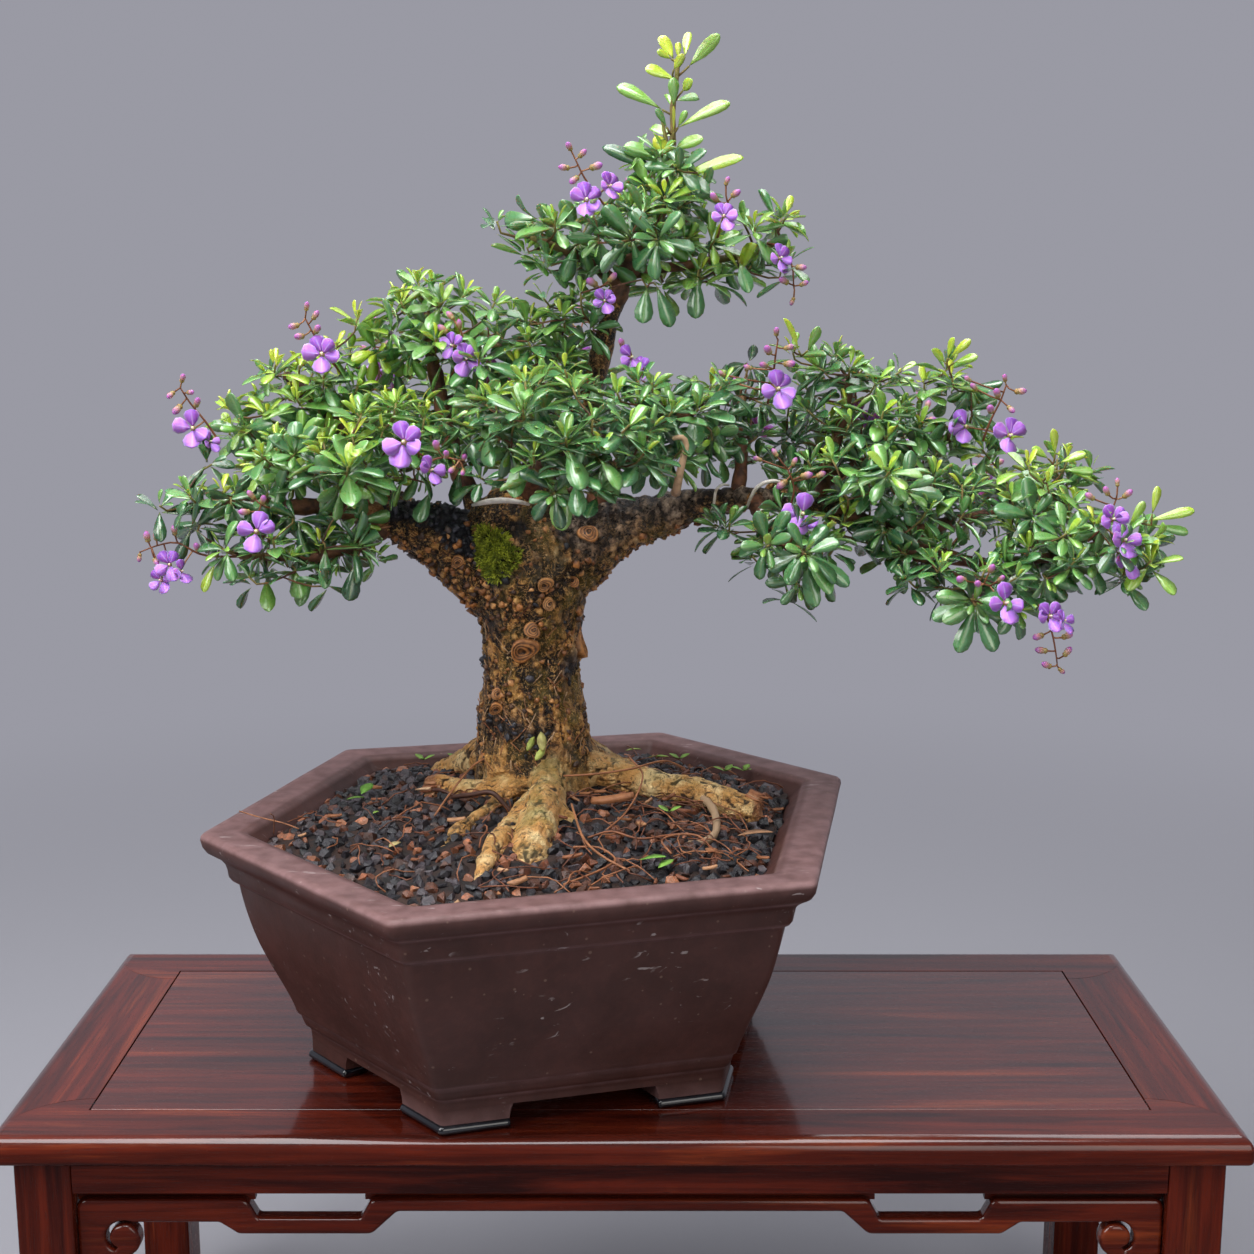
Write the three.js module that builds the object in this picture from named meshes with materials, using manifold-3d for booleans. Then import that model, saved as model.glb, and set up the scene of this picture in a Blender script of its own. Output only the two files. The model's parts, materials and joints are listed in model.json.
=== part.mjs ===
// A flowering desmodium bonsai in a hexagonal clay pot, on its rosewood display stand.
// Millimetres, +Z up, +X to the right of the front view, the front faces -Y.
// The origin is on the floor, under the middle of the stand.
import * as THREE from "three";
import { mergeVertices } from "three/addons/utils/BufferGeometryUtils.js";
import Module from "manifold-3d";

const wasm = await Module();
wasm.setup();

// Driving dimensions.
const GAP = 0.3; // between two pieces that touch
const STAND = { width: 532, depth: 220, height: 190 };
const TOP = { thickness: 12, longRail: 29, endRail: 36, tongue: 40, panelThickness: 9, groove: 0.6 };
const LEG = { side: 24, overhang: 10, setBack: 6 };
const APRON = { height: 15, thickness: 12 };
const SPANDREL = { thickness: 8.5, setBack: 3.5, drop: 44 };
const POT = { height: 111, turn: 12.4, x: -36, y: 0 };
const FOOT = { wing: 29, bracket: 8, wall: 13, height: 11, padHeight: 4, padLip: 0.9 };
const DRAIN = { radius: 11, offset: 55, screen: 32, screenThickness: 1 };
const SOIL = { clearance: 0.4, edgeDrop: 6.5, moundX: -6, moundY: 20, moundRise: 12 };

// The rim's corners in the pot's own axes, counter-clockwise from the right. The hexagon is a little uneven.
const POT_CORNERS = [[155, 26], [89, 135], [-83, 134], [-156.5, -4.5], [-84, -137], [91.5, -127]];

// Pot outline as [distance in from the rim's outer line, drop below the rim's top].
const POT_OUTSIDE = [
  [1.6, 0], [0, 2.6], [0.6, 6], [3.6, 9.6], [7.6, 12.5], [9.6, 16], [10.6, 20], [14, 23], [14.6, 26.5],
  [16.6, 37], [20, 50], [24.6, 62], [30, 74.5], [34.4, 85], [36, 91], [38.6, 97.5], [40.6, 100],
];
const POT_INSIDE = [[18.5, 0], [24.5, 6], [28, 12], [29, 25], [32, 50], [40, 75], [48, 90]];

const TOP_Z = STAND.height;
const RIM_Z = TOP_Z + POT.height;
const UNDER_TOP_Z = TOP_Z - TOP.thickness;
const UNDER_APRON_Z = UNDER_TOP_Z - APRON.height;

// The wood of the tree: each line of [x, y, z, radius] is one trunk, limb or root.
const TRUNK = [
  [-41, 34, 284, 32], [-41, 34, 301, 31], [-41.5, 34, 318, 29.5], [-42.5, 34, 340, 26], [-42.5, 34, 363, 23.5],
  [-42, 34, 382, 24], [-43, 34, 398, 27.5], [-45, 33, 414, 28.5], [-48, 32, 430, 22],
];
const STUMP = [[-49, 32, 404, 22], [-53, 29, 424, 19], [-54, 27, 441, 16]];
const LIMBS = {
  leftLimb: [
    [-52, 34, 398, 20], [-71, 32, 416, 18], [-88, 28, 427, 14.5], [-103, 24, 433, 9.5], [-115, 18, 436, 5.8],
    [-133, 12, 441, 4.6], [-155, 6, 442, 4], [-174, 0, 445, 3.2], [-190, -6, 444, 2.2],
  ],
  leftLower: [[-106, 23, 432, 4.5], [-123, 6, 423, 3.2], [-144, -6, 421, 2.7], [-170, -12, 422, 2]],
  leftUpper: [
    [-92, 30, 428, 7], [-111, 34, 447, 5.2], [-127, 38, 470, 4.2], [-143, 40, 488, 3.2], [-157, 42, 500, 2.2],
  ],
  leftRear: [[-88, 34, 426, 7], [-112, 60, 439, 4.8], [-138, 78, 452, 3.4], [-162, 86, 460, 2.4]],
  leftCrown: [[-64, 38, 428, 8], [-78, 42, 460, 5.7], [-85, 44, 488, 4.2], [-89, 44, 512, 3], [-90, 44, 528, 2]],
  front: [[-46, 14, 428, 7], [-40, -15, 450, 4.9], [-31, -38, 468, 3.6], [-20, -54, 476, 2.4]],
  centreRear: [[-40, 46, 422, 8], [-38, 68, 450, 5.9], [-45, 82, 478, 4.2], [-56, 88, 498, 2.6]],
  leader: [
    [-38, 42, 418, 12], [-29, 46, 450, 8.5], [-19, 44, 479, 6.4], [-11, 40, 502, 5.3], [-6, 38, 523, 4.7],
    [0, 36, 540, 4.2], [6, 36, 555, 3.3], [13, 36, 569, 2.6], [18, 36, 586, 2.2], [23, 36, 606, 1.9],
    [26, 36, 624, 1.6], [28, 36, 638, 1.4],
  ],
  apexLeft: [[-1, 36, 541, 3], [-14, 30, 551, 2.2], [-27, 22, 557, 1.8], [-40, 16, 562, 1.5]],
  apexRight: [[2, 37, 546, 3], [22, 42, 549, 2.4], [42, 44, 552, 2], [62, 44, 556, 1.6], [74, 42, 562, 1.5]],
  apexRear: [[8, 40, 556, 2.8], [14, 60, 568, 2], [20, 78, 574, 1.5]],
  rightLimb: [
    [-30, 34, 410, 20], [-11, 34, 424, 16.6], [2, 33, 430, 13.8], [17, 31, 434.5, 11.4], [32, 28, 439.5, 8.8],
    [46, 24, 443, 6.9], [62, 20, 444, 5.4], [83, 16, 443, 4.9], [105, 12, 437, 4.5], [128, 8, 428, 4.1],
    [150, 4, 419, 3.4], [172, 0, 416, 2.8], [193, -6, 420, 2.4], [213, -10, 427, 1.9],
  ],
  rightUpper: [[76, 18, 445, 5], [97, 26, 453, 3.8], [121, 34, 461, 3.3], [146, 40, 468, 2.6], [165, 44, 473, 2]],
  rightRear: [[70, 22, 446, 5], [92, 50, 450, 3.8], [120, 72, 452, 3], [150, 80, 446, 2.4], [172, 80, 440, 2]],
  rightRiser: [[54, 22, 446, 4.6], [56, 26, 464, 3.4], [54, 30, 478, 2.8], [57, 33, 490, 2]],
  rightCrown: [[90, 18, 443, 4.6], [100, 30, 470, 3.3], [105, 36, 486, 2.4], [107, 38, 498, 2]],
  rightOuter: [[126, 8, 428, 3.8], [158, 22, 434, 3], [187, 30, 440, 2.6], [207, 31, 446, 2]],
  rightLow: [[117, 10, 432, 3.8], [138, -12, 419, 2.4], [156, -25, 411, 1.9]],
  rightFrontLow: [[62, 16, 443, 5], [67, -4, 434, 2.9], [74, -18, 427, 2]],
  centreRight: [[-14, 28, 416, 8], [2, 6, 448, 4.2], [15, -12, 472, 3.2], [29, -18, 484, 2.2]],
};
const ROOTS = {
  front: [
    [-38, 34, 328, 13], [-34, 6, 313, 10.5], [-35, -22, 308, 10.2], [-37, -48, 302, 10.2], [-39, -68, 297, 8.8],
    [-40, -80, 288, 6],
  ],
  toe: [[-40, -8, 305, 7], [-49, -24, 301, 5.4], [-54.5, -55, 298, 4.7], [-58, -84, 295, 3.5], [-59, -93, 290, 2.6]],
  right: [
    [-28, 29, 317, 13], [-12, 28, 312, 9.8], [8, 24, 309, 8.5], [28, 14, 306.5, 8.3], [46, 6, 304, 8],
    [58, 0, 301.5, 7.4], [63, -3, 300, 6.6],
  ],
  left: [[-50, 14, 312, 10], [-58, 10, 308, 6.8], [-71, 12, 307, 6], [-84, 20, 307, 5.8], [-92, 26, 306.5, 5.2]],
  lowerLeft: [[-46, 4, 309, 6.5], [-56, -4, 305, 4.6], [-65, -22, 302.5, 4], [-74, -42, 300, 3.3], [-83, -58, 294, 2.2]],
  small: [[-30, -14, 306, 5.5], [-19, -30, 302, 3.6], [-11, -42, 295, 2.4]],
  drooping: [[37, 8, 305, 3.4], [41, -4, 304, 2.2], [43, -22, 302.5, 2], [42, -38, 300.5, 1.8], [35, -48, 297, 1.6]],
  rearLeft: [[-52, 44, 320, 15], [-74, 60, 308, 9], [-92, 72, 298, 6], [-102, 78, 288, 4]],
  rearRight: [[-28, 46, 318, 14], [-10, 66, 306, 8], [6, 82, 296, 5], [12, 88, 287, 3.5]],
};

// Leaf pads: each is some lobes of [x, y, z, half width, half depth, half height].
const LEAF_PADS = {
  leader_tip: [[28, 36, 634, 9, 9, 14], [25, 36, 615, 12, 11, 12]],
  apex_crown: [
    [22, 36, 589, 19, 20, 15], [14, 34, 569, 24, 26, 16], [26, 60, 578, 17, 20, 17], [9, 10, 567, 16, 16, 13],
    [14, 82, 565, 20, 18, 16],
  ],
  apex_left: [[-32, 20, 564, 16, 16, 11], [-13, 24, 562, 17, 22, 14], [-23, 34, 551, 16, 18, 9]],
  apex_right: [[44, 44, 559, 19, 18, 11], [67, 44, 567, 15, 14, 12], [37, 44, 547, 20, 14, 7]],
  left_crown: [[-88, 44, 529, 19, 20, 16], [-107, 46, 517, 18, 20, 16], [-78, 40, 514, 15, 18, 11]],
  left_upper: [
    [-150, 42, 489, 24, 22, 20], [-129, 44, 498, 21, 22, 17], [-168, 36, 474, 20, 20, 15],
    [-128, 52, 478, 24, 24, 20],
  ],
  left_mid: [[-99, 0, 473, 26, 24, 22], [-120, -14, 463, 20, 20, 18], [-149, 6, 465, 21, 20, 15]],
  left_low: [
    [-167, 2, 446, 21, 20, 12], [-187, -4, 441, 17, 18, 14], [-163, -12, 427, 27, 16, 10],
    [-129, -2, 426, 23, 16, 11],
  ],
  left_rear: [[-134, 80, 461, 31, 22, 21], [-169, 84, 456, 24, 18, 16], [-99, 82, 480, 26, 20, 22]],
  centre_top: [
    [-60, 42, 518, 26, 24, 18], [-35, 40, 510, 26, 24, 20], [-53, 30, 496, 28, 24, 17], [-24, 40, 527, 19, 18, 12],
  ],
  centre_rear: [[-60, 84, 476, 30, 20, 22], [-25, 84, 485, 28, 20, 25], [-40, 80, 459, 24, 20, 18]],
  centre_front: [
    [-25, -40, 491, 26, 26, 20], [-49, -36, 484, 20, 20, 17], [-21, -58, 465, 24, 22, 18],
    [-1, -50, 477, 19, 22, 17],
  ],
  centre_right: [
    [15, -16, 489, 21, 22, 16], [35, -6, 478, 18, 20, 15], [22, -24, 468, 16, 16, 11], [36, 20, 489, 20, 20, 13],
    [58, 34, 486, 17, 20, 15], [53, 34, 468, 16, 18, 11],
  ],
  right_crown: [
    [101, 38, 497, 21, 22, 16], [121, 40, 492, 19, 20, 15], [91, 34, 477, 20, 22, 16], [110, 20, 476, 24, 24, 16],
  ],
  right_upper: [[152, 44, 492, 17, 16, 14], [146, 42, 475, 21, 20, 13], [168, 46, 467, 15, 14, 9]],
  right_mid: [
    [111, -6, 456, 26, 24, 15], [141, 8, 445, 27, 28, 15], [91, 10, 454, 18, 20, 14], [118, 4, 436, 28, 26, 15],
  ],
  right_rear: [[138, 80, 451, 31, 20, 19], [173, 80, 437, 27, 18, 17], [99, 84, 461, 24, 18, 19]],
  right_low_left: [
    [46, -16, 434, 14, 14, 12], [73, -22, 428, 22, 20, 15], [89, -14, 421, 16, 16, 12], [75, -22, 411, 11, 12, 10],
  ],
  right_low: [[143, -26, 416, 24, 20, 15], [165, -28, 407, 20, 18, 13], [137, -8, 422, 20, 18, 12]],
  right_outer: [
    [190, 2, 439, 22, 24, 15], [209, -14, 427, 22, 22, 18], [188, -18, 421, 24, 22, 15],
    [228, -12, 422, 15, 16, 15],
    [207, 30, 453, 18, 16, 12], [187, 34, 447, 19, 18, 12],
  ],
};

// Flower racemes: from where the stalk leaves the leaves to its tip.
const RACEMES = {
  left_low: [[-187, -8, 420], [-218, -14, 423]],
  left_tip: [[-186, 20, 475], [-200, 16, 497]],
  left_crown: [[-127, 30, 514], [-145, 26, 531]],
  centre_left: [[-71, -32, 470], [-93, -42, 478]],
  apex_left: [[-6, 20, 576], [-20, 16, 600]],
  right_inner: [[70, 14, 493], [72, 10, 518]],
  right_upper: [[168, 26, 474], [180, 24, 496]],
  right_hanging: [[182, -34, 402], [193, -38, 379]],
};
const RACEME_RADII = [1.2, 5.5, 6.5, 4.5, 3, 1.2];

const MOSS = [-56, 7, 420, 11, 9, 14];
const TIE = { at: [45, 24.3, 442.8], along: [29, -7.5, 6.5], ring: 9.8, wire: 0.9 };

const COLOURS = {
  rosewood: { color: 0x5a1f12, roughness: 0.25, metalness: 0 },
  clay: { color: 0x4b3330, roughness: 0.6, metalness: 0 },
  padGloss: { color: 0x0b0c10, roughness: 0.12, metalness: 0 },
  mesh: { color: 0x1d1d1d, roughness: 0.6, metalness: 0 },
  soil: { color: 0x1c1513, roughness: 0.9, metalness: 0 },
  bark: { color: 0x6b4a2c, roughness: 0.85, metalness: 0 },
  moss: { color: 0x5f7a1a, roughness: 0.95, metalness: 0 },
  leaf: { color: 0x2f6b2a, roughness: 0.4, metalness: 0 },
  flower: { color: 0x9a62d6, roughness: 0.55, metalness: 0 },
  wire: { color: 0xcfc4b4, roughness: 0.4, metalness: 0.1 },
};

// Solids from three.js geometries, and back.
function solidOf(geometry) {
  const bare = geometry.clone();
  bare.deleteAttribute("normal");
  bare.deleteAttribute("uv");
  const merged = mergeVertices(bare, 1e-4);
  const vertProperties = new Float32Array(merged.attributes.position.array);
  const triVerts = new Uint32Array(merged.index.array);
  return new wasm.Manifold(new wasm.Mesh({ numProp: 3, vertProperties, triVerts }));
}

function geometryOf(solid) {
  const mesh = solid.getMesh();
  const geometry = new THREE.BufferGeometry();
  geometry.setAttribute("position", new THREE.BufferAttribute(mesh.vertProperties, 3));
  geometry.setIndex(new THREE.BufferAttribute(mesh.triVerts, 1));
  return geometry;
}

function joined(solids) {
  return solids.reduce((whole, next) => whole.add(next));
}

function cut(solid, tools) {
  return tools.reduce((rest, tool) => rest.subtract(tool), solid);
}

function largest(solid) {
  return solid.decompose().sort((a, b) => b.volume() - a.volume())[0];
}

function block(x0, x1, y0, y1, z0, z1) {
  const geometry = new THREE.BoxGeometry(x1 - x0, y1 - y0, z1 - z0);
  geometry.translate((x0 + x1) / 2, (y0 + y1) / 2, (z0 + z1) / 2);
  return solidOf(geometry);
}

function upright(shape, z0, z1, curveSegments = 12) {
  const geometry = new THREE.ExtrudeGeometry(shape, { depth: z1 - z0, bevelEnabled: false, curveSegments });
  geometry.translate(0, 0, z0);
  return solidOf(geometry);
}

// A closed skin through rings of points, each ring counter-clockwise as seen from the end of the stack.
function loft(rings) {
  const count = rings[0].length;
  const positions = rings.flat().flatMap((p) => [p.x, p.y, p.z]);
  const centre = (ring) => ring.reduce((sum, p) => sum.add(p), new THREE.Vector3()).divideScalar(count);
  const first = centre(rings[0]);
  const last = centre(rings[rings.length - 1]);
  positions.push(first.x, first.y, first.z, last.x, last.y, last.z);
  const firstIndex = rings.length * count;
  const lastStart = (rings.length - 1) * count;
  const index = [];
  for (let i = 0; i < count; i++) {
    const j = (i + 1) % count;
    for (let r = 0; r + 1 < rings.length; r++) {
      const a = r * count;
      const b = a + count;
      index.push(a + i, a + j, b + i);
      index.push(a + j, b + j, b + i);
    }
    index.push(firstIndex, j, i);
    index.push(firstIndex + 1, lastStart + i, lastStart + j);
  }
  const geometry = new THREE.BufferGeometry();
  geometry.setAttribute("position", new THREE.Float32BufferAttribute(positions, 3));
  geometry.setIndex(index);
  return solidOf(geometry);
}

// The stand.
function mirrored(solid, flipX, flipY) {
  const geometry = geometryOf(solid);
  geometry.scale(flipX ? -1 : 1, flipY ? -1 : 1, 1);
  if (flipX !== flipY) {
    const index = geometry.index.array;
    for (let i = 0; i < index.length; i += 3) [index[i], index[i + 1]] = [index[i + 1], index[i]];
  }
  return solidOf(geometry);
}

// The front rail with the rounded tongues of its curved mitres, grown by `grow` to cut its place.
function longRail(grow) {
  const half = STAND.width / 2;
  const front = -STAND.depth / 2;
  const inner = half - TOP.endRail;
  const shape = new THREE.Shape();
  shape.moveTo(-half, front);
  shape.lineTo(half, front);
  shape.absellipse(inner, front, TOP.endRail, TOP.tongue + grow, 0, Math.PI / 2, false, 0);
  shape.lineTo(inner - grow, front + TOP.tongue + grow);
  shape.lineTo(inner - grow, front + TOP.longRail);
  shape.lineTo(-inner + grow, front + TOP.longRail);
  shape.lineTo(-inner + grow, front + TOP.tongue + grow);
  shape.absellipse(-inner, front, TOP.endRail, TOP.tongue + grow, Math.PI / 2, Math.PI, false, 0);
  return upright(shape, UNDER_TOP_Z - (grow ? 1 : 0), TOP_Z + (grow ? 1 : 0), 10);
}

function endRail() {
  const half = STAND.width / 2;
  const side = STAND.depth / 2;
  const rail = block(half - TOP.endRail, half, -side, side, UNDER_TOP_Z, TOP_Z);
  const seat = longRail(GAP);
  return largest(cut(rail, [seat, mirrored(seat, false, true)]));
}

function panel() {
  const x = STAND.width / 2 - TOP.endRail - TOP.groove;
  const y = STAND.depth / 2 - TOP.longRail - TOP.groove;
  return block(-x, x, -y, y, TOP_Z - TOP.panelThickness, TOP_Z);
}

function batten(x) {
  const y = STAND.depth / 2 - TOP.longRail - 1;
  const z = TOP_Z - TOP.panelThickness - GAP;
  return block(x - 9, x + 9, -y, y, z - 16, z);
}

const LEG_X = STAND.width / 2 - LEG.overhang - LEG.side;
const LEG_Y = STAND.depth / 2 - LEG.setBack - LEG.side;

function leg(x, y) {
  return block(x, x + LEG.side, y, y + LEG.side, 0, UNDER_TOP_Z - GAP);
}

// Openwork spandrel in its own plane: x along the rail, y up, with the rail's underside at y = 0.
function spandrelShape(halfLength, windows) {
  const eye = { x: halfLength - 18.7, y: -23.6, r: 7.7 };
  const bar = -15.2;
  const shape = new THREE.Shape();
  shape.moveTo(-halfLength, 0);
  if (windows) {
    shape.lineTo(-156, 0);
    shape.lineTo(-154, -13.2);
    shape.lineTo(-110.6, -13.2);
    shape.lineTo(-108.6, 0);
    shape.lineTo(108.6, 0);
    shape.lineTo(110.6, -13.2);
    shape.lineTo(154, -13.2);
    shape.lineTo(156, 0);
  }
  shape.lineTo(halfLength, 0);
  shape.lineTo(halfLength, -SPANDREL.drop);
  shape.lineTo(halfLength - 4, -SPANDREL.drop);
  shape.quadraticCurveTo(halfLength - 9, -34, eye.x + 2, eye.y - eye.r);
  shape.absarc(eye.x, eye.y, eye.r, (-Math.PI * 5) / 12, (Math.PI * 7) / 12, true);
  shape.lineTo(eye.x - 3, bar);
  if (windows) {
    shape.lineTo(165.8, bar);
    shape.lineTo(160, -20.6);
    shape.lineTo(108, -20.6);
    shape.lineTo(96.8, -10.2);
    shape.lineTo(-96.8, -10.2);
    shape.lineTo(-108, -20.6);
    shape.lineTo(-160, -20.6);
    shape.lineTo(-165.8, bar);
  }
  shape.lineTo(-eye.x + 3, bar);
  shape.absarc(-eye.x, eye.y, eye.r, (Math.PI * 5) / 12, (-Math.PI * 7) / 12, true);
  shape.quadraticCurveTo(-halfLength + 9, -34, -halfLength + 4, -SPANDREL.drop);
  shape.lineTo(-halfLength, -SPANDREL.drop);
  return shape;
}

function spandrelGeometry(halfLength, windows) {
  const settings = { depth: SPANDREL.thickness, bevelEnabled: false, curveSegments: 8 };
  const geometry = new THREE.ExtrudeGeometry(spandrelShape(halfLength, windows), settings);
  geometry.rotateX(Math.PI / 2);
  return geometry;
}

// The pot, in its own axes: its long diagonal lies roughly along X, and the rim's top is at z = 0.
// The hexagon's corners, moved in by `inset` on every side, counter-clockwise.
function corners(inset) {
  const outline = POT_CORNERS.map(([x, y]) => new THREE.Vector2(x, y));
  return outline.map((corner, i) => {
    const before = outline[(i + 5) % 6].clone().sub(corner).normalize();
    const after = outline[(i + 1) % 6].clone().sub(corner).normalize();
    const reach = inset / Math.abs(before.cross(after));
    return before.add(after).multiplyScalar(reach).add(corner);
  });
}

// A ring round the pot, with its six corners softened by `soft` millimetres.
function potRing(inset, z, soft) {
  const hexagon = corners(inset);
  return hexagon.flatMap((corner, i) => {
    const before = hexagon[(i + 5) % 6].clone().sub(corner).normalize();
    const after = hexagon[(i + 1) % 6].clone().sub(corner).normalize();
    const tip = before.clone().add(after).multiplyScalar(soft * 0.35);
    return [before.multiplyScalar(soft), tip, after.multiplyScalar(soft)].map(
      (step) => new THREE.Vector3(corner.x + step.x, corner.y + step.y, z),
    );
  });
}

function potSkin(profile, soft, top = 0, bottom = 0) {
  const rings = profile.map(([inset, drop]) => potRing(inset, -drop, soft));
  const raised = rings[0].map((p) => new THREE.Vector3(p.x, p.y, p.z + top));
  const lowered = rings[rings.length - 1].map((p) => new THREE.Vector3(p.x, p.y, p.z - bottom));
  const stack = [...(top ? [raised] : []), ...rings, ...(bottom ? [lowered] : [])];
  return loft(stack.reverse());
}

// One L-shaped foot or pad outline at corner i: two wings along the sides and the wall's thickness.
function cornerOutline(i, inset, wing, wall, z) {
  const outer = corners(inset);
  const inner = corners(inset + wall);
  const corner = outer[i];
  const before = outer[(i + 5) % 6].clone().sub(corner).normalize();
  const after = outer[(i + 1) % 6].clone().sub(corner).normalize();
  const inward = (along, turn) => new THREE.Vector2(-along.y * turn, along.x * turn).multiplyScalar(wall);
  const beforeEnd = corner.clone().addScaledVector(before, wing);
  const afterEnd = corner.clone().addScaledVector(after, wing);
  return [
    corner, afterEnd, afterEnd.clone().add(inward(after, 1)), inner[i],
    beforeEnd.clone().add(inward(before, -1)), beforeEnd,
  ].map((p) => new THREE.Vector3(p.x, p.y, z));
}

// The L is not convex, so a foot is two convex wings joined.
function cornerPiece(i, inset, wall, levels) {
  const wings = [[0, 1, 2, 3], [0, 3, 4, 5]].map((pick) =>
    loft(levels.map(([wing, z]) => {
      const outline = cornerOutline(i, inset, wing, wall, z);
      return pick.map((k) => outline[k]);
    })),
  );
  return joined(wings);
}

function pot() {
  const body = potSkin(POT_OUTSIDE, 3.5);
  const bottom = -(POT.height - FOOT.padHeight - GAP);
  const inset = POT_OUTSIDE[POT_OUTSIDE.length - 1][0] + 0.4;
  const wing = FOOT.wing + FOOT.bracket;
  const levels = [[FOOT.wing, bottom], [wing, bottom + FOOT.height], [wing, -95]];
  const feet = [0, 1, 2, 3, 4, 5].map((i) => cornerPiece(i, inset, FOOT.wall, levels));
  const drains = [-1, 1].map((side) => {
    const hole = new THREE.CylinderGeometry(DRAIN.radius, DRAIN.radius, 40, 20);
    hole.rotateX(Math.PI / 2);
    hole.translate(side * DRAIN.offset, 0, -95);
    return solidOf(hole);
  });
  return cut(joined([body, ...feet]), [potSkin(POT_INSIDE, 3, 2), ...drains]);
}

function footPad(i) {
  const inset = POT_OUTSIDE[POT_OUTSIDE.length - 1][0] + 0.4 - FOOT.padLip;
  const wall = FOOT.wall + 2 * FOOT.padLip;
  const wing = FOOT.wing + FOOT.padLip;
  return cornerPiece(i, inset, wall, [[wing, -POT.height + GAP], [wing, -POT.height + FOOT.padHeight]]);
}

const FLOOR_DROP = POT_INSIDE[POT_INSIDE.length - 1][1];

function drainScreen(side, grow = 0) {
  const half = DRAIN.screen / 2 + grow;
  const z = -FLOOR_DROP + GAP;
  const x = side * DRAIN.offset;
  return block(x - half, x + half, -half, half, z - grow * 4, z + DRAIN.screenThickness + grow);
}

// The soil fills the cavity and rises to a low mound round the trunk.
function soil(wood) {
  const below = POT_INSIDE.filter(([, drop]) => drop > SOIL.edgeDrop).reverse();
  const rings = below.map(([inset, drop], i) => {
    return potRing(inset + SOIL.clearance, i ? -drop : SOIL.clearance - drop, 3);
  });
  const edge = potRing(25 + SOIL.clearance, -SOIL.edgeDrop, 3);
  const mound = [1, 0.82, 0.6, 0.38, 0.16].map((share) => edge.map((p) => new THREE.Vector3(
    SOIL.moundX + (p.x - SOIL.moundX) * share,
    SOIL.moundY + (p.y - SOIL.moundY) * share,
    -SOIL.edgeDrop + SOIL.moundRise * (1 - share * share),
  )));
  const heap = loft([...rings, ...mound]);
  return cut(heap, [drainScreen(-1, GAP), drainScreen(1, GAP), wood]);
}

function inPotAxes(solid) {
  const geometry = geometryOf(solid);
  geometry.translate(-POT.x, -POT.y, -RIM_Z);
  geometry.rotateZ(THREE.MathUtils.degToRad(-POT.turn));
  return solidOf(geometry);
}

// The tree.
// A round limb through [x, y, z, radius] points, with every radius grown by `grow`.
function limb(points, sides, grow = 0) {
  const places = points.map(([x, y, z]) => new THREE.Vector3(x, y, z));
  const path = new THREE.CatmullRomCurve3(places, false, "centripetal");
  const spans = points.length - 1;
  const steps = spans * (sides > 12 ? 2 : 1);
  const rings = [];
  let across = new THREE.Vector3(0, 1, 0);
  for (let i = 0; i <= steps; i++) {
    const t = i / steps;
    const along = path.getTangent(t);
    const k = Math.min(Math.floor(t * spans), spans - 1);
    const radius = THREE.MathUtils.lerp(points[k][3], points[k + 1][3], t * spans - k) + grow;
    across = across.clone().addScaledVector(along, -across.dot(along)).normalize();
    const side = new THREE.Vector3().crossVectors(along, across);
    const centre = path.getPoint(t);
    rings.push(Array.from({ length: sides }, (_, n) => {
      const angle = (n / sides) * 2 * Math.PI;
      return centre.clone()
        .addScaledVector(across, radius * Math.cos(angle))
        .addScaledVector(side, radius * Math.sin(angle));
    }));
  }
  return loft(rings);
}

function tree(grow = 0) {
  const limbs = Object.values(LIMBS).map((points) => limb(points, points[0][3] > 15 ? 10 : 6, grow));
  const roots = Object.values(ROOTS).map((points) => limb(points, 7, grow));
  return joined([limb(TRUNK, 16, grow), limb(STUMP, 10, grow), ...limbs, ...roots]);
}

// The room that a leaf pad leaves for the wood, with four-sided limbs that hold the round ones.
function treeRoom() {
  const around = (points) => points.map(([x, y, z, radius]) => [x, y, z, radius * 1.42]);
  return joined([limb(TRUNK, 12, 2), ...Object.values(LIMBS).map((points) => limb(around(points), 4, 2 * GAP))]);
}

function lobe([x, y, z, width, depth, height], grow = 0) {
  const geometry = new THREE.DodecahedronGeometry(1.08);
  geometry.scale(width + grow, depth + grow, height + grow);
  geometry.translate(x, y, z);
  return solidOf(geometry);
}

function raceme([from, to], grow = 0) {
  const start = new THREE.Vector3(...from);
  const end = new THREE.Vector3(...to);
  const points = RACEME_RADII.map((radius, i) => {
    const p = start.clone().lerp(end, i / (RACEME_RADII.length - 1));
    return [p.x, p.y, p.z, radius];
  });
  return limb(points, 6, grow);
}

// The wire ring round the right limb.
function branchTie(grow) {
  const ring = new THREE.TorusGeometry(TIE.ring, TIE.wire + grow, 6, 20);
  const along = new THREE.Vector3(...TIE.along).normalize();
  ring.applyQuaternion(new THREE.Quaternion().setFromUnitVectors(new THREE.Vector3(0, 0, 1), along));
  ring.translate(...TIE.at);
  return solidOf(ring);
}

// Scene graph.
const group = new THREE.Group();
const standGroup = new THREE.Group();
const potGroup = new THREE.Group();
const treeGroup = new THREE.Group();
potGroup.position.set(POT.x, POT.y, RIM_Z);
potGroup.rotation.z = THREE.MathUtils.degToRad(POT.turn);
group.add(standGroup, potGroup, treeGroup);

function piece(parent, name, shape, look) {
  const geometry = shape.isBufferGeometry ? shape : geometryOf(shape);
  const mesh = new THREE.Mesh(geometry, new THREE.MeshStandardMaterial(COLOURS[look]));
  mesh.name = name;
  parent.add(mesh);
  return mesh;
}

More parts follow.
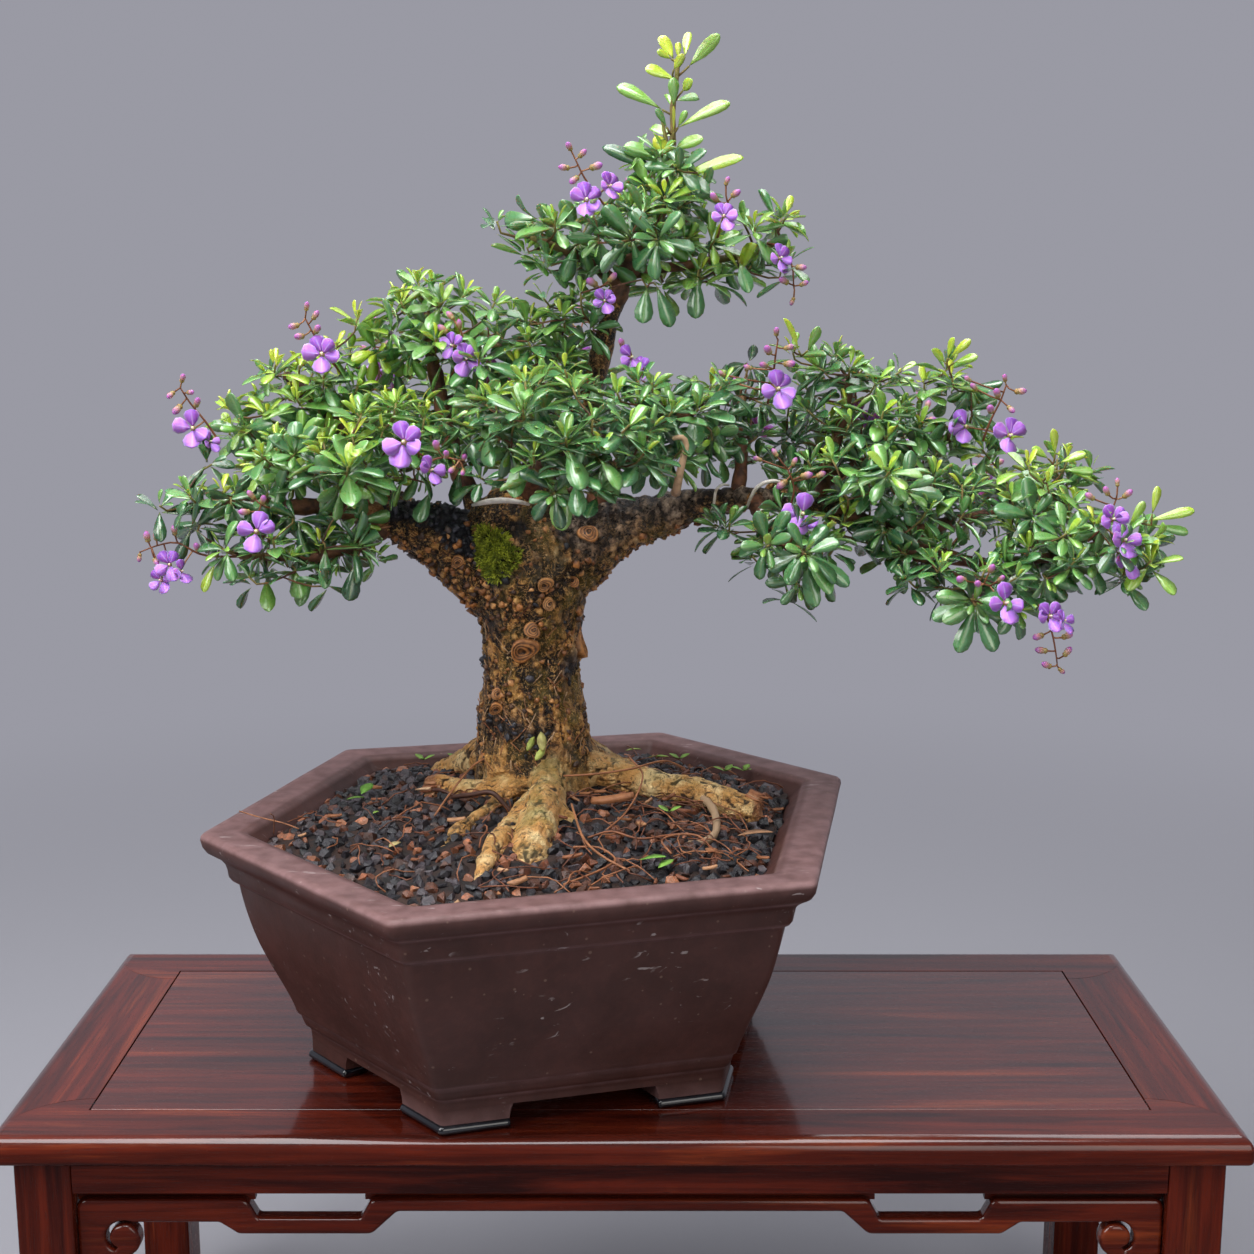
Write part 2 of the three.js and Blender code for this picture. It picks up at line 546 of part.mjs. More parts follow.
piece(standGroup, "top_rail_front", longRail(0), "rosewood");
piece(standGroup, "top_rail_back", mirrored(longRail(0), false, true), "rosewood");
piece(standGroup, "top_rail_right", endRail(), "rosewood");
piece(standGroup, "top_rail_left", mirrored(endRail(), true, false), "rosewood");
piece(standGroup, "top_panel", panel(), "rosewood");
piece(standGroup, "panel_batten_left", batten(-110), "rosewood");
piece(standGroup, "panel_batten_right", batten(110), "rosewood");

for (const [yName, y] of [["front", -LEG_Y - LEG.side], ["back", LEG_Y]]) {
  piece(standGroup, `leg_${yName}_left`, leg(-LEG_X - LEG.side, y), "rosewood");
  piece(standGroup, `leg_${yName}_right`, leg(LEG_X, y), "rosewood");
}

const APRON_TOP = UNDER_TOP_Z - GAP;
const LONG_HALF = LEG_X - GAP;
const SIDE_HALF = LEG_Y - GAP;
for (const [name, out] of [["front", -1], ["back", 1]]) {
  const face = out * (LEG_Y + LEG.side);
  const apron = [face, face - out * APRON.thickness].sort((a, b) => a - b);
  piece(standGroup, `apron_${name}`, block(-LONG_HALF, LONG_HALF, ...apron, UNDER_APRON_Z, APRON_TOP), "rosewood");
  const fret = piece(standGroup, `spandrel_${name}`, spandrelGeometry(LONG_HALF, true), "rosewood");
  fret.position.set(0, face - out * SPANDREL.setBack + (out < 0 ? SPANDREL.thickness : 0), UNDER_APRON_Z - GAP);
}
for (const [name, out] of [["left", -1], ["right", 1]]) {
  const face = out * (LEG_X + LEG.side);
  const apron = [face, face - out * APRON.thickness].sort((a, b) => a - b);
  piece(standGroup, `apron_${name}`, block(...apron, -SIDE_HALF, SIDE_HALF, UNDER_APRON_Z, APRON_TOP), "rosewood");
  const fret = piece(standGroup, `spandrel_${name}`, spandrelGeometry(SIDE_HALF, false), "rosewood");
  fret.rotation.z = Math.PI / 2;
  fret.position.set(face - out * SPANDREL.setBack - (out > 0 ? SPANDREL.thickness : 0), 0, UNDER_APRON_Z - GAP);
}

const wood = tree();
const woodSpace = tree(GAP + 0.1);

piece(potGroup, "pot", pot(), "clay");
const FOOT_NAMES = ["right", "back_right", "back_left", "left", "front_left", "front_right"];
FOOT_NAMES.forEach((name, i) => piece(potGroup, `foot_pad_${name}`, footPad(i), "padGloss"));
piece(potGroup, "drain_screen_left", drainScreen(-1), "mesh");
piece(potGroup, "drain_screen_right", drainScreen(1), "mesh");
piece(potGroup, "soil", largest(soil(inPotAxes(woodSpace))), "soil");

piece(treeGroup, "tree", wood, "bark");
piece(treeGroup, "moss_patch", largest(lobe(MOSS).subtract(woodSpace)), "moss");
piece(treeGroup, "branch_tie", branchTie(0), "wire");

const racemeSpaces = [];
for (const [name, ends] of Object.entries(RACEMES)) {
  racemeSpaces.push(raceme(ends, GAP + 0.1));
  piece(treeGroup, `flower_raceme_${name}`, largest(raceme(ends).subtract(woodSpace)), "flower");
}

// Each pad leaves room for the wood, the racemes and the pads before it.
const taken = [treeRoom(), branchTie(GAP), ...racemeSpaces];
for (const [name, lobes] of Object.entries(LEAF_PADS)) {
  const whole = joined(lobes.map((each) => lobe(each)));
  piece(treeGroup, `leaf_pad_${name}`, largest(cut(whole, taken)), "leaf");
  taken.push(joined(lobes.map((each) => lobe(each, GAP + 0.15))));
}

export default group;
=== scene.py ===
"""A flowering desmodium bonsai in a hexagonal clay pot, on its rosewood display stand.

Sizes and places are millimetres in the frame's axes: +Z up, +X to the right, the front faces -Y.
A mesh is written in metres, with its place in its vertices.
"""

import json
import logging
import math
from collections.abc import Iterable, Sequence
from dataclasses import dataclass, field
from enum import Enum
from random import Random

import bmesh
import bpy
import numpy as np
from mathutils import Matrix, Vector, noise
from mathutils.bvhtree import BVHTree

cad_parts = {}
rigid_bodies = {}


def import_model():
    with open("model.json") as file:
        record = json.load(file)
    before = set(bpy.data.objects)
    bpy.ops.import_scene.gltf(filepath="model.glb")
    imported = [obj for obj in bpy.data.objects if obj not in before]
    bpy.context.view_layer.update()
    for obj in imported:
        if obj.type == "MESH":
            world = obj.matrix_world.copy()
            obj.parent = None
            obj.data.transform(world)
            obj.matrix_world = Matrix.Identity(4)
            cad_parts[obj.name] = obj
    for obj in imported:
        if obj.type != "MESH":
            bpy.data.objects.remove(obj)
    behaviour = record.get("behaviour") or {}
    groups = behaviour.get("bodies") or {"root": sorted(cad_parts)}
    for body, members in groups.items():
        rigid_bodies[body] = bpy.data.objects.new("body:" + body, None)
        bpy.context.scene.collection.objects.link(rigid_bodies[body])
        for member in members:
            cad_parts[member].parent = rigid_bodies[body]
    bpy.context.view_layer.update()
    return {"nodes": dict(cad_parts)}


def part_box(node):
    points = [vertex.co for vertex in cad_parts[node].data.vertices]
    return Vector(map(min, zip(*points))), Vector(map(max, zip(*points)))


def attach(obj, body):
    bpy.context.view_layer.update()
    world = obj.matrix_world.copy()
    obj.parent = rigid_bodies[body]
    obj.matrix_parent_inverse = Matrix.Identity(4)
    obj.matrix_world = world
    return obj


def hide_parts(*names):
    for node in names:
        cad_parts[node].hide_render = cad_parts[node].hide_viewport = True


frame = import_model()

MM = 0.001
BODY = "root"
GOLDEN_ANGLE = math.radians(137.508)
UP = Vector((0.0, 0.0, 1.0))
Colour = tuple[float, float, float]
log = logging.getLogger("bonsai")


# ---- Meshes ----


def smooth_rows(rows: Sequence[Sequence[float]], step: float) -> np.ndarray:
    """Draws a Catmull-Rom curve through rows of numbers whose first three are a place.

    Args:
        rows: At least two rows, such as [x, y, z, radius].
        step: The distance between the new rows.

    Returns:
        The new rows, the first and last of them unchanged.
    """
    given = np.asarray(rows, float)
    fenced = np.vstack([2 * given[0] - given[1], given, 2 * given[-1] - given[-2]])
    spans = []
    for a, b, c, d in zip(fenced, fenced[1:], fenced[2:], fenced[3:]):
        count = max(1, round(float(np.linalg.norm((c - b)[:3])) / step))
        t = np.arange(count)[:, None] / count
        square, cube = 2 * a - 5 * b + 4 * c - d, 3 * b - a - 3 * c + d
        spans.append(0.5 * (2 * b + (c - a) * t + square * t**2 + cube * t**3))
    return np.vstack([*spans, given[-1:]])


def ripple(place: Sequence[float], size: float, seed: float = 0.0) -> float:
    """Returns smooth noise between about -1 and 1 whose lumps are about `size` millimetres wide."""
    return noise.noise(Vector((place[0] / size + seed, place[1] / size - seed, place[2] / size + 0.5 * seed)))


def clamped(value: float, high: float = 1.0) -> float:
    """Returns the value, but not less than 0 nor more than `high`."""
    return min(high, max(0.0, value))


class Shell:
    """The points, faces and point values of a mesh that is being made, in millimetres."""

    def __init__(self) -> None:
        """Starts with nothing."""
        self.points: list[tuple[float, float, float]] = []
        self.faces: list[tuple[int, ...]] = []
        self.values: dict[str, list[float]] = {}

    def add(self, points: Iterable, faces: Iterable, **values: float | Sequence[float]) -> None:
        """Adds points and the faces between them.

        Args:
            points: The places.
            faces: Tuples of indices into those points.
            **values: A number for each point, or one for all of them, by the attribute's name.
        """
        start = len(self.points)
        for name in values:
            self.values.setdefault(name, [0.0] * start)
        self.points.extend((float(p[0]), float(p[1]), float(p[2])) for p in points)
        self.faces.extend(tuple(start + int(i) for i in face) for face in faces)
        count = len(self.points) - start
        for name, column in self.values.items():
            given = values.get(name, 0.0)
            column.extend([given] * count if isinstance(given, (int, float)) else map(float, given))

    def tube(self, rows: np.ndarray, sides: int = 6, blunt: float = 0.4, **values: float | Sequence[float]) -> None:
        """Adds a closed tube along [x, y, z, radius] rows.

        Args:
            rows: The centre line with its radii.
            sides: Points in each ring.
            blunt: How far each end bulges, as a share of its radius.
            **values: One number for the whole tube, or one for each row.
        """
        centres, radii = rows[:, :3], rows[:, 3]
        along = np.gradient(centres, axis=0)
        along /= np.linalg.norm(along, axis=1)[:, None] + 1e-12
        across = np.array([0.0, 1.0, 0.0]) if abs(along[0][1]) < 0.9 else np.array([1.0, 0.0, 0.0])
        angles = np.arange(sides) * 2 * math.pi / sides
        rings = []
        for centre, way, radius in zip(centres, along, radii):
            across = across - way * float(across @ way)
            across /= np.linalg.norm(across) + 1e-12
            side = np.cross(way, across)
            rings.append(centre + radius * (np.cos(angles)[:, None] * across + np.sin(angles)[:, None] * side))
        ends = [centres[:1] - along[:1] * radii[0] * blunt, centres[-1:] + along[-1:] * radii[-1] * blunt]
        points = np.vstack([*rings, *ends])
        last = (len(rows) - 1) * sides
        faces: list[tuple[int, ...]] = []
        for n in range(sides):
            m = (n + 1) % sides
            faces.extend((r + n, r + m, r + sides + m, r + sides + n) for r in range(0, last, sides))
            faces.append((last + sides, m, n))
            faces.append((last + sides + 1, last + n, last + m))
        spread = {
            name: given if isinstance(given, (int, float)) else [*np.repeat(given, sides), given[0], given[-1]]
            for name, given in values.items()
        }
        self.add(points, faces, **spread)

    def rings(self, rings: Sequence[Sequence], close: bool = False, **values: Sequence[float]) -> None:
        """Adds a skin through closed rings of as many points each.

        Args:
            rings: The rings, each counter-clockwise as seen from the end of the stack.
            close: True joins the last ring to the first, and False closes each end with a flat face.
            **values: One number for each ring.
        """
        count = len(rings[0])
        faces: list[tuple[int, ...]] = []
        for r in range(len(rings) if close else len(rings) - 1):
            a, b = r * count, (r + 1) % len(rings) * count
            faces.extend((a + i, a + (i + 1) % count, b + (i + 1) % count, b + i) for i in range(count))
        if not close:
            end = (len(rings) - 1) * count
            faces.append(tuple(range(count))[::-1])
            faces.append(tuple(range(end, end + count)))
        spread = {name: list(np.repeat(given, count)) for name, given in values.items()}
        self.add([p for ring in rings for p in ring], faces, **spread)

    def made(self, name: str, smooth: bool = True) -> bpy.types.Object:
        """Makes the mesh, in metres.

        Args:
            name: The name of the object.
            smooth: Whether its faces are shaded smooth.

        Returns:
            The object, linked to the scene.
        """
        mesh = bpy.data.meshes.new(name)
        mesh.from_pydata((np.asarray(self.points, float).reshape(-1, 3) * MM).tolist(), [], self.faces)
        for key, column in self.values.items():
            mesh.attributes.new(key, "FLOAT", "POINT").data.foreach_set("value", column)
        if self.faces:
            mesh.polygons.foreach_set("use_smooth", [smooth] * len(mesh.polygons))
        mesh.update()
        return linked(name, mesh)


def linked(name: str, data: bpy.types.ID) -> bpy.types.Object:
    """Returns a new object of that mesh, curve, light or camera in the scene."""
    made = bpy.data.objects.new(name, data)
    bpy.context.scene.collection.objects.link(made)
    return made


def from_bmesh(name: str, shape: bmesh.types.BMesh) -> bpy.types.Object:
    """Returns a new object of a shape in metres, which is freed."""
    mesh = bpy.data.meshes.new(name)
    shape.to_mesh(mesh)
    shape.free()
    return linked(name, mesh)


def rebuilt(piece: bpy.types.Object, name: str | None = None) -> bpy.types.Object:
    """Turns a curve or an object with modifiers into a plain mesh.

    Args:
        piece: The object, which is removed.
        name: The new object's name, if it isn't the old one.

    Returns:
        A new object without modifiers.
    """
    name = name or piece.name
    graph = bpy.context.evaluated_depsgraph_get()
    mesh = bpy.data.meshes.new_from_object(
        piece.evaluated_get(graph), preserve_all_data_layers=True, depsgraph=graph
    )
    bpy.data.objects.remove(piece)
    made = linked(name, mesh)
    mesh.name = name
    return made


def shade_smooth(piece: bpy.types.Object, sharp: float) -> None:
    """Shades an object smooth, except over edges of more than that many degrees."""
    piece.data.polygons.foreach_set("use_smooth", [True] * len(piece.data.polygons))
    piece.data.set_sharp_from_angle(angle=math.radians(sharp))


def vertex_rows(piece: bpy.types.Object, key: str) -> np.ndarray:
    """Returns the "co" or the "normal" of each vertex of an object, one row each."""
    flat = np.empty(len(piece.data.vertices) * 3)
    piece.data.vertices.foreach_get(key, flat)
    return flat.reshape(-1, 3)


def places_of(piece: bpy.types.Object) -> np.ndarray:
    """Returns the vertices of an object in millimetres, one row each."""
    return vertex_rows(piece, "co") / MM


def normals_of(piece: bpy.types.Object) -> np.ndarray:
    """Returns the vertex normals of an object, one row each."""
    return vertex_rows(piece, "normal")


def values_of(piece: bpy.types.Object, name: str) -> np.ndarray:
    """Returns the number that each vertex of an object holds under that name."""
    column = np.empty(len(piece.data.vertices))
    piece.data.attributes[name].data.foreach_get("value", column)
    return column


def note_values(piece: bpy.types.Object, **values: Sequence[float]) -> None:
    """Writes a number for each vertex of an object as a named attribute."""
    for name, column in values.items():
        held = piece.data.attributes.get(name) or piece.data.attributes.new(name, "FLOAT", "POINT")
        held.data.foreach_set("value", np.asarray(column, float))


def merged_node(node: str) -> bmesh.types.BMesh:
    """Returns a copy of a CAD node with its loose triangles joined and its flat faces whole."""
    copy = bmesh.new()
    copy.from_mesh(frame["nodes"][node].data)
    bmesh.ops.remove_doubles(copy, verts=copy.verts, dist=2e-6)
    bmesh.ops.dissolve_limit(copy, angle_limit=math.radians(1), verts=copy.verts, edges=copy.edges)
    return copy


def tree_of(node: str) -> BVHTree:
    """Returns a search tree of a CAD node, in metres."""
    copy = merged_node(node)
    found = BVHTree.FromBMesh(copy)
    copy.free()
    return found


def hand_in(
    piece: bpy.types.Object, slot: str, material: bpy.types.Material | None, *nodes: str
) -> bpy.types.Object:
    """Finishes a piece: its material, the body that it rides on and the nodes it stands for, which are hidden.

    Args:
        piece: The finished mesh, at the origin.
        slot: The record's material slot; not used.
        material: Its material, or None if it has one.
        *nodes: The CAD nodes that it replaces.

    Returns:
        The piece.
    """
    if material is not None:
        piece.data.materials.clear()
        piece.data.materials.append(material)
    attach(piece, BODY)
    if nodes:
        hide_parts(*nodes)
    log.info("%s: %d triangles", piece.name, sum(len(face.vertices) - 2 for face in piece.data.polygons))
    return piece


# ---- Node trees ----


class Writer:
    """Adds nodes to one node tree, fills them in and links them."""

    def __init__(self, tree: bpy.types.NodeTree) -> None:
        """Keeps the tree."""
        self.tree = tree

    def put(self, socket: bpy.types.NodeSocket, value: object) -> None:
        """Links an output to the socket, or sets its value."""
        if isinstance(value, bpy.types.NodeSocket):
            self.tree.links.new(value, socket)
        else:
            socket.default_value = value

    def add(self, kind: str, inputs: dict | None = None, **settings: object) -> bpy.types.Node:
        """Adds a node.

        Args:
            kind: Blender's name of the node type.
            inputs: Values or outputs by the input's name or number.
            **settings: The node's own properties.

        Returns:
            The node.
        """
        made = self.tree.nodes.new(kind)
        for key, value in settings.items():
            setattr(made, key, value)
        for key, value in (inputs or {}).items():
            self.put(made.inputs[key], value)
        return made

    def math(self, operation: str, a: object, b: object = 0.0) -> bpy.types.NodeSocket:
        """Returns the result of one arithmetic step."""
        return self.add("ShaderNodeMath", {0: a, 1: b}, operation=operation).outputs[0]

    def times(self, a: object, b: object) -> bpy.types.NodeSocket:
        """Returns the product of two numbers."""
        return self.math("MULTIPLY", a, b)

    def plus(self, a: object, b: object) -> bpy.types.NodeSocket:
        """Returns the sum of two numbers."""
        return self.math("ADD", a, b)

    def step(self, value: object, low: object, high: object) -> bpy.types.NodeSocket:
        """Returns a number that rises smoothly from 0 to 1 while the value goes from low to high."""
        made = self.add("ShaderNodeMapRange", {0: value, 1: low, 2: high}, interpolation_type="SMOOTHSTEP")
        return made.outputs[0]

    def cloud(
        self, vector: object, scale: object, detail: float, roughness: float = 0.5, distortion: float = 0.0,
    ) -> bpy.types.NodeSocket:
        """Returns a noise between 0 and 1 at a vector."""
        inputs = {
            "Vector": vector, "Scale": scale, "Detail": detail, "Roughness": roughness, "Distortion": distortion
        }
        return self.add("ShaderNodeTexNoise", inputs).outputs["Fac"]

    def end(self, *values: object) -> bpy.types.NodeTree:
        """Links what a group puts out, in the order of its sockets, and returns the group."""
        for socket, value in zip(self.add("NodeGroupOutput").inputs, values):
            self.put(socket, value)
        return self.tree


def new_tree(
    kind: str, name: str, inputs: dict[str, str], outputs: dict[str, str],
) -> tuple[Writer, list[bpy.types.NodeSocket]]:
    """Starts a node group.

    Args:
        kind: "ShaderNodeTree" or "GeometryNodeTree".
        name: The group's name.
        inputs: The type, without "NodeSocket", of each socket that goes in, by its name.
        outputs: The same for what comes out.

    Returns:
        Its writer and what goes in, to link from.
    """
    tree = bpy.data.node_groups.new(name, kind)
    for way, sockets in (("INPUT", inputs), ("OUTPUT", outputs)):
        for socket_name, socket_type in sockets.items():
            tree.interface.new_socket(socket_name, in_out=way, socket_type="NodeSocket" + socket_type)
    writer = Writer(tree)
    return writer, list(writer.add("NodeGroupInput").outputs)[:len(inputs)]


class Groups:
    """Node groups that are each made once, when their name is first asked for."""

    _made: dict[str, bpy.types.NodeTree] = {}

    @classmethod
    def get(cls, name: str) -> bpy.types.NodeTree:
        """Returns the group of that name."""
        if name not in Groups._made:
            Groups._made[name] = getattr(cls, "_" + name)()
        return Groups._made[name]


class Effects(Groups):
    """The patterns that several materials share."""

    @staticmethod
    def _start(name: str, inputs: Sequence[str], *outputs: str) -> tuple[Writer, list[bpy.types.NodeSocket]]:
        """Starts a group that takes a vector and numbers, and puts out numbers."""
        numbers = dict.fromkeys(inputs, "Float")
        return new_tree("ShaderNodeTree", name, {"Vector": "Vector", **numbers}, dict.fromkeys(outputs, "Float"))

    @classmethod
    def _grain(cls) -> bpy.types.NodeTree:
        """Long streaks and short dark pores along X, from a vector already turned to the grain."""
        w, (vector, along, across) = cls._start("grain", ("Along", "Across"), "Streaks", "Pores")
        scale = w.add("ShaderNodeCombineXYZ", {0: along, 1: across, 2: across}).outputs[0]
        place = w.add("ShaderNodeVectorMath", {0: vector, 1: scale}, operation="MULTIPLY").outputs[0]
        return w.end(w.cloud(place, 1.0, 6.0, 0.62, 0.5), w.step(w.cloud(place, 5.5, 3.0, 0.6), 0.56, 0.72))

    @classmethod
    def _mottle(cls) -> bpy.types.NodeTree:
        """Soft-edged patches between 0 and 1."""
        w, (vector, scale, cover, softness) = cls._start("mottle", ("Scale", "Cover", "Softness"), "Mask")
        middle = w.math("SUBTRACT", 1.0, cover)
        low, high = w.math("SUBTRACT", middle, softness), w.plus(middle, softness)
        return w.end(w.step(w.cloud(vector, scale, 5.0, 0.6), low, high))

    @classmethod
    def _specks(cls) -> bpy.types.NodeTree:
        """Small separate specks between 0 and 1."""
        w, (vector, scale, size) = cls._start("specks", ("Scale", "Size"), "Mask")
        cells = w.add("ShaderNodeTexVoronoi", {"Vector": vector, "Scale": scale})
        tone = w.add("ShaderNodeSeparateColor", {0: cells.outputs["Color"]}).outputs[0]
        rim = w.times(size, tone)
        return w.end(
            w.add("ShaderNodeMapRange", {0: cells.outputs["Distance"], 1: rim, 2: w.times(rim, 0.6)}).outputs[0]
        )

    @classmethod
    def _relief(cls) -> bpy.types.NodeTree:
        """A rough surface's height between 0 and 1."""
        w, (vector, scale, grit) = cls._start("relief", ("Scale", "Grit"), "Height")
        fine = w.cloud(vector, w.times(scale, 7.0), 2.0)
        return w.end(w.plus(w.cloud(vector, scale, 6.0, 0.65), w.times(fine, grit)))


class Paint(Writer):
    """One procedural material, from its coordinates to its Principled shader."""

    def __init__(self, name: str) -> None:
        """Starts the material with its Object coordinates."""
        self.material = bpy.data.materials.new(name)
        self.material.use_nodes = True
        self.material.node_tree.nodes.clear()
        super().__init__(self.material.node_tree)
        self.place = self.add("ShaderNodeTexCoord").outputs["Object"]

    def turned(self, rotation: Colour, scale: Colour = (1.0, 1.0, 1.0)) -> bpy.types.NodeSocket:
        """Returns the coordinates turned and stretched."""
        return self.add(
            "ShaderNodeMapping", {"Vector": self.place, "Rotation": rotation, "Scale": scale}
        ).outputs[0]

    def axis(self, vector: object, number: int) -> bpy.types.NodeSocket:
        """Returns one of a vector's three numbers."""
        return self.add("ShaderNodeSeparateXYZ", {0: vector}).outputs[number]

    def effect(self, name: str, output: str | None = None, **inputs: object) -> bpy.types.NodeSocket:
        """Returns an output of a shared effect, with the first letters of the inputs' names in capitals."""
        made = self.add("ShaderNodeGroup", node_tree=Effects.get(name))
        self.put(made.inputs["Vector"], inputs.pop("vector", self.place))
        for key, value in inputs.items():
            self.put(made.inputs[key.capitalize()], value)
        return made.outputs[output or 0]

    def mottle(self, scale: float, cover: float, softness: float) -> bpy.types.NodeSocket:
        """Returns the patches of the mottle effect."""
        return self.effect("mottle", scale=scale, cover=cover, softness=softness)

    def relief(self, scale: float, grit: float) -> bpy.types.NodeSocket:
        """Returns the height of the relief effect."""
        return self.effect("relief", scale=scale, grit=grit)

    def noise(
        self, scale: float, detail: float = 3.0, vector: object = None, distortion: float = 0.0,
    ) -> bpy.types.NodeSocket:
        """Returns a noise between 0 and 1, on the Object coordinates unless it gets others."""
        return self.cloud(vector or self.place, scale, detail, distortion=distortion)

    def named(self, name: str) -> bpy.types.NodeSocket:
        """Returns the number that the mesh holds under that name."""
        return self.add("ShaderNodeAttribute", attribute_name=name).outputs["Fac"]

    def ramp(self, value: object, *stops: tuple[float, object]) -> bpy.types.NodeSocket:
        """Returns a colour or grey picked along stops.

        Args:
            value: The number to look up.
            *stops: Positions with a grey or a linear colour.

        Returns:
            The colour output.
        """
        made = self.add("ShaderNodeValToRGB", {0: value})
        band = made.color_ramp.elements
        while len(band) < len(stops):
            band.new(0.5)
        for element, (position, shade) in zip(band, stops):
            element.position = position
            element.color = (*shade, 1.0) if isinstance(shade, tuple) else (shade, shade, shade, 1.0)
        return made.outputs[0]

    def mix(self, share: object, a: object, b: object, blend: str = "MIX") -> bpy.types.NodeSocket:
        """Returns colour a with that share of colour b."""
        a, b = ((*c, 1.0) if isinstance(c, tuple) else c for c in (a, b))
        made = self.add("ShaderNodeMix", {0: share, 6: a, 7: b}, data_type="RGBA", blend_type=blend)
        return made.outputs[2]

    def over(self, colour: object, mask: object, share: object, tint: object) -> bpy.types.NodeSocket:
        """Returns a colour with another laid over it where the mask is, at that share."""
        return self.mix(self.times(mask, share), colour, tint)

    def tinted(self, colour: object, factors: Colour) -> bpy.types.NodeSocket:
        """Returns a colour with its red, green and blue each made brighter or darker."""
        return self.mix(1.0, colour, factors, "MULTIPLY")

    def bump(self, height: object, depth: float) -> bpy.types.NodeSocket:
        """Returns a normal for a height of `depth` millimetres."""
        return self.add("ShaderNodeBump", {"Height": height, "Distance": depth * MM, "Strength": 1.0}).outputs[0]

    def done(
        self, colour: object, roughness: object, normal: object = None, **constants: float
    ) -> bpy.types.Material:
        """Adds the shader.

        Args:
            colour: The base colour's output.
            roughness: An output or a number.
            normal: The normal's output, if any.
            **constants: Other sockets, their names in small letters with underscores.

        Returns:
            The material.
        """
        shader = self.add("ShaderNodeBsdfPrincipled", {"Base Color": colour, "Roughness": roughness})
        if normal is not None:
            self.put(shader.inputs["Normal"], normal)
        for key, value in constants.items():
            self.put(shader.inputs[key.replace("_", " ").title().replace("Ior", "IOR")], value)
        self.add("ShaderNodeOutputMaterial", {"Surface": shader.outputs[0]})
        return self.material


# ---- Geometry Nodes ----


class GrowthTrees(Groups):
    """The Geometry Nodes trees that put many copies of small shapes in place."""

    @staticmethod
    def _copies(w: Writer, shapes: bpy.types.NodeSocket, **inputs: object) -> bpy.types.NodeSocket:
        """Puts a shape of the collection on each point.

        Args:
            w: The tree's writer.
            shapes: The collection's socket.
            **inputs: The points, instance_index, rotation and scale.

        Returns:
            The copies.
        """
        held = w.add(
            "GeometryNodeCollectionInfo", {"Collection": shapes, "Separate Children": True, "Reset Children": True}
        )
        named = {key.replace("_", " ").title(): value for key, value in inputs.items()}
        picked = {"Instance": held.outputs[0], "Pick Instance": True, **named}
        return w.add("GeometryNodeInstanceOnPoints", picked).outputs[0]

    @staticmethod
    def _dressed(w: Writer, copies: bpy.types.NodeSocket, finish: bpy.types.NodeSocket) -> bpy.types.NodeTree:
        """Ends a tree: its copies become meshes of their own, in their finish."""
        real = w.add("GeometryNodeRealizeInstances", {0: copies}).outputs[0]
        return w.end(w.add("GeometryNodeSetMaterial", {"Geometry": real, "Material": finish}).outputs[0])

    @classmethod
    def _placed(cls) -> bpy.types.NodeTree:
        """Puts one copy on each point, turned, sized and chosen by the point's own values."""
        inputs = {"Geometry": "Geometry", "Shapes": "Collection", "Size": "Float", "Finish": "Material"}
        w, (points, shapes, factor, finish) = new_tree(
            "GeometryNodeTree", "placed_shapes", inputs, {"Geometry": "Geometry"}
        )
        turn, size, kind = (
            w.add("GeometryNodeInputNamedAttribute", {"Name": name}, data_type=held).outputs[0]
            for name, held in (("turn", "FLOAT_VECTOR"), ("size", "FLOAT_VECTOR"), ("kind", "INT"))
        )
        scaled = w.add("ShaderNodeVectorMath", {0: size, 3: factor}, operation="SCALE").outputs[0]
        turned = w.add("FunctionNodeEulerToRotation", {0: turn}).outputs[0]
        copies = cls._copies(w, shapes, points=points, instance_index=kind, rotation=turned, scale=scaled)
        return cls._dressed(w, copies, finish)

    @classmethod
    def _strewn(cls) -> bpy.types.NodeTree:
        """Strews copies over a surface, thicker where its value "cover" is higher."""
        numbers = dict.fromkeys(("Spacing", "Density", "Smallest", "Largest", "Tumble"), "Float")
        inputs = {"Geometry": "Geometry", "Shapes": "Collection", **numbers, "Seed": "Int", "Finish": "Material"}
        w, given = new_tree("GeometryNodeTree", "strewn_shapes", inputs, {"Geometry": "Geometry"})
        surface, shapes, spacing, density, smallest, largest, tumble, seed, finish = given
        cover = w.add("GeometryNodeInputNamedAttribute", {"Name": "cover"}, data_type="FLOAT").outputs[0]
        strewn = w.add("GeometryNodeDistributePointsOnFaces", {
            "Mesh": surface, "Distance Min": spacing, "Density Max": density, "Density Factor": cover, "Seed": seed,
        }, distribute_method="POISSON")

        def chance(offset: float, low: object = 0.0, high: object = 1.0) -> bpy.types.NodeSocket:
            """Returns a random number for each point."""
            picked = {2: low, 3: high, "Seed": w.plus(seed, offset)}
            return w.add("FunctionNodeRandomValue", picked, data_type="FLOAT").outputs[1]

        lean = [w.times(chance(offset, -1.0), tumble) for offset in (1.0, 2.0)]
        spin = w.add("ShaderNodeCombineXYZ", {0: lean[0], 1: lean[1], 2: chance(3.0, 0.0, 2 * math.pi)}).outputs[0]
        local = w.add("FunctionNodeEulerToRotation", {0: spin}).outputs[0]
        ways = {0: strewn.outputs["Rotation"], 1: local}
        copies = cls._copies(
            w, shapes, points=strewn.outputs["Points"], instance_index=w.times(chance(4.0), 1000.0),
            rotation=w.add("FunctionNodeRotateRotation", ways, rotation_space="LOCAL").outputs[0],
            scale=chance(5.0, smallest, largest),
        )
        tone = {"Geometry": copies, "Name": "tone", "Value": chance(6.0)}
        toned = w.add("GeometryNodeStoreNamedAttribute", tone, data_type="FLOAT", domain="INSTANCE").outputs[0]
        return cls._dressed(w, toned, finish)


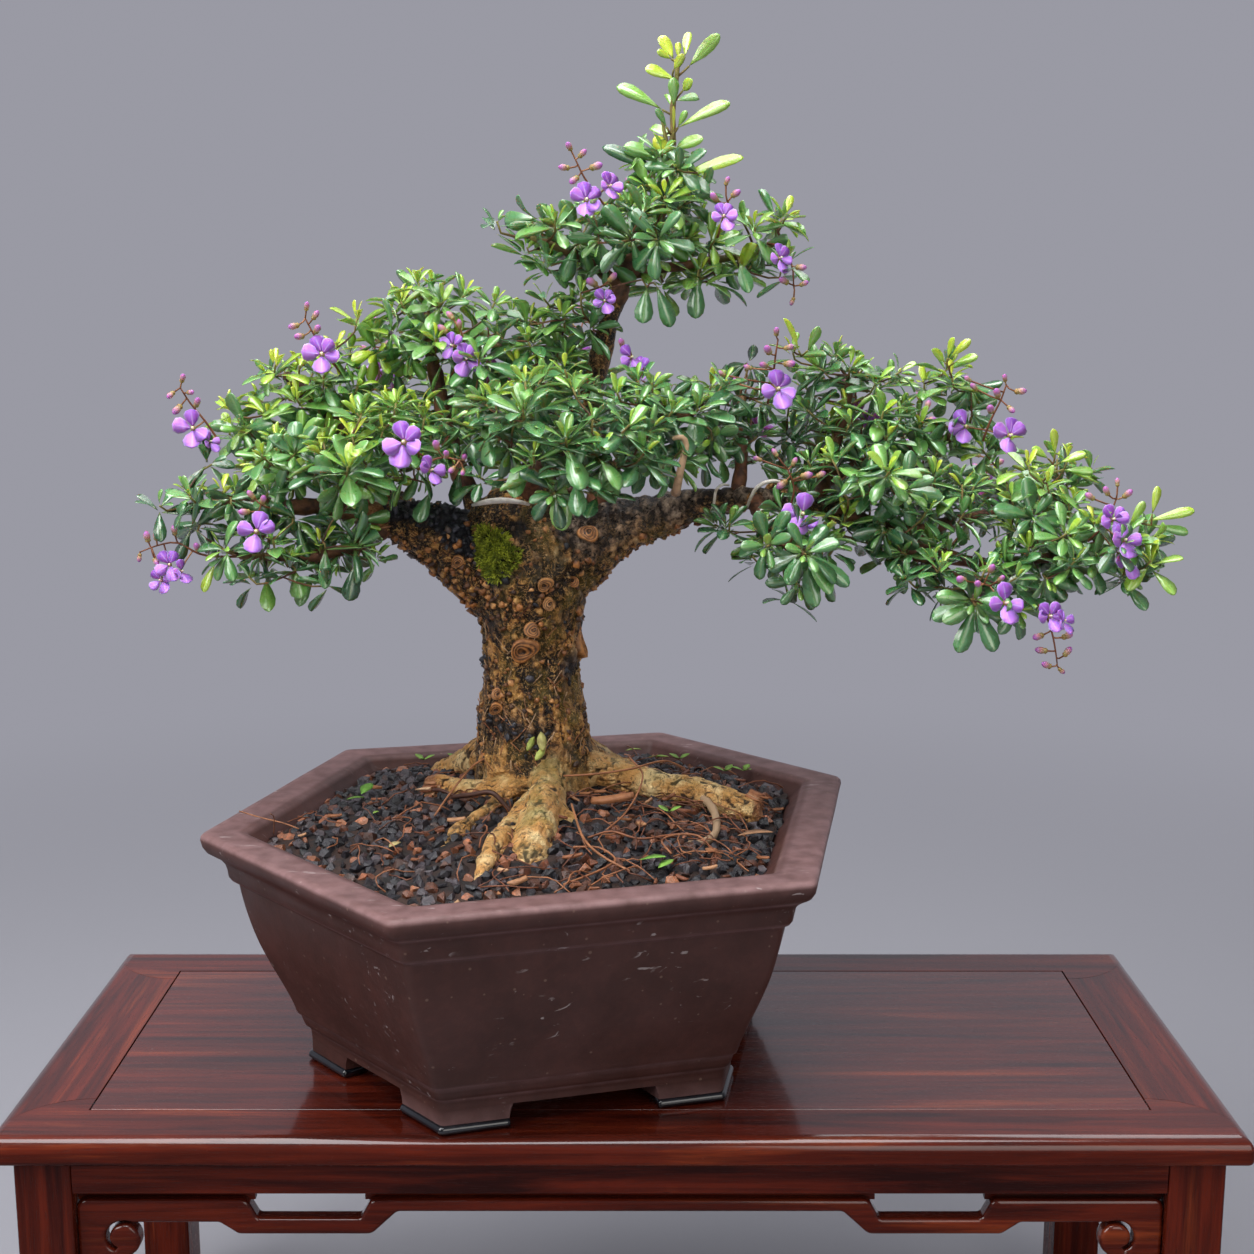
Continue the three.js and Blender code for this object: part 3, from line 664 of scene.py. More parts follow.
def grown(name: str, base: bpy.types.Object, tree: bpy.types.NodeTree, **values: object) -> bpy.types.Object:
    """Runs a growth tree on an object and keeps the result as a plain mesh.

    Args:
        name: The new object's name.
        base: The object that carries the points or the surface, which is removed.
        tree: The growth tree.
        **values: Its inputs, their names in small letters.

    Returns:
        The new object.
    """
    modifier = base.modifiers.new("growth", "NODES")
    modifier.node_group = tree
    for item in tree.interface.items_tree:
        if item.in_out == "INPUT" and item.name.lower() in values:
            modifier[item.identifier] = values[item.name.lower()]
    return rebuilt(base, name)


@dataclass
class Spot:
    """One copy of a small shape: where it is, how it is turned and sized, and its tone."""

    place: Vector
    turn: Matrix
    size: tuple[float, float, float]
    kind: int = 0
    tone: float = 0.5
    shade: float = 0.5


class ShapeSet:
    """Small shapes that are copied many times, one unit in size."""

    def __init__(self, name: str, shells: Sequence[Shell], smooth: bool = True) -> None:
        """Puts each shell in a collection of its own set, outside the scene.

        Args:
            name: The set's name.
            shells: The shapes, in units that the copies' sizes scale to metres.
            smooth: Whether their faces are shaded smooth.
        """
        self.collection = bpy.data.collections.new(name)
        for number, shell in enumerate(shells):
            made = shell.made(f"{name}_{number:02d}", smooth)
            made.data.transform(Matrix.Scale(1 / MM, 4))
            bpy.context.scene.collection.objects.unlink(made)
            self.collection.objects.link(made)

    def copied(self, name: str, spots: Sequence[Spot], material: bpy.types.Material) -> bpy.types.Object:
        """Makes one mesh of a copy at each spot.

        Args:
            name: The object's name.
            spots: The copies, with places and sizes in millimetres.
            material: Their finish.

        Returns:
            The object.
        """
        mesh = bpy.data.meshes.new(name + "_places")
        mesh.from_pydata([tuple(s.place * MM) for s in spots], [], [])
        for key, kind, held, values in (
            ("turn", "FLOAT_VECTOR", "vector", [value for s in spots for value in s.turn.to_euler("XYZ")]),
            ("size", "FLOAT_VECTOR", "vector", [value * MM for s in spots for value in s.size]),
            ("kind", "INT", "value", [s.kind for s in spots]),
            ("tone", "FLOAT", "value", [s.tone for s in spots]),
            ("shade", "FLOAT", "value", [s.shade for s in spots]),
        ):
            mesh.attributes.new(key, kind, "POINT").data.foreach_set(held, values)
        places = linked(name + "_places", mesh)
        return grown(name, places, GrowthTrees.get("placed"), shapes=self.collection, size=1.0, finish=material)

    def dropped(self) -> None:
        """Removes the shapes, once nothing more is made of them."""
        for shape in list(self.collection.objects):
            bpy.data.objects.remove(shape)
        bpy.data.collections.remove(self.collection)


def strewn(
    name: str, bed: bpy.types.Object, shells: Sequence[Shell], material: bpy.types.Material, smooth: bool = True,
    **sizes: float,
) -> bpy.types.Object:
    """Strews small shapes over a surface.

    Args:
        name: The object's name.
        bed: The surface, which is removed, with its value "cover".
        shells: The shapes, one unit in size.
        material: Their finish.
        smooth: Whether their faces are shaded smooth.
        **sizes: spacing, smallest and largest in millimetres, density per square metre, seed and tumble.

    Returns:
        The object.
    """
    for key in ("spacing", "smallest", "largest"):
        sizes[key] *= MM
    shapes = ShapeSet(name + "_shape", shells, smooth)
    made = grown(name, bed, GrowthTrees.get("strewn"), shapes=shapes.collection, finish=material, **sizes)
    shapes.dropped()
    return made


def facing(way: Vector, upper: Vector) -> Matrix:
    """Returns the turn that points Y along `way` and Z as near `upper` as it can."""
    y = way.normalized()
    z = upper - y * upper.dot(y)
    if z.length < 1e-4:
        z = Vector((0.3, 0.2, 1.0)) - y * y.z
    z.normalize()
    x = y.cross(z)
    return Matrix((x, y, z)).transposed()


def blade(widths: Sequence[tuple[float, float]], arch: float, fold: float, thick: float, cup: float = 0.0) -> Shell:
    """Makes a leaf or petal one unit long and wide, as a thin closed body with its base at the origin.

    Args:
        widths: The share of the length with the half width there, between the base and the tip.
        arch: How far the tip curves down.
        fold: How far the edges stand above the middle line.
        thick: The thickness at the middle line.
        cup: How far the middle of the length sinks.

    Returns:
        The shell, with "reach" from base to tip and "side" from middle to edge.
    """
    shell = Shell()
    points, reach, side = [(0.0, 0.0, 0.0)], [0.0], [1.0]
    for t, half in widths:
        z = -arch * t * t - cup * math.sin(math.pi * t)
        edge = z + fold * half * 2
        points += [(-half, t, edge), (half, t, edge), (0.0, t, z + thick), (0.0, t, z - thick * 0.4)]
        reach += [t] * 4
        side += [1.0, 1.0, 0.0, 0.0]
    points.append((0.0, 1.0, -arch + fold * 0.1))
    reach.append(1.0)
    side.append(1.0)
    tip = len(points) - 1
    faces: list[tuple[int, ...]] = [(0, 2, 3), (0, 3, 1), (0, 4, 2), (0, 1, 4)]
    for k in range(len(widths) - 1):
        a, b = 1 + 4 * k, 5 + 4 * k
        faces += [
            (a + 2, a + 1, b + 1, b + 2), (a, a + 2, b + 2, b), (a + 1, a + 3, b + 3, b + 1), (a + 3, a, b, b + 3)
        ]
    end = tip - 4
    faces += [(end + 2, end + 1, tip), (end, end + 2, tip), (end + 1, end + 3, tip), (end + 3, end, tip)]
    shell.add(points, faces, reach=reach, side=side)
    return shell


def lathe(profile: Sequence[tuple[float, float]], sides: int, **values: Sequence[float]) -> Shell:
    """Makes a round body about Y from [distance along, radius] pairs, closed at both ends."""
    shell = Shell()
    rows = np.array([(0.0, y, 0.0, max(r, 1e-3)) for y, r in profile])
    shell.tube(rows, sides, blunt=0.0, **values)
    return shell


def stone(random: Random, flatness: float = 0.75) -> Shell:
    """Makes an angular lump about one unit across from the hull of random points."""
    hull = bmesh.new()
    for _ in range(13):
        way = Vector((random.gauss(0, 1), random.gauss(0, 1), random.gauss(0, 1))).normalized()
        way *= 0.5 * random.uniform(0.85, 1.1)
        hull.verts.new((way.x, way.y * random.uniform(0.8, 1.0), way.z * flatness))
    bmesh.ops.convex_hull(hull, input=hull.verts)
    bmesh.ops.delete(hull, geom=[v for v in hull.verts if not v.link_faces], context="VERTS")
    hull.verts.index_update()
    shell = Shell()
    shell.add([v.co for v in hull.verts], [[v.index for v in f.verts] for f in hull.faces])
    hull.free()
    return shell


# ---- Finishes ----


class Grain(Enum):
    """Which way the grain of a wooden member runs, as the turn that brings it to X."""

    ALONG_X = (0.0, 0.0, 0.0)
    ALONG_Y = (0.0, 0.0, math.pi / 2)
    ALONG_Z = (0.0, math.pi / 2, 0.0)


@dataclass(frozen=True)
class Rosewood:
    """Polished dark red rosewood with orange-brown streaks."""

    grain: Grain
    dark: Colour = (0.020, 0.0030, 0.0020)
    middle: Colour = (0.064, 0.0085, 0.0038)
    streak: Colour = (0.130, 0.024, 0.0075)
    gloss: float = 0.10

    def material(self) -> bpy.types.Material:
        """Returns the finished material."""
        p = Paint(f"rosewood_{self.grain.name.lower()}_{round(self.gloss * 100)}")
        grain = p.turned(self.grain.value)
        streaks = p.effect("grain", "Streaks", vector=grain, along=5.0, across=75.0)
        pores = p.effect("grain", "Pores", vector=grain, along=22.0, across=420.0)
        colour = p.ramp(streaks, (0.34, self.dark), (0.47, self.middle), (0.56, self.middle), (0.68, self.streak))
        fine = p.effect("grain", "Streaks", vector=grain, along=9.0, across=230.0)
        colour = p.mix(p.ramp(fine, (0.48, 0.0), (0.62, 0.70)), colour, p.tinted(colour, (1.9, 1.85, 1.6)))
        colour = p.mix(p.ramp(fine, (0.36, 0.5), (0.46, 0.0)), colour, self.dark)
        colour = p.over(colour, pores, 0.55, self.dark)
        colour = p.over(colour, p.mottle(14.0, 0.5, 0.18), 0.3, p.tinted(colour, (1.6, 1.3, 1.2)))
        rough = p.plus(p.plus(p.times(p.noise(260.0, 4.0), 0.10), 0.20), p.times(pores, 0.12))
        normal = p.bump(p.times(pores, -1.0), 0.05)
        upward = p.ramp(p.axis(p.add("ShaderNodeNewGeometry").outputs["Normal"], 2), (0.12, 0.04), (0.45, 1.0))
        return p.done(colour, rough, normal, coat_weight=upward, coat_roughness=0.10, specular_ior_level=self.gloss)


@dataclass(frozen=True)
class PurpleClay:
    """Unglazed purple-brown clay, scuffed, with paler edges: worn, with a painted highlight along the rim's outer
    edge and painted light on the rim's flat top.
    """

    body: Colour = (0.070, 0.0275, 0.0225)
    shade: Colour = (0.047, 0.018, 0.014)
    worn: Colour = (0.35, 0.212, 0.212)

    def material(self) -> bpy.types.Material:
        """Returns the finished material."""
        p = Paint("purple_clay")
        colour = p.mix(p.mottle(30.0, 0.5, 0.2), self.shade, self.body)
        colour = p.over(colour, p.mottle(210.0, 0.45, 0.12), 0.3, p.tinted(colour, (1.5, 1.4, 1.35)))
        # Paler lilac on the marked edges and on the rim's flat top: partly wear, partly a painted highlight and
        # painted light from above.
        edge = p.times(p.named("worn"), p.ramp(p.noise(120.0, 4.0), (0.3, 0.45), (0.65, 1.0)))
        colour = p.over(colour, edge, 0.75, self.worn)
        scratch_place = p.turned((0.3, 0.5, 0.9), (60.0, 420.0, 300.0))
        scratches = p.ramp(p.noise(1.0, 3.0, scratch_place, 0.8), (0.655, 0.0), (0.69, 1.0))
        scuffs = p.times(p.times(scratches, p.mottle(26.0, 0.44, 0.05)), p.named("scuffed"))
        colour = p.over(colour, scuffs, 0.7, (0.42, 0.36, 0.35))
        colour = p.over(colour, p.effect("specks", scale=170.0, size=0.16), 0.35, (0.30, 0.20, 0.15))
        rough = p.ramp(p.noise(75.0, 4.0), (0.3, 0.42), (0.7, 0.56))
        return p.done(colour, rough, p.bump(p.relief(160.0, 0.35), 0.16), specular_ior_level=0.26)


@dataclass(frozen=True)
class GlossPad:
    """Black glossy enamel with faint dust."""

    body: Colour = (0.006, 0.007, 0.010)

    def material(self) -> bpy.types.Material:
        """Returns the finished material."""
        p = Paint("gloss_pad")
        dust = p.mottle(90.0, 0.4, 0.15)
        colour = p.over(self.body, dust, 0.3, (0.03, 0.034, 0.045))
        rough = p.ramp(dust, (0.0, 0.07), (1.0, 0.2))
        return p.done(colour, rough, p.bump(p.noise(140.0), 0.05), coat_weight=0.6, coat_roughness=0.05)


@dataclass(frozen=True)
class DrainMesh:
    """Black plastic mesh over a drain hole."""

    pitch: float = 2.0
    turn: float = -12.4

    def material(self) -> bpy.types.Material:
        """Returns the finished material."""
        p = Paint("drain_mesh")
        turned, waves = p.turned((0.0, 0.0, math.radians(self.turn))), 2 * math.pi / (self.pitch * MM)
        threads = p.math("MAXIMUM", *(p.math("SINE", p.times(p.axis(turned, n), waves)) for n in (0, 1)))
        mask = p.ramp(threads, (0.35, 0.0), (0.55, 1.0))
        colour = p.mix(mask, (0.004, 0.004, 0.004), (0.02, 0.02, 0.021))
        return p.done(colour, 0.5, p.bump(threads, 0.25))


@dataclass(frozen=True)
class SoilBed:
    """The dark damp bed under the granules."""

    def material(self) -> bpy.types.Material:
        """Returns the finished material."""
        p = Paint("soil_bed")
        colour = p.mix(p.mottle(120.0, 0.5, 0.12), (0.004, 0.003, 0.003), (0.030, 0.012, 0.007))
        return p.done(colour, 0.85, p.bump(p.relief(220.0, 0.5), 0.9))


@dataclass(frozen=True)
class Granules:
    """Charcoal-black soil granules, some of them brown or red-brown."""

    def material(self) -> bpy.types.Material:
        """Returns the finished material."""
        p = Paint("granules")
        colour = p.ramp(
            p.named("tone"), (0.0, (0.003, 0.003, 0.005)), (0.45, (0.009, 0.008, 0.012)),
            (0.68, (0.058, 0.047, 0.055)), (0.74, (0.030, 0.012, 0.007)), (0.89, (0.13, 0.042, 0.018)),
            (1.0, (0.34, 0.14, 0.070))
        )
        colour = p.mix(p.mottle(420.0, 0.42, 0.1), colour, p.tinted(colour, (1.9, 1.6, 1.45)))
        rough = p.ramp(p.noise(300.0), (0.3, 0.20), (0.7, 0.55))
        return p.done(colour, rough, p.bump(p.relief(600.0, 0.6), 0.35), specular_ior_level=0.6)


@dataclass(frozen=True)
class Litter:
    """Rootlets, chips and fallen leaves: red-brown to straw to fresh green by tone."""

    def material(self) -> bpy.types.Material:
        """Returns the finished material."""
        p = Paint("litter")
        colour = p.ramp(
            p.named("tone"), (0.0, (0.060, 0.020, 0.010)), (0.25, (0.20, 0.062, 0.024)),
            (0.45, (0.38, 0.16, 0.065)), (0.62, (0.62, 0.42, 0.25)), (0.78, (0.42, 0.50, 0.10)),
            (1.0, (0.14, 0.40, 0.045))
        )
        colour = p.mix(p.mottle(160.0, 0.45, 0.15), colour, p.tinted(colour, (0.55, 0.5, 0.45)))
        return p.done(colour, 0.6, p.bump(p.noise(500.0, 4.0), 0.2))


@dataclass(frozen=True)
class Bark:
    """The tree's bark: warty brown, charred on the left limb, olive with algae, pale at the roots, with painted
    shade in its hollows, a painted highlight on its raised parts, painted glints, and blue-black patches of painted
    shade on the trunk.
    """

    dark: Colour = (0.014, 0.007, 0.004)
    brown: Colour = (0.160, 0.063, 0.014)
    tan: Colour = (0.56, 0.25, 0.055)
    olive: Colour = (0.29, 0.205, 0.024)
    char: Colour = (0.022, 0.024, 0.032)
    grey: Colour = (0.21, 0.15, 0.105)
    cream: Colour = (1.0, 0.75, 0.37)
    root_brown: Colour = (0.72, 0.37, 0.115)

    def material(self) -> bpy.types.Material:
        """Returns the finished material."""
        p = Paint("bark")
        height = p.ramp(p.named("height"), (0.2, 0.0), (0.8, 1.0))
        rough_noise = p.noise(430.0, 6.0, None, 1.2)
        level = p.plus(p.times(height, 0.42), p.times(rough_noise, 0.62))
        # Colour by relief height and noise: near black low in the hollows, orange-tan and a bright top colour on
        # the raised bark. The bark's own tones, with painted shade in the hollows and a painted highlight on the
        # raised parts.
        colour = p.ramp(level, (0.40, self.dark), (0.50, self.brown), (0.60, self.tan), (0.72, (0.92, 0.52, 0.18)))
        olive = p.mix(rough_noise, self.dark, self.olive)
        colour = p.over(colour, p.mottle(70.0, 0.47, 0.1), p.named("olive"), olive)
        curls = p.ramp(p.noise(250.0, 2.0, None, 2.4), (0.43, 0.0), (0.49, 1.0), (0.51, 1.0), (0.57, 0.0))
        colour = p.over(colour, curls, p.ramp(rough_noise, (0.42, 0.0), (0.58, 0.8)), (0.86, 0.50, 0.17))
        # Small bright cream-orange specks: painted glints of the wet bark.
        colour = p.over(colour, p.effect("specks", scale=210.0, size=0.17), 0.8, (0.90, 0.62, 0.30))
        # The grey and the char colours follow the same relief ramp, with the same painted shade and painted
        # highlight.
        grey = p.ramp(level, (0.38, self.dark), (0.53, self.grey), (0.72, (0.52, 0.39, 0.28)))
        colour = p.mix(p.named("grey"), colour, grey)
        char = p.ramp(level, (0.3, (0.006, 0.006, 0.008)), (0.62, self.char), (0.85, (0.12, 0.115, 0.135)))
        colour = p.mix(p.named("char"), colour, char)
        root = p.mix(p.mottle(95.0, 0.44, 0.12), self.root_brown, self.cream)
        root = p.mix(p.ramp(p.noise(300.0, 6.0, None, 0.8), (0.57, 0.0), (0.63, 0.75)), root, (0.17, 0.075, 0.024))
        root = p.mix(p.ramp(p.named("height"), (0.10, 0.95), (0.32, 0.0)), root, (0.030, 0.013, 0.006))
        root = p.over(root, curls, p.ramp(rough_noise, (0.36, 0.8), (0.46, 0.0)), (0.12, 0.052, 0.018))
        root = p.over(root, p.effect("specks", scale=150.0, size=0.26), 0.85, (0.05, 0.026, 0.014))
        green = p.times(p.named("algae"), p.mottle(80.0, 0.52, 0.12))
        root = p.over(root, green, 0.6, (0.24, 0.23, 0.05))
        colour = p.mix(p.named("pale"), colour, root)
        colour = p.mix(p.named("cut"), colour, p.mix(p.noise(420.0, 5.0), (0.13, 0.045, 0.016), (0.56, 0.25, 0.10)))
        rough = p.mix(p.named("pale"), p.ramp(rough_noise, (0.3, 0.24), (0.7, 0.52)), (0.45, 0.45, 0.45))
        folds = p.plus(p.times(rough_noise, 0.8), p.times(curls, 0.35))
        return p.done(colour, rough, p.bump(p.plus(p.relief(430.0, 0.45), folds), 1.3), specular_ior_level=0.5)


@dataclass(frozen=True)
class Twigs:
    """Thin branches: red-brown bark that turns green-tan at the tips."""

    def material(self) -> bpy.types.Material:
        """Returns the finished material."""
        p = Paint("twigs")
        old = p.mix(p.mottle(200.0, 0.5, 0.14), (0.055, 0.022, 0.011), (0.21, 0.082, 0.036))
        young = p.mix(p.noise(150.0), (0.19, 0.11, 0.030), (0.22, 0.26, 0.05))
        colour = p.mix(p.named("young"), old, young)
        return p.done(colour, 0.6, p.bump(p.relief(420.0, 0.4), 0.4))


@dataclass(frozen=True)
class LeafSkin:
    """Glossy leaves, from dark blue-green through mid green to lime by tone."""

    def material(self) -> bpy.types.Material:
        """Returns the finished material."""
        p = Paint("leaf_skin")
        age = p.plus(p.named("tone"), p.times(p.math("SUBTRACT", p.named("shade"), 0.5), 0.16))
        colour = p.ramp(
            age, (0.0, (0.027, 0.112, 0.040)), (0.26, (0.084, 0.275, 0.084)), (0.50, (0.20, 0.47, 0.085)),
            (0.74, (0.44, 0.68, 0.050)), (1.0, (0.72, 0.80, 0.06))
        )
        rib = p.ramp(p.named("side"), (0.0, 1.0), (0.13, 0.25), (0.3, 0.0))
        colour = p.over(colour, rib, 0.45, p.mix(0.6, colour, (0.40, 0.50, 0.16)))
        base = p.ramp(p.named("reach"), (0.0, 1.0), (0.28, 0.0))
        colour = p.over(colour, base, 0.5, (0.33, 0.34, 0.07))
        colour = p.over(colour, p.mottle(330.0, 0.5, 0.2), 0.12, p.tinted(colour, (1.45, 1.3, 1.6)))
        rough = p.ramp(p.noise(170.0, 2.0), (0.3, 0.20), (0.7, 0.36))
        normal = p.bump(p.plus(p.times(rib, -0.6), p.noise(420.0, 2.0)), 0.14)
        return p.done(
            colour, rough, normal, specular_ior_level=1.0, subsurface_weight=0.12, subsurface_scale=0.002,
            coat_weight=1.0, coat_roughness=0.20, coat_ior=1.6,
        )


@dataclass(frozen=True)
class Petals:
    """Petals from deep violet to pale lilac, pink buds, tan calyces and pale flower centres."""

    def material(self) -> bpy.types.Material:
        """Returns the finished material."""
        p = Paint("petals")
        reach, side = p.named("reach"), p.named("side")
        petal = p.mix(p.named("tone"), (0.25, 0.040, 0.50), (0.56, 0.22, 0.84))
        petal = p.mix(p.ramp(reach, (0.0, 0.8), (0.32, 0.0)), petal, (0.24, 0.05, 0.42))
        line = p.times(p.ramp(side, (0.0, 1.0), (0.16, 0.0)), p.ramp(reach, (0.1, 1.0), (0.9, 0.2)))
        petal = p.over(petal, line, 0.55, (0.86, 0.74, 0.97))
        petal = p.mix(p.ramp(side, (0.72, 0.0), (1.0, 0.40)), petal, (0.76, 0.62, 0.97))
        petal = p.over(petal, p.noise(240.0), 0.16, (0.78, 0.56, 0.96))
        bud = p.ramp(
            reach, (0.0, (0.30, 0.19, 0.07)), (0.32, (0.46, 0.27, 0.16)), (0.52, (0.50, 0.26, 0.28)),
            (0.9, (0.42, 0.13, 0.44))
        )
        calyx = p.mix(p.noise(500.0), (0.28, 0.15, 0.045), (0.36, 0.30, 0.10))
        heart = p.ramp(reach, (0.0, (0.50, 0.04, 0.14)), (0.35, (0.88, 0.62, 0.62)), (0.8, (0.95, 0.85, 0.55)))
        organ, colour = p.named("organ"), petal
        for number, part in enumerate((bud, heart, calyx)):
            colour = p.mix(p.math("GREATER_THAN", organ, number + 0.5), colour, part)
        normal = p.bump(p.plus(p.times(line, 0.5), p.noise(420.0)), 0.15)
        return p.done(colour, 0.5, normal, subsurface_weight=0.25, subsurface_scale=0.002)


@dataclass(frozen=True)
class MossGreen:
    """Bright spiky moss, darker at its base."""

    def material(self) -> bpy.types.Material:
        """Returns the finished material."""
        p = Paint("moss_green")
        tip = p.mix(p.named("tone"), (0.16, 0.24, 0.014), (0.66, 0.72, 0.055))
        reach = p.ramp(p.named("reach"), (0.25, 0.0), (1.0, 1.0))
        colour = p.mix(reach, (0.014, 0.021, 0.004), tip)
        colour = p.mix(p.ramp(p.noise(260.0), (0.45, 0.0), (0.62, 0.6)), colour, (0.045, 0.062, 0.008))
        return p.done(colour, 0.8, p.bump(p.noise(900.0), 0.2))


@dataclass(frozen=True)
class PaleWire:
    """Pale plastic-coated tie wire, a little stained."""

    def material(self) -> bpy.types.Material:
        """Returns the finished material."""
        p = Paint("pale_wire")
        colour = p.mix(p.mottle(220.0, 0.4, 0.15), (0.86, 0.80, 0.72), (0.50, 0.40, 0.29))
        return p.done(colour, 0.35, p.bump(p.noise(600.0), 0.1))


@dataclass(frozen=True)
class Backdrop:
    """The plain studio floor, which runs out into the even light of the room."""

    near: Colour = (0.27, 0.27, 0.295)
    far: Colour = (0.322, 0.322, 0.37)

    def material(self) -> bpy.types.Material:
        """Returns the finished material."""
        p = Paint("backdrop")
        reach = p.add("ShaderNodeVectorMath", {0: p.place}, operation="LENGTH").outputs["Value"]
        spread, black = p.step(reach, 0.5, 1.6), (0.0, 0.0, 0.0)
        glow = p.mix(spread, black, self.far)
        colour = p.mix(spread, self.near, black)
        return p.done(colour, 0.9, emission_color=glow, emission_strength=1.0, specular_ior_level=0.0)


# ---- The studio ----


@dataclass
class Studio:
    """Pale floor, soft lights and the camera at the photograph's angle."""

    camera_place: Colour = (0.003, -0.808, 0.539)
    camera_pitch: float = 10.62
    lens: float = 51.67
    background: Colour = (0.322, 0.322, 0.37)
    dimmed: float = 0.7
    front_share: float = 0.35
    dimming_depth: tuple[float, float] = (-0.6, 0.3)
    floor_reach: float = 30000.0

    def build(self) -> None:
        """Makes the floor, the lights, the world and the camera."""
        self._floor()
        self._world()
        self._light("overhead", (-0.25, -0.25, 1.75), (0.0, 0.0, 0.45), 1.3, 38.0, (0.98, 0.98, 1.0))
        self._light("front_fill", (0.9, -1.9, 1.1), (0.0, 0.0, 0.4), 1.4, 14.0, (1.0, 0.96, 0.91))
        self._light("left_key", (-1.5, -0.9, 1.35), (0.0, 0.0, 0.4), 1.1, 22.0, (1.0, 0.98, 0.97))
        self._light("back_glow", (0.8, 1.5, 2.6), (0.0, 0.0, 0.5), 1.2, 16.0, (0.95, 0.97, 1.0))
        self._camera()

    def _floor(self) -> None:
        """Makes a wide flat floor."""
        shell = Shell()
        far = self.floor_reach
        shell.add([(-far, -far, 0), (far, -far, 0), (far, far, 0), (-far, far, 0)], [(0, 1, 2, 3)])
        floor = shell.made("studio_floor")
        floor.data.materials.append(Backdrop().material())

    def _world(self) -> None:
        """Fills the room with even light, dimmer in front and for what it lights."""
        scene = bpy.context.scene
        scene.world = bpy.data.worlds.new("studio")
        scene.world.use_nodes = True
        w = Writer(scene.world.node_tree)
        back = w.tree.nodes["Background"]
        back.inputs["Color"].default_value = (*self.background, 1.0)
        rays = w.add("ShaderNodeLightPath")
        axes = w.add("ShaderNodeSeparateXYZ", {0: w.add("ShaderNodeTexCoord").outputs["Generated"]})
        depth, level = (
            w.add(
                "ShaderNodeMapRange", dict(zip(("Value", "From Min", "From Max", "To Min", "To Max"), values))
            ).outputs[0]
            for values in (
                (axes.outputs["Y"], *self.dimming_depth, self.front_share, 1.0),
                (rays.outputs["Is Diffuse Ray"], 0.0, 1.0, 1.0, self.dimmed),
            )
        )
        w.put(back.inputs["Strength"], w.math("MAXIMUM", w.times(level, depth), rays.outputs["Is Camera Ray"]))
        scene.view_settings.view_transform = "Standard"
        scene.view_settings.look = "None"

    def _light(self, name: str, place: Colour, target: Colour, size: float, watts: float, tint: Colour) -> None:
        """Adds a soft square light that looks at the target."""
        data = bpy.data.lights.new(name, "AREA")
        data.shape, data.size, data.energy, data.color = "SQUARE", size, watts, tint
        lamp = linked(name, data)
        lamp.location = place
        lamp.rotation_euler = (Vector(target) - Vector(place)).to_track_quat("-Z", "Y").to_euler()

    def _camera(self) -> None:
        """Adds the camera."""
        data = bpy.data.cameras.new("camera")
        data.lens, data.sensor_width, data.clip_end = self.lens, 36.0, 50.0
        camera = linked("camera", data)
        camera.location = self.camera_place
        camera.rotation_euler = (math.radians(90 - self.camera_pitch), 0.0, 0.0)
        bpy.context.scene.camera = camera


# ---- The stand ----


def rounded(outline: Sequence[tuple[float, float, float]], steps: int = 5) -> list[tuple[float, float]]:
    """Rounds the corners of a flat outline.

    Args:
        outline: Corners as (x, y, radius).
        steps: Points on each rounded corner.

    Returns:
        The points of the rounded outline.
    """
    found: list[tuple[float, float]] = []
    for n, (x, y, radius) in enumerate(outline):
        corner = Vector((x, y))
        if radius <= 0:
            found.append((x, y))
            continue
        before = Vector(outline[n - 1][:2]) - corner
        after = Vector(outline[(n + 1) % len(outline)][:2]) - corner
        half = max(0.1, before.angle(after) / 2)
        reach = min(radius / math.tan(half), before.length * 0.49, after.length * 0.49)
        a, b = corner + before.normalized() * reach, corner + after.normalized() * reach
        for k in range(steps + 1):
            t = k / steps
            point = a * (1 - t) ** 2 + corner * 2 * t * (1 - t) + b * t**2
            found.append((point.x, point.y))
    return found


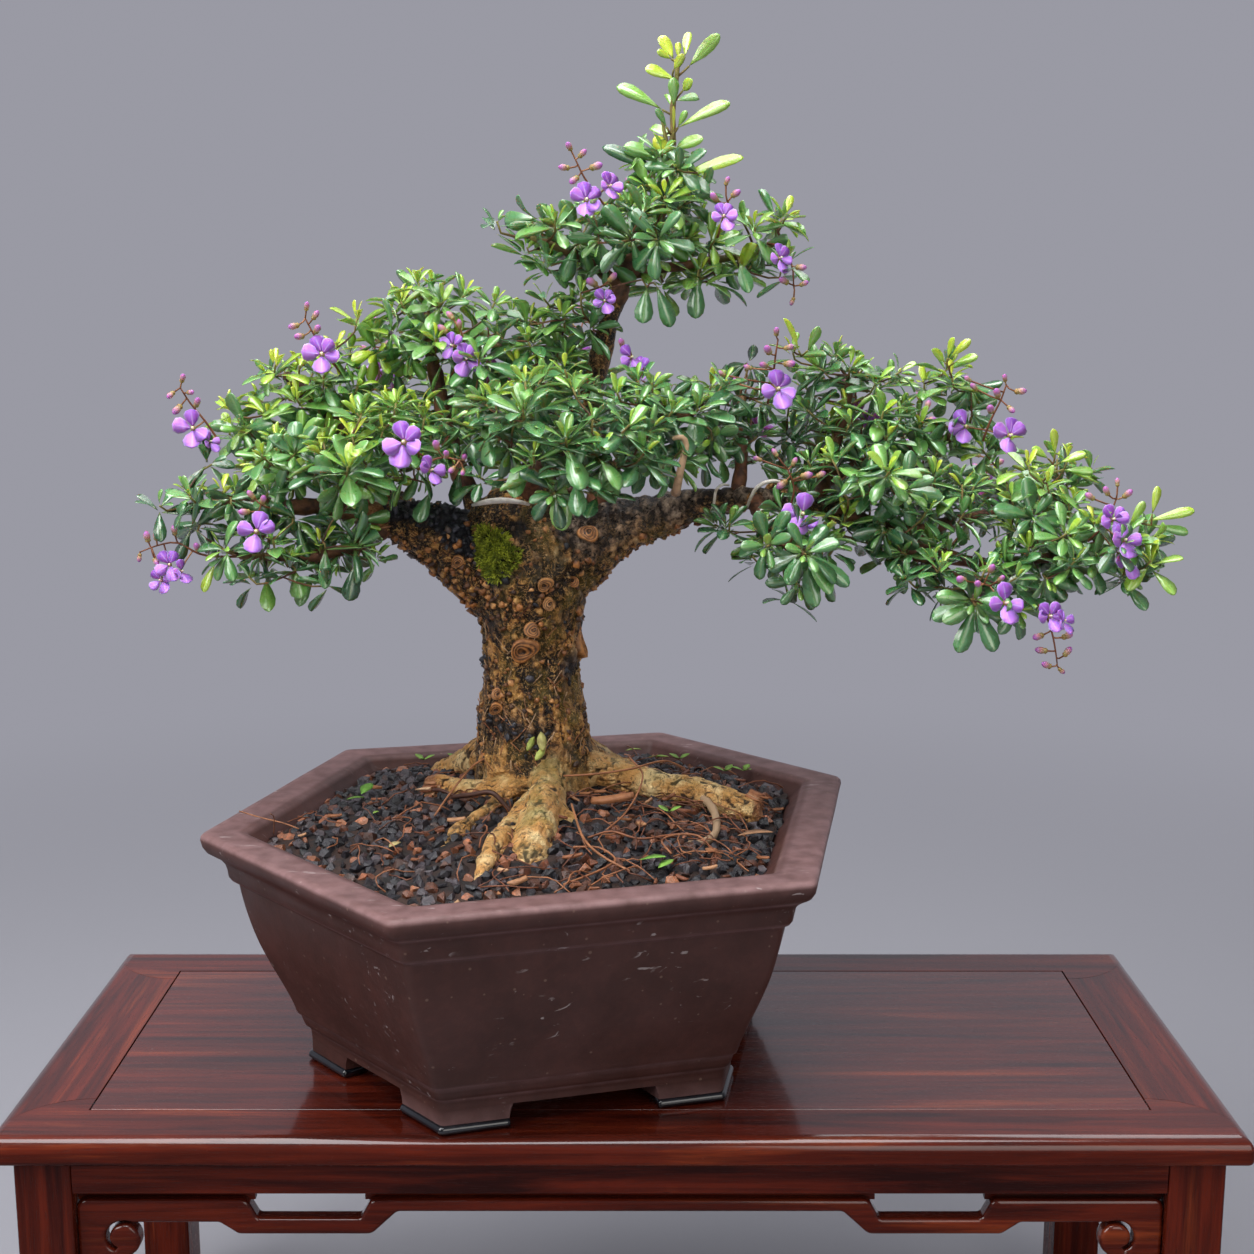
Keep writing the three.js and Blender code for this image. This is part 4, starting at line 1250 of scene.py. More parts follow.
@dataclass
class DisplayStand:
    """The rosewood stand: a framed top, legs, aprons and openwork spandrels."""

    half_length: float = 266.0
    half_depth: float = 110.0
    top: float = 190.0
    top_round: float = 6.0
    under_round: float = 2.4
    corner: float = 2.5
    fret_thickness: float = 8.5
    fret_round: float = 1.9
    fret_z: float = 164.7
    woods: dict[Grain, bpy.types.Material] = field(default_factory=dict)

    def build(self) -> None:
        """Makes and dresses every member."""
        self.woods = {grain: Rosewood(grain).material() for grain in Grain}
        for side in ("front", "back"):
            self._plain(f"apron_{side}", Grain.ALONG_X, 0.5)
            self._fret(f"spandrel_{side}", 231.7, True, side == "front")
        for side in ("left", "right"):
            self._plain(f"apron_{side}", Grain.ALONG_Y, 0.5)
            self._fret(f"spandrel_{side}", 79.7, False, side == "right")
            self._plain(f"panel_batten_{side}", Grain.ALONG_Y, 1.0)
            for end in ("front", "back"):
                self._plain(f"leg_{end}_{side}", Grain.ALONG_Z, 1.0)
        for side in ("front", "back", "left", "right"):
            self._top_member(f"top_rail_{side}", Grain.ALONG_X if side in ("front", "back") else Grain.ALONG_Y)
        self.woods = {Grain.ALONG_X: Rosewood(Grain.ALONG_X, gloss=0.36).material()}
        self._plain("top_panel", Grain.ALONG_X, 0.45)

    def _plain(self, node: str, grain: Grain, radius: float) -> None:
        """Makes a straight member with softened edges.

        Args:
            node: The CAD node it stands for.
            grain: The way of its grain.
            radius: The radius of its edges.
        """
        copy = merged_node(node)
        bmesh.ops.bevel(copy, geom=copy.edges[:], offset=radius * MM, segments=3, profile=0.5, affect="EDGES")
        self._finish(copy, node, grain)

    def _finish(self, shape: bmesh.types.BMesh, node: str, grain: Grain) -> None:
        """Turns a shape in metres into the finished piece of that node."""
        bmesh.ops.recalc_face_normals(shape, faces=shape.faces)
        made = from_bmesh("stand_" + node, shape)
        shade_smooth(made, 38)
        made.modifiers.new("flats", "WEIGHTED_NORMAL").keep_sharp = True
        hand_in(rebuilt(made), "rosewood", self.woods[grain], node)

    def _top_member(self, node: str, grain: Grain) -> None:
        """Makes a rail of the top, its outer edges rounded over.

        Args:
            node: The CAD node it stands for.
            grain: The way of its grain.
        """
        shape = merged_node(node)
        bmesh.ops.scale(shape, vec=(1 / MM,) * 3, verts=shape.verts)
        cuts = [self.top_round * (1 - math.sin(math.radians(a))) for a in (78, 64, 50, 36, 18, 0)]
        for cut in cuts:
            for axis, half in ((0, self.half_length), (1, self.half_depth)):
                for side in (-1, 1):
                    normal = [0.0, 0.0, 0.0]
                    normal[axis] = float(side)
                    place = [n * (half - cut) for n in normal]
                    geometry = [*shape.verts, *shape.edges, *shape.faces]
                    bmesh.ops.bisect_plane(shape, geom=geometry, plane_co=place, plane_no=normal, dist=1e-4)
        for vert in shape.verts:
            x, y, z = vert.co
            inset = min(self.half_length - abs(x), self.half_depth - abs(y))
            upper = z > self.top - 6
            radius = self.top_round if upper else self.under_round
            if inset < radius:
                drop = radius - math.sqrt(radius**2 - (radius - max(inset, 0.0)) ** 2)
                vert.co.z += -drop if upper else drop
            over_x = max(abs(x) - (self.half_length - self.corner), 0.0)
            over_y = max(abs(y) - (self.half_depth - self.corner), 0.0)
            if over_x > 0 and over_y > 0:
                share = max(over_x, over_y) / math.hypot(over_x, over_y)
                vert.co.x -= math.copysign(over_x * (1 - share), x)
                vert.co.y -= math.copysign(over_y * (1 - share), y)
        bmesh.ops.scale(shape, vec=(MM,) * 3, verts=shape.verts)
        self._finish(shape, node, grain)

    def _fret_outline(self, half: float, windows: bool) -> list[tuple[float, float]]:
        """Draws a spandrel in its own plane, x along the rail and y up from the rail's underside.

        Args:
            half: Half of its length.
            windows: Whether it has the two stepped windows.

        Returns:
            The outline.
        """
        scroll_x, scroll_y = half - 18.7, -25.6
        upper, lower = [], []
        if windows:
            upper = [(106.0, -6.4, 4.5), (110.8, -15.2, 2.2), (154.4, -15.2, 2.2), (159.0, -6.4, 4.5)]
            lower = [(171.0, -17.2, 3.5), (163.0, -22.6, 4.5), (106.0, -22.6, 5.5), (95.0, -12.2, 4.0)]
        upper += [(half, -6.4, 5.0), (half, -46.0, 0.0), (half - 5.0, -46.0, 1.5)]
        right = rounded([(0.0, -6.4, 0.0), *upper, (half - 22.0, -33.5, 0.0)])[: -1]

        def around(first: float, last: float, offset: float) -> list[tuple[float, float]]:
            """Returns points along the scroll's slot, whose radius shrinks inwards."""
            turns = np.radians(np.linspace(first, last, 16))
            radii = [8.8 - 4.0 * (120.0 - math.degrees(t)) / 175.0 + offset for t in turns]
            return [(scroll_x + r * math.cos(t), scroll_y + r * math.sin(t)) for t, r in zip(turns, radii)]

        outside = [
            (scroll_x + 7.8 * math.cos(t), scroll_y + 7.8 * math.sin(t))
            for t in np.radians(np.linspace(236, 130, 10))
        ]
        slot = around(120, -55, -0.8) + around(-55, 112, 0.8)
        under = rounded([(half - 24.0, -17.2, 0.0), *lower, (0.0, -12.2 if windows else -17.2, 0.0)])
        path = right + [(half - 13.0, -41.5), (half - 20.0, -36.5)] + outside + slot + under
        return path + [(-x, y) for x, y in path[::-1] if x > 0.0]

    def _fret(self, node: str, half: float, windows: bool, flip: bool) -> None:
        """Makes an openwork spandrel with beaded edges, and the recessed fillet that it hangs from.

        Args:
            node: The CAD node it stands for.
            half: Half of its length.
            windows: Whether it has the two stepped windows.
            flip: Whether its shown face looks towards -Y or +X.
        """
        curve = bpy.data.curves.new(node, "CURVE")
        curve.dimensions, curve.fill_mode = "2D", "BOTH"
        curve.extrude = (self.fret_thickness / 2 - self.fret_round) * MM
        curve.bevel_depth, curve.bevel_resolution = self.fret_round * MM, 2
        curve.offset = -self.fret_round * MM
        outline = self._fret_outline(half, windows)
        line = curve.splines.new("POLY")
        line.points.add(len(outline) - 1)
        for point, (x, y) in zip(line.points, outline):
            point.co = (x * MM, y * MM, 0.0, 1.0)
        line.use_cyclic_u = True
        flat = rebuilt(linked("fret_outline", curve))
        shape = bmesh.new()
        shape.from_mesh(flat.data)
        bpy.data.objects.remove(flat)
        bmesh.ops.remove_doubles(shape, verts=shape.verts, dist=1e-5)
        for low, high in [(-half, -156.0), (-109.0, 109.0), (156.0, half)] if windows else [(-half, half)]:
            grow = Matrix.Diagonal(((high - low) * MM, 8.4 * MM, (self.fret_thickness - 5.0) * MM, 1.0))
            place = Vector(((low + high) / 2, -4.2, -2.0 if flip else 2.0)) * MM
            bmesh.ops.create_cube(shape, size=1.0, matrix=Matrix.Translation(place) @ grow)
        middle = sum((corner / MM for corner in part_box(node)), Vector()) / 2
        turn = Matrix.Rotation(math.pi / 2, 4, "X")
        if not windows:
            turn = Matrix.Rotation(math.pi / 2, 4, "Z") @ turn
        shift = Matrix.Translation(Vector((middle.x, middle.y, self.fret_z)) * MM)
        bmesh.ops.transform(shape, matrix=shift @ turn, verts=shape.verts)
        self._finish(shape, node, Grain.ALONG_X if windows else Grain.ALONG_Y)


# ---- The pot ----


@dataclass
class HexagonPot:
    """The six-sided clay pot with its bracket feet, gloss pads and drain screens."""

    rim_corners: Sequence[tuple[float, float]] = (
        (155.0, 26.0), (89.0, 135.0), (-83.0, 134.0), (-156.5, -4.5), (-84.0, -137.0), (91.5, -127.0),
    )
    turn: float = 12.4
    place: tuple[float, float, float] = (-36.0, 0.0, 301.0)
    height: float = 111.0
    softness: float = 3.2
    base_inset: float = 41.0
    foot_wing: float = 29.0
    foot_wall: float = 13.0
    bracket: float = 9.0
    bracket_top: float = 95.7
    drain_reach: float = 55.0
    drain_radius: float = 11.0
    worn_lines: tuple[float, ...] = (10.6, 22.6, 88.0, 95.2)
    outside: Sequence[tuple[float, float]] = (
        (14.0, 0.25), (4.0, 0.0), (1.3, 0.2), (0.3, 1.2), (0.0, 2.8), (0.7, 6.0), (2.3, 8.6), (5.2, 10.6),
        (7.6, 12.3),
        (9.3, 14.6), (10.0, 17.5), (10.4, 20.6), (11.6, 22.4), (13.6, 23.2), (14.4, 24.6), (14.9, 28.0),
        (16.9, 38.0),
        (20.2, 50.0), (24.8, 62.0), (30.0, 74.0), (33.6, 83.0), (34.6, 86.4), (35.2, 87.6), (36.4, 88.4),
        (37.0, 90.5),
        (38.2, 93.8), (39.6, 95.0), (40.4, 96.6), (40.6, 100.0),
    )
    inside: Sequence[tuple[float, float]] = (
        (16.2, 0.4), (18.2, 1.2), (19.6, 3.0), (24.5, 7.5), (27.5, 12.5), (29.0, 25.0), (32.0, 50.0), (40.0, 75.0),
        (48.0, 90.0),
    )

    def build(self) -> None:
        """Makes and dresses the pot, its pads and its screens."""
        hand_in(self._body(), "clay", PurpleClay().material(), "pot")
        gloss = GlossPad().material()
        for number, side in enumerate(("right", "back_right", "back_left", "left", "front_left", "front_right")):
            node = f"foot_pad_{side}"
            hand_in(self._pad(number, node), "foot_gloss", gloss, node)
        mesh = DrainMesh(turn=-self.turn).material()
        for side in ("left", "right"):
            for slot in frame["nodes"][f"drain_screen_{side}"].material_slots:
                slot.material = mesh

    def corners(self, inset: float) -> list[Vector]:
        """Returns the hexagon's corners, every side moved in by `inset`, counter-clockwise."""
        outline = [Vector(corner) for corner in self.rim_corners]
        found = []
        for n, corner in enumerate(outline):
            before = (outline[n - 1] - corner).normalized()
            after = (outline[(n + 1) % 6] - corner).normalized()
            found.append(corner + (before + after) * inset / abs(before.cross(after)))
        return found

    def world(self, point: Vector, drop: float) -> Vector:
        """Returns a point of the pot's plan, `drop` below the rim, in the frame's axes."""
        cos, sin = math.cos(math.radians(self.turn)), math.sin(math.radians(self.turn))
        x, y = point.x * cos - point.y * sin, point.x * sin + point.y * cos
        return Vector((x + self.place[0], y + self.place[1], self.place[2] - drop))

    def _ring(self, inset: float, drop: float) -> list[Vector]:
        """Returns a ring of the pot's wall, its corners softened and its sides a little uneven."""
        corners, ring = self.corners(inset), []
        for n, corner in enumerate(corners):
            before = (corners[n - 1] - corner).normalized()
            after = corners[(n + 1) % 6] - corner
            length = after.length
            after = after.normalized()
            soft = self.softness
            ring += [corner + before * soft * (1 - k / 5) ** 2 + after * soft * (k / 5) ** 2 for k in range(6)]
            ring += [corner + after * (soft + (length - 2 * soft) * k / 13) for k in range(1, 13)]
        found = []
        for point in ring:
            spread = point.normalized() * 0.28 * ripple((point.x, point.y, drop * 1.5), 34.0)
            found.append(self.world(point + spread, drop))
        return found

    @staticmethod
    def _combined(bowl: bpy.types.Object, shell: Shell, operation: str, name: str) -> bpy.types.Object:
        """Joins a closed shell to the bowl, or cuts it away.

        Args:
            bowl: The bowl, which is removed.
            shell: The shell.
            operation: "UNION" or "DIFFERENCE".
            name: The new object's name.

        Returns:
            The new bowl.
        """
        other = shell.made("other")
        step = bowl.modifiers.new("step", "BOOLEAN")
        step.object, step.operation, step.solver = other, operation, "EXACT"
        bowl = rebuilt(bowl, name)
        bpy.data.objects.remove(other)
        return bowl

    def _body(self) -> bpy.types.Object:
        """Makes the bowl with its feet and drain holes."""
        out = smooth_rows([(inset, drop, 0.0) for inset, drop in self.outside], 2.2)
        inner = smooth_rows([(inset, drop, 0.0) for inset, drop in self.inside], 4.0)
        profile = [*out[::-1], *inner]
        rim = len(out)
        worn = []
        for k, (inset, drop, _) in enumerate(profile):
            outer = k < rim
            # The rim's rounded outer edge: wear and a painted highlight.
            edge = max(0.0, 1.0 - abs(drop - 0.9) / 2.2) if outer and k > rim - 14 and inset < 3 else 0.0
            lines = max((0.0, *(0.5 - abs(drop - line) / 2.4 for line in self.worn_lines))) if outer else 0.0
            inner_edge = 0.0 if outer else max(0.0, 0.45 - abs(drop - 1.0) / 3)
            # The rim's flat top is marked 0.55 all over: painted light from above.
            worn.append(max(edge, lines, inner_edge, 0.55 if outer and drop < 1.4 and inset > 1 else 0.0))
        shell = Shell()
        scuffed = [1.0 if k < rim else 0.2 for k in range(len(profile))]
        shell.rings([self._ring(inset, drop) for inset, drop, _ in profile], worn=worn, scuffed=scuffed)
        bowl = shell.made("pot_bowl")
        turns = np.linspace(0, 2 * math.pi, 28, endpoint=False)
        for side in (-1, 1):
            x, y, _ = self.world(Vector((side * self.drain_reach, 0.0)), 0.0)
            hole, radius = Shell(), self.drain_radius
            round_hole = [(x + radius * math.cos(t), y + radius * math.sin(t)) for t in turns]
            hole.rings([[(*point, z) for point in round_hole] for z in (192.0, 216.0)])
            bowl = self._combined(bowl, hole, "DIFFERENCE", "pot_bowl")
        bowl = self._combined(bowl, self._skirt(), "UNION", "clay_pot")
        shade_smooth(bowl, 50)
        return bowl

    def _skirt(self) -> Shell:
        """Makes the wall of the feet, cut away between them in hollow brackets."""
        bottom = self.height - 4.3
        rings: list[list[Vector]] = [[], [], [], []]
        outer, inner = self.corners(self.base_inset), self.corners(self.base_inset + self.foot_wall)
        wing, top = self.foot_wing, self.bracket_top
        curve = [wing + out for out in (-0.05, 0.02, 0.25, 0.9, 2.0, 3.6, 5.6, self.bracket)]
        for n in range(6):
            a, b = outer[n], outer[(n + 1) % 6]
            c, d = inner[n], inner[(n + 1) % 6]
            length = (b - a).length
            near = [1.2, 12.0, *curve]
            for reach in [*near, length / 2, *(length - r for r in near[::-1])]:
                close = min(reach, length - reach)
                drop = bottom
                if close > wing + 0.02:
                    u = min(1.0, (close - wing) / self.bracket)
                    drop = top + (bottom - top) * (1 - math.sqrt(1 - (1 - u) ** 2))
                lean, back = a.lerp(b, reach / length), c.lerp(d, reach / length)
                root = 93.0 if close > wing + 6 else 90.0
                for ring, point, depth in zip(rings, (lean, lean, back, back), (root, drop, drop, root)):
                    ring.append(self.world(point, depth))
        shell = Shell()
        shell.rings(rings[::-1], close=True, worn=[0.0, 0.15, 0.4, 0.0], scuffed=[1.0] * 4)
        return shell

    def _pad(self, number: int, name: str) -> bpy.types.Object:
        """Makes the bulging gloss pad under one foot."""
        shell = Shell()
        levels = [(0.0, -1.1), (0.35, -0.2), (1.3, 0.55), (2.4, 0.55), (3.4, 0.05), (3.9, -0.9)]
        rings = []
        for rise, out in levels:
            inset, wall = self.base_inset - 0.9 - out, self.foot_wall + 1.8 + 2 * out
            outer, inner = self.corners(inset), self.corners(inset + wall)
            corner = outer[number]
            before = (outer[number - 1] - corner).normalized()
            after = (outer[(number + 1) % 6] - corner).normalized()
            wing = self.foot_wing + 0.9 + out
            first, last = corner + before * wing, corner + after * wing
            outline = [
                (*corner, 2.4), (*last, 1.6), (*(last + Vector((-after.y, after.x)) * wall), 1.6),
                (*inner[number], 1.6), (*(first + Vector((before.y, -before.x)) * wall), 1.6), (*first, 1.6),
            ]
            rings.append([self.world(Vector(p), self.height - 0.3 - rise) for p in rounded(outline, 4)])
        shell.rings(rings)
        return shell.made(name + "_gloss")


# ---- The soil ----


@dataclass
class GrowingMedium:
    """The soil bed with its granules, rootlets and litter."""

    grain_spacing: float = 3.9
    rootlets: int = 120
    seed: int = 11

    def build(self) -> None:
        """Makes and dresses the bed and everything that lies on it."""
        bed = self._bed()
        self.tree = BVHTree.FromObject(bed, bpy.context.evaluated_depsgraph_get())
        strewing = linked("granule_bed", bed.data.copy())
        hand_in(bed, "soil", SoilBed().material(), "soil")
        random = Random(self.seed)
        granules = strewn(
            "soil_granules", strewing, [stone(random, random.uniform(0.62, 0.95)) for _ in range(7)],
            Granules().material(), smooth=False, spacing=self.grain_spacing, density=130000.0,
            smallest=5.0, largest=8.4, seed=4, tumble=1.2,
        )
        hand_in(granules, "soil", None)
        litter = Litter().material()
        hand_in(self._rootlets(random), "soil", litter)
        hand_in(self._litter(random, litter), "soil", None)

    def _bed(self) -> bpy.types.Object:
        """Makes the bed from the CAD soil, its top finer and uneven."""
        shape = merged_node("soil")
        bmesh.ops.triangulate(shape, faces=shape.faces)
        for _ in range(4):
            long = [
                e
                for e in shape.edges if e.calc_length() > 7 * MM and all(f.normal.z > 0.6 for f in e.link_faces)
            ]
            bmesh.ops.subdivide_edges(shape, edges=long, cuts=1)
            bmesh.ops.triangulate(shape, faces=shape.faces)
        for vert in shape.verts:
            if all(f.normal.z > 0.5 for f in vert.link_faces):
                vert.co.z += (ripple(vert.co / MM, 12.0) * 1.3 - 0.7) * MM
        bed = from_bmesh("soil_bed", shape)
        note_values(bed, cover=[1.0 if n[2] > 0.4 else 0.0 for n in normals_of(bed)])
        return bed

    def height(self, x: float, y: float) -> float | None:
        """Returns the bed's height in millimetres at a place, or None beyond it."""
        hit = self.tree.ray_cast(Vector((x, y, 400.0)) * MM, -UP)[0]
        return hit.z / MM if hit else None

    def _rootlets(self, random: Random) -> bpy.types.Object:
        """Makes the fine red-brown rootlets that curl over the granules."""
        shell = Shell()
        made = 0
        while made < self.rootlets:
            x, y = random.uniform(-170, 105), random.uniform(-125, 125)
            if random.random() > (1.0 if y < 10 and x > -40 else 0.35):
                continue
            heading, bend = random.uniform(0, 2 * math.pi), random.uniform(-0.5, 0.5)
            length = random.choice((14.0, 20.0, 26.0, 38.0))
            lift = random.uniform(2.0, 5.0)
            rows = []
            for k in range(7):
                ground = self.height(x, y)
                if ground is None or ground < 285:
                    break
                arch = lift * math.sin(math.pi * k / 6) if length > 18 else lift * 0.5
                rows.append((x, y, ground + 2.0 + arch + random.uniform(-0.6, 0.6), random.uniform(0.24, 0.4)))
                heading += bend + random.uniform(-0.55, 0.55)
                x += math.cos(heading) * length / 6
                y += math.sin(heading) * length / 6
            if len(rows) < 4:
                continue
            shell.tube(smooth_rows(rows, 3.2), 4, tone=random.uniform(0.1, 0.42))
            made += 1
        thick = [
            (
                [(-23, -100, 3.5), (-13, -93, 5), (-5, -84, 4.5), (-2, -74, 3), (-9, -66, 3.5), (-20, -64, 3)], 0.5,
                0.36
            ),
            (
                [(4, -86, 3), (-6, -78, 5), (-13, -68, 5.5), (-17, -56, 6), (-20, -40, 8), (-22, -24, 12)], 0.55,
                0.42
            ),
            ([(28, -45, 3), (20, -52, 4.5), (8, -56, 4.2), (-4, -52, 5.2), (-14, -55, 3.5)], 0.5, 0.3),
            ([(-6, -46, 3.4), (2, -34, 6), (8, -20, 12), (10, -6, 17), (4, 6, 21)], 0.45, 0.36),
            ([(-26, -8, 15), (-12, -14, 18), (4, -8, 19), (20, 4, 21), (30, 16, 19)], 0.5, 0.4),
            (
                [
                    (-129, -93, 4), (-125, -88, 7.5), (-121, -93, 8), (-118, -102, 5.5), (-108, -108, 4.5),
                    (-98, -107, 3.5)
                ],
                0.6, 0.52
            ),
            ([(-174, -16, 13), (-163, -20, 11), (-153, -24, 7), (-145, -27, 4)], 0.3, 0.4),
            ([(-158, -19, 3), (-155, -32, 12), (-154, -44, 20)], 0.2, 0.4),
            ([(-84, -24, 2.5), (-78, -14, 9), (-70, 2, 15), (-64, 8, 22)], 0.5, 0.4),
            ([(40, -60, 3), (34, -52, 5), (24, -50, 4), (18, -58, 4.4), (22, -66, 3)], 0.5, 0.35),
            (
                [
                    (-78, -4, 4), (-68, -12, 7.5), (-58, -17, 9), (-48, -20, 9), (-40, -21, 9.5), (-30, -24, 8),
                    (-22, -26, 4)
                ],
                1.15, 0.0
            ),
            ([(-88, 8, 4), (-83, 0, 6), (-77, -5, 5)], 0.8, 0.02),
        ]
        for path, radius, tone in thick:
            rows = [(x, y, (self.height(x, y) or 292.0) + lift, radius) for x, y, lift in path]
            shell.tube(smooth_rows(rows, 2.5), 6, tone=tone)
        return shell.made("soil_rootlets")

    def _litter(self, random: Random, material: bpy.types.Material) -> bpy.types.Object:
        """Makes the fallen leaves, bark chips and seedlings at their places."""
        oval = [(0.08, 0.12), (0.3, 0.36), (0.55, 0.5), (0.8, 0.34), (0.94, 0.15)]
        chip = [(0.05, 0.35), (0.3, 0.5), (0.6, 0.46), (0.9, 0.4), (0.97, 0.3)]
        shapes = ShapeSet("litter_shape", [blade(oval, 0.12, 0.12, 0.03), blade(chip, -0.1, -0.1, 0.16)])
        spots = []


        def lay(
            x: float, y: float, long: float, wide: float, angle: float, tone: float, kind: int = 0,
            lift: float = 3.0, rise: float = 0.1,
        ) -> None:
            """Lays one piece of litter."""
            way = Vector((math.cos(math.radians(angle)), math.sin(math.radians(angle)), rise))
            ground = self.height(x, y)
            if ground is not None:
                place = Vector((x, y, ground + lift))
                spots.append(Spot(place, facing(way, UP), (wide, long, long * 0.6), kind, tone, 0.5))

        for piece in (
            (-168, -16, 19.0, 7.5, -24, 0.62, 0, 5.0), (-136, -66, 10.0, 5.0, -20, 0.64, 0, 4.0),
            (-100, -60, 8.0, 4.5, 60, 0.68),
            (8, -78, 12.0, 6.0, -10, 0.97, 0, 4.5, 0.25), (16, -84, 9.0, 5.5, 40, 0.95, 0, 4.0, 0.3),
            (-130, 14, 9.0, 3.0, 20, 0.95, 0, 4.5), (-123, 16, 9.0, 7.0, 60, 0.98, 0, 5.0, 0.5),
            (-158, -8, 5.0, 3.5, 90, 0.92, 0, 4.5, 0.7), (-112, -22, 4.0, 2.5, 60, 0.9, 0, 4.5),
            (52, -38, 17.0, 6.0, 12, 0.50, 0, 4.0),
            (38, -68, 8.0, 6.0, 70, 0.44, 0, 4.0), (-14, -12, 21.0, 5.5, -6, 0.40, 1, 4.5),
            (-22, -26, 9.0, 5.0, -70, 0.50, 1, 4.0),
            (-46, -102, 9.0, 6.0, 30, 0.48, 1, 4.0), (14, 96, 12.0, 2.2, -12, 0.88, 0, 4.0),
            (2, 120, 9.0, 2.0, 10, 0.86, 0, 4.0),
        ):
            lay(*piece)
        for x, y in ((62, 72), (52, 62), (-90, 100), (-102, 92), (-84, 90), (30, 88), (22, -24)):
            for turn in range(3):
                lay(x, y, 6.5, 4.0, turn * 120 + x, 0.93, lift=5.5, rise=0.45)
        for _ in range(70):
            x, y = random.uniform(-165, 100), random.uniform(-120, 120)
            long, wide = random.uniform(4, 10), random.uniform(1.6, 4.0)
            lay(x, y, long, wide, random.uniform(0, 360), random.uniform(0.15, 0.55), 1)
        made = shapes.copied("soil_litter", spots, material)
        shapes.dropped()
        return made
# ---- The tree ----


Rows = list[list[float]]


def ringed(profile: Sequence[tuple[float, float]], sides: int) -> list[list[tuple[float, float, float]]]:
    """Returns a ring about Y for each [distance along, radius] pair, which may go back and forth."""
    angles = [2 * math.pi * n / sides for n in range(sides)]
    return [[(-r * math.cos(a), y, r * math.sin(a)) for a in angles] for y, r in profile]


def merged(shell: Shell, shape: Shell, spot: Spot, **values: float) -> None:
    """Adds a turned and sized copy of a shape to a shell.

    Args:
        shell: The shell that grows.
        shape: The shape, one unit in size.
        spot: Its place, turn and size in millimetres.
        **values: Values besides the shape's own.
    """
    sized = np.asarray(shape.points) * np.asarray(spot.size)
    points = sized @ np.asarray(spot.turn).T + np.asarray(spot.place)
    shell.add(points, shape.faces, **shape.values, **values)


@dataclass
class Wood:
    """The finished surface of the thick wood and the centre lines that twigs may grow from."""

    surface: BVHTree
    skeleton: np.ndarray

    def on(self, start: Sequence[float], way: Sequence[float]) -> tuple[Vector, Vector] | None:
        """Returns the place and normal where a straight line first meets the wood."""
        place, normal, _, _ = self.surface.ray_cast(Vector(start) * MM, Vector(way).normalized())
        return (place / MM, normal) if place is not None else None

    def near(self, point: Sequence[float]) -> tuple[Vector, Vector]:
        """Returns the nearest place on the wood, with its normal."""
        place, normal, _, _ = self.surface.find_nearest(Vector(point) * MM)
        return place / MM, normal


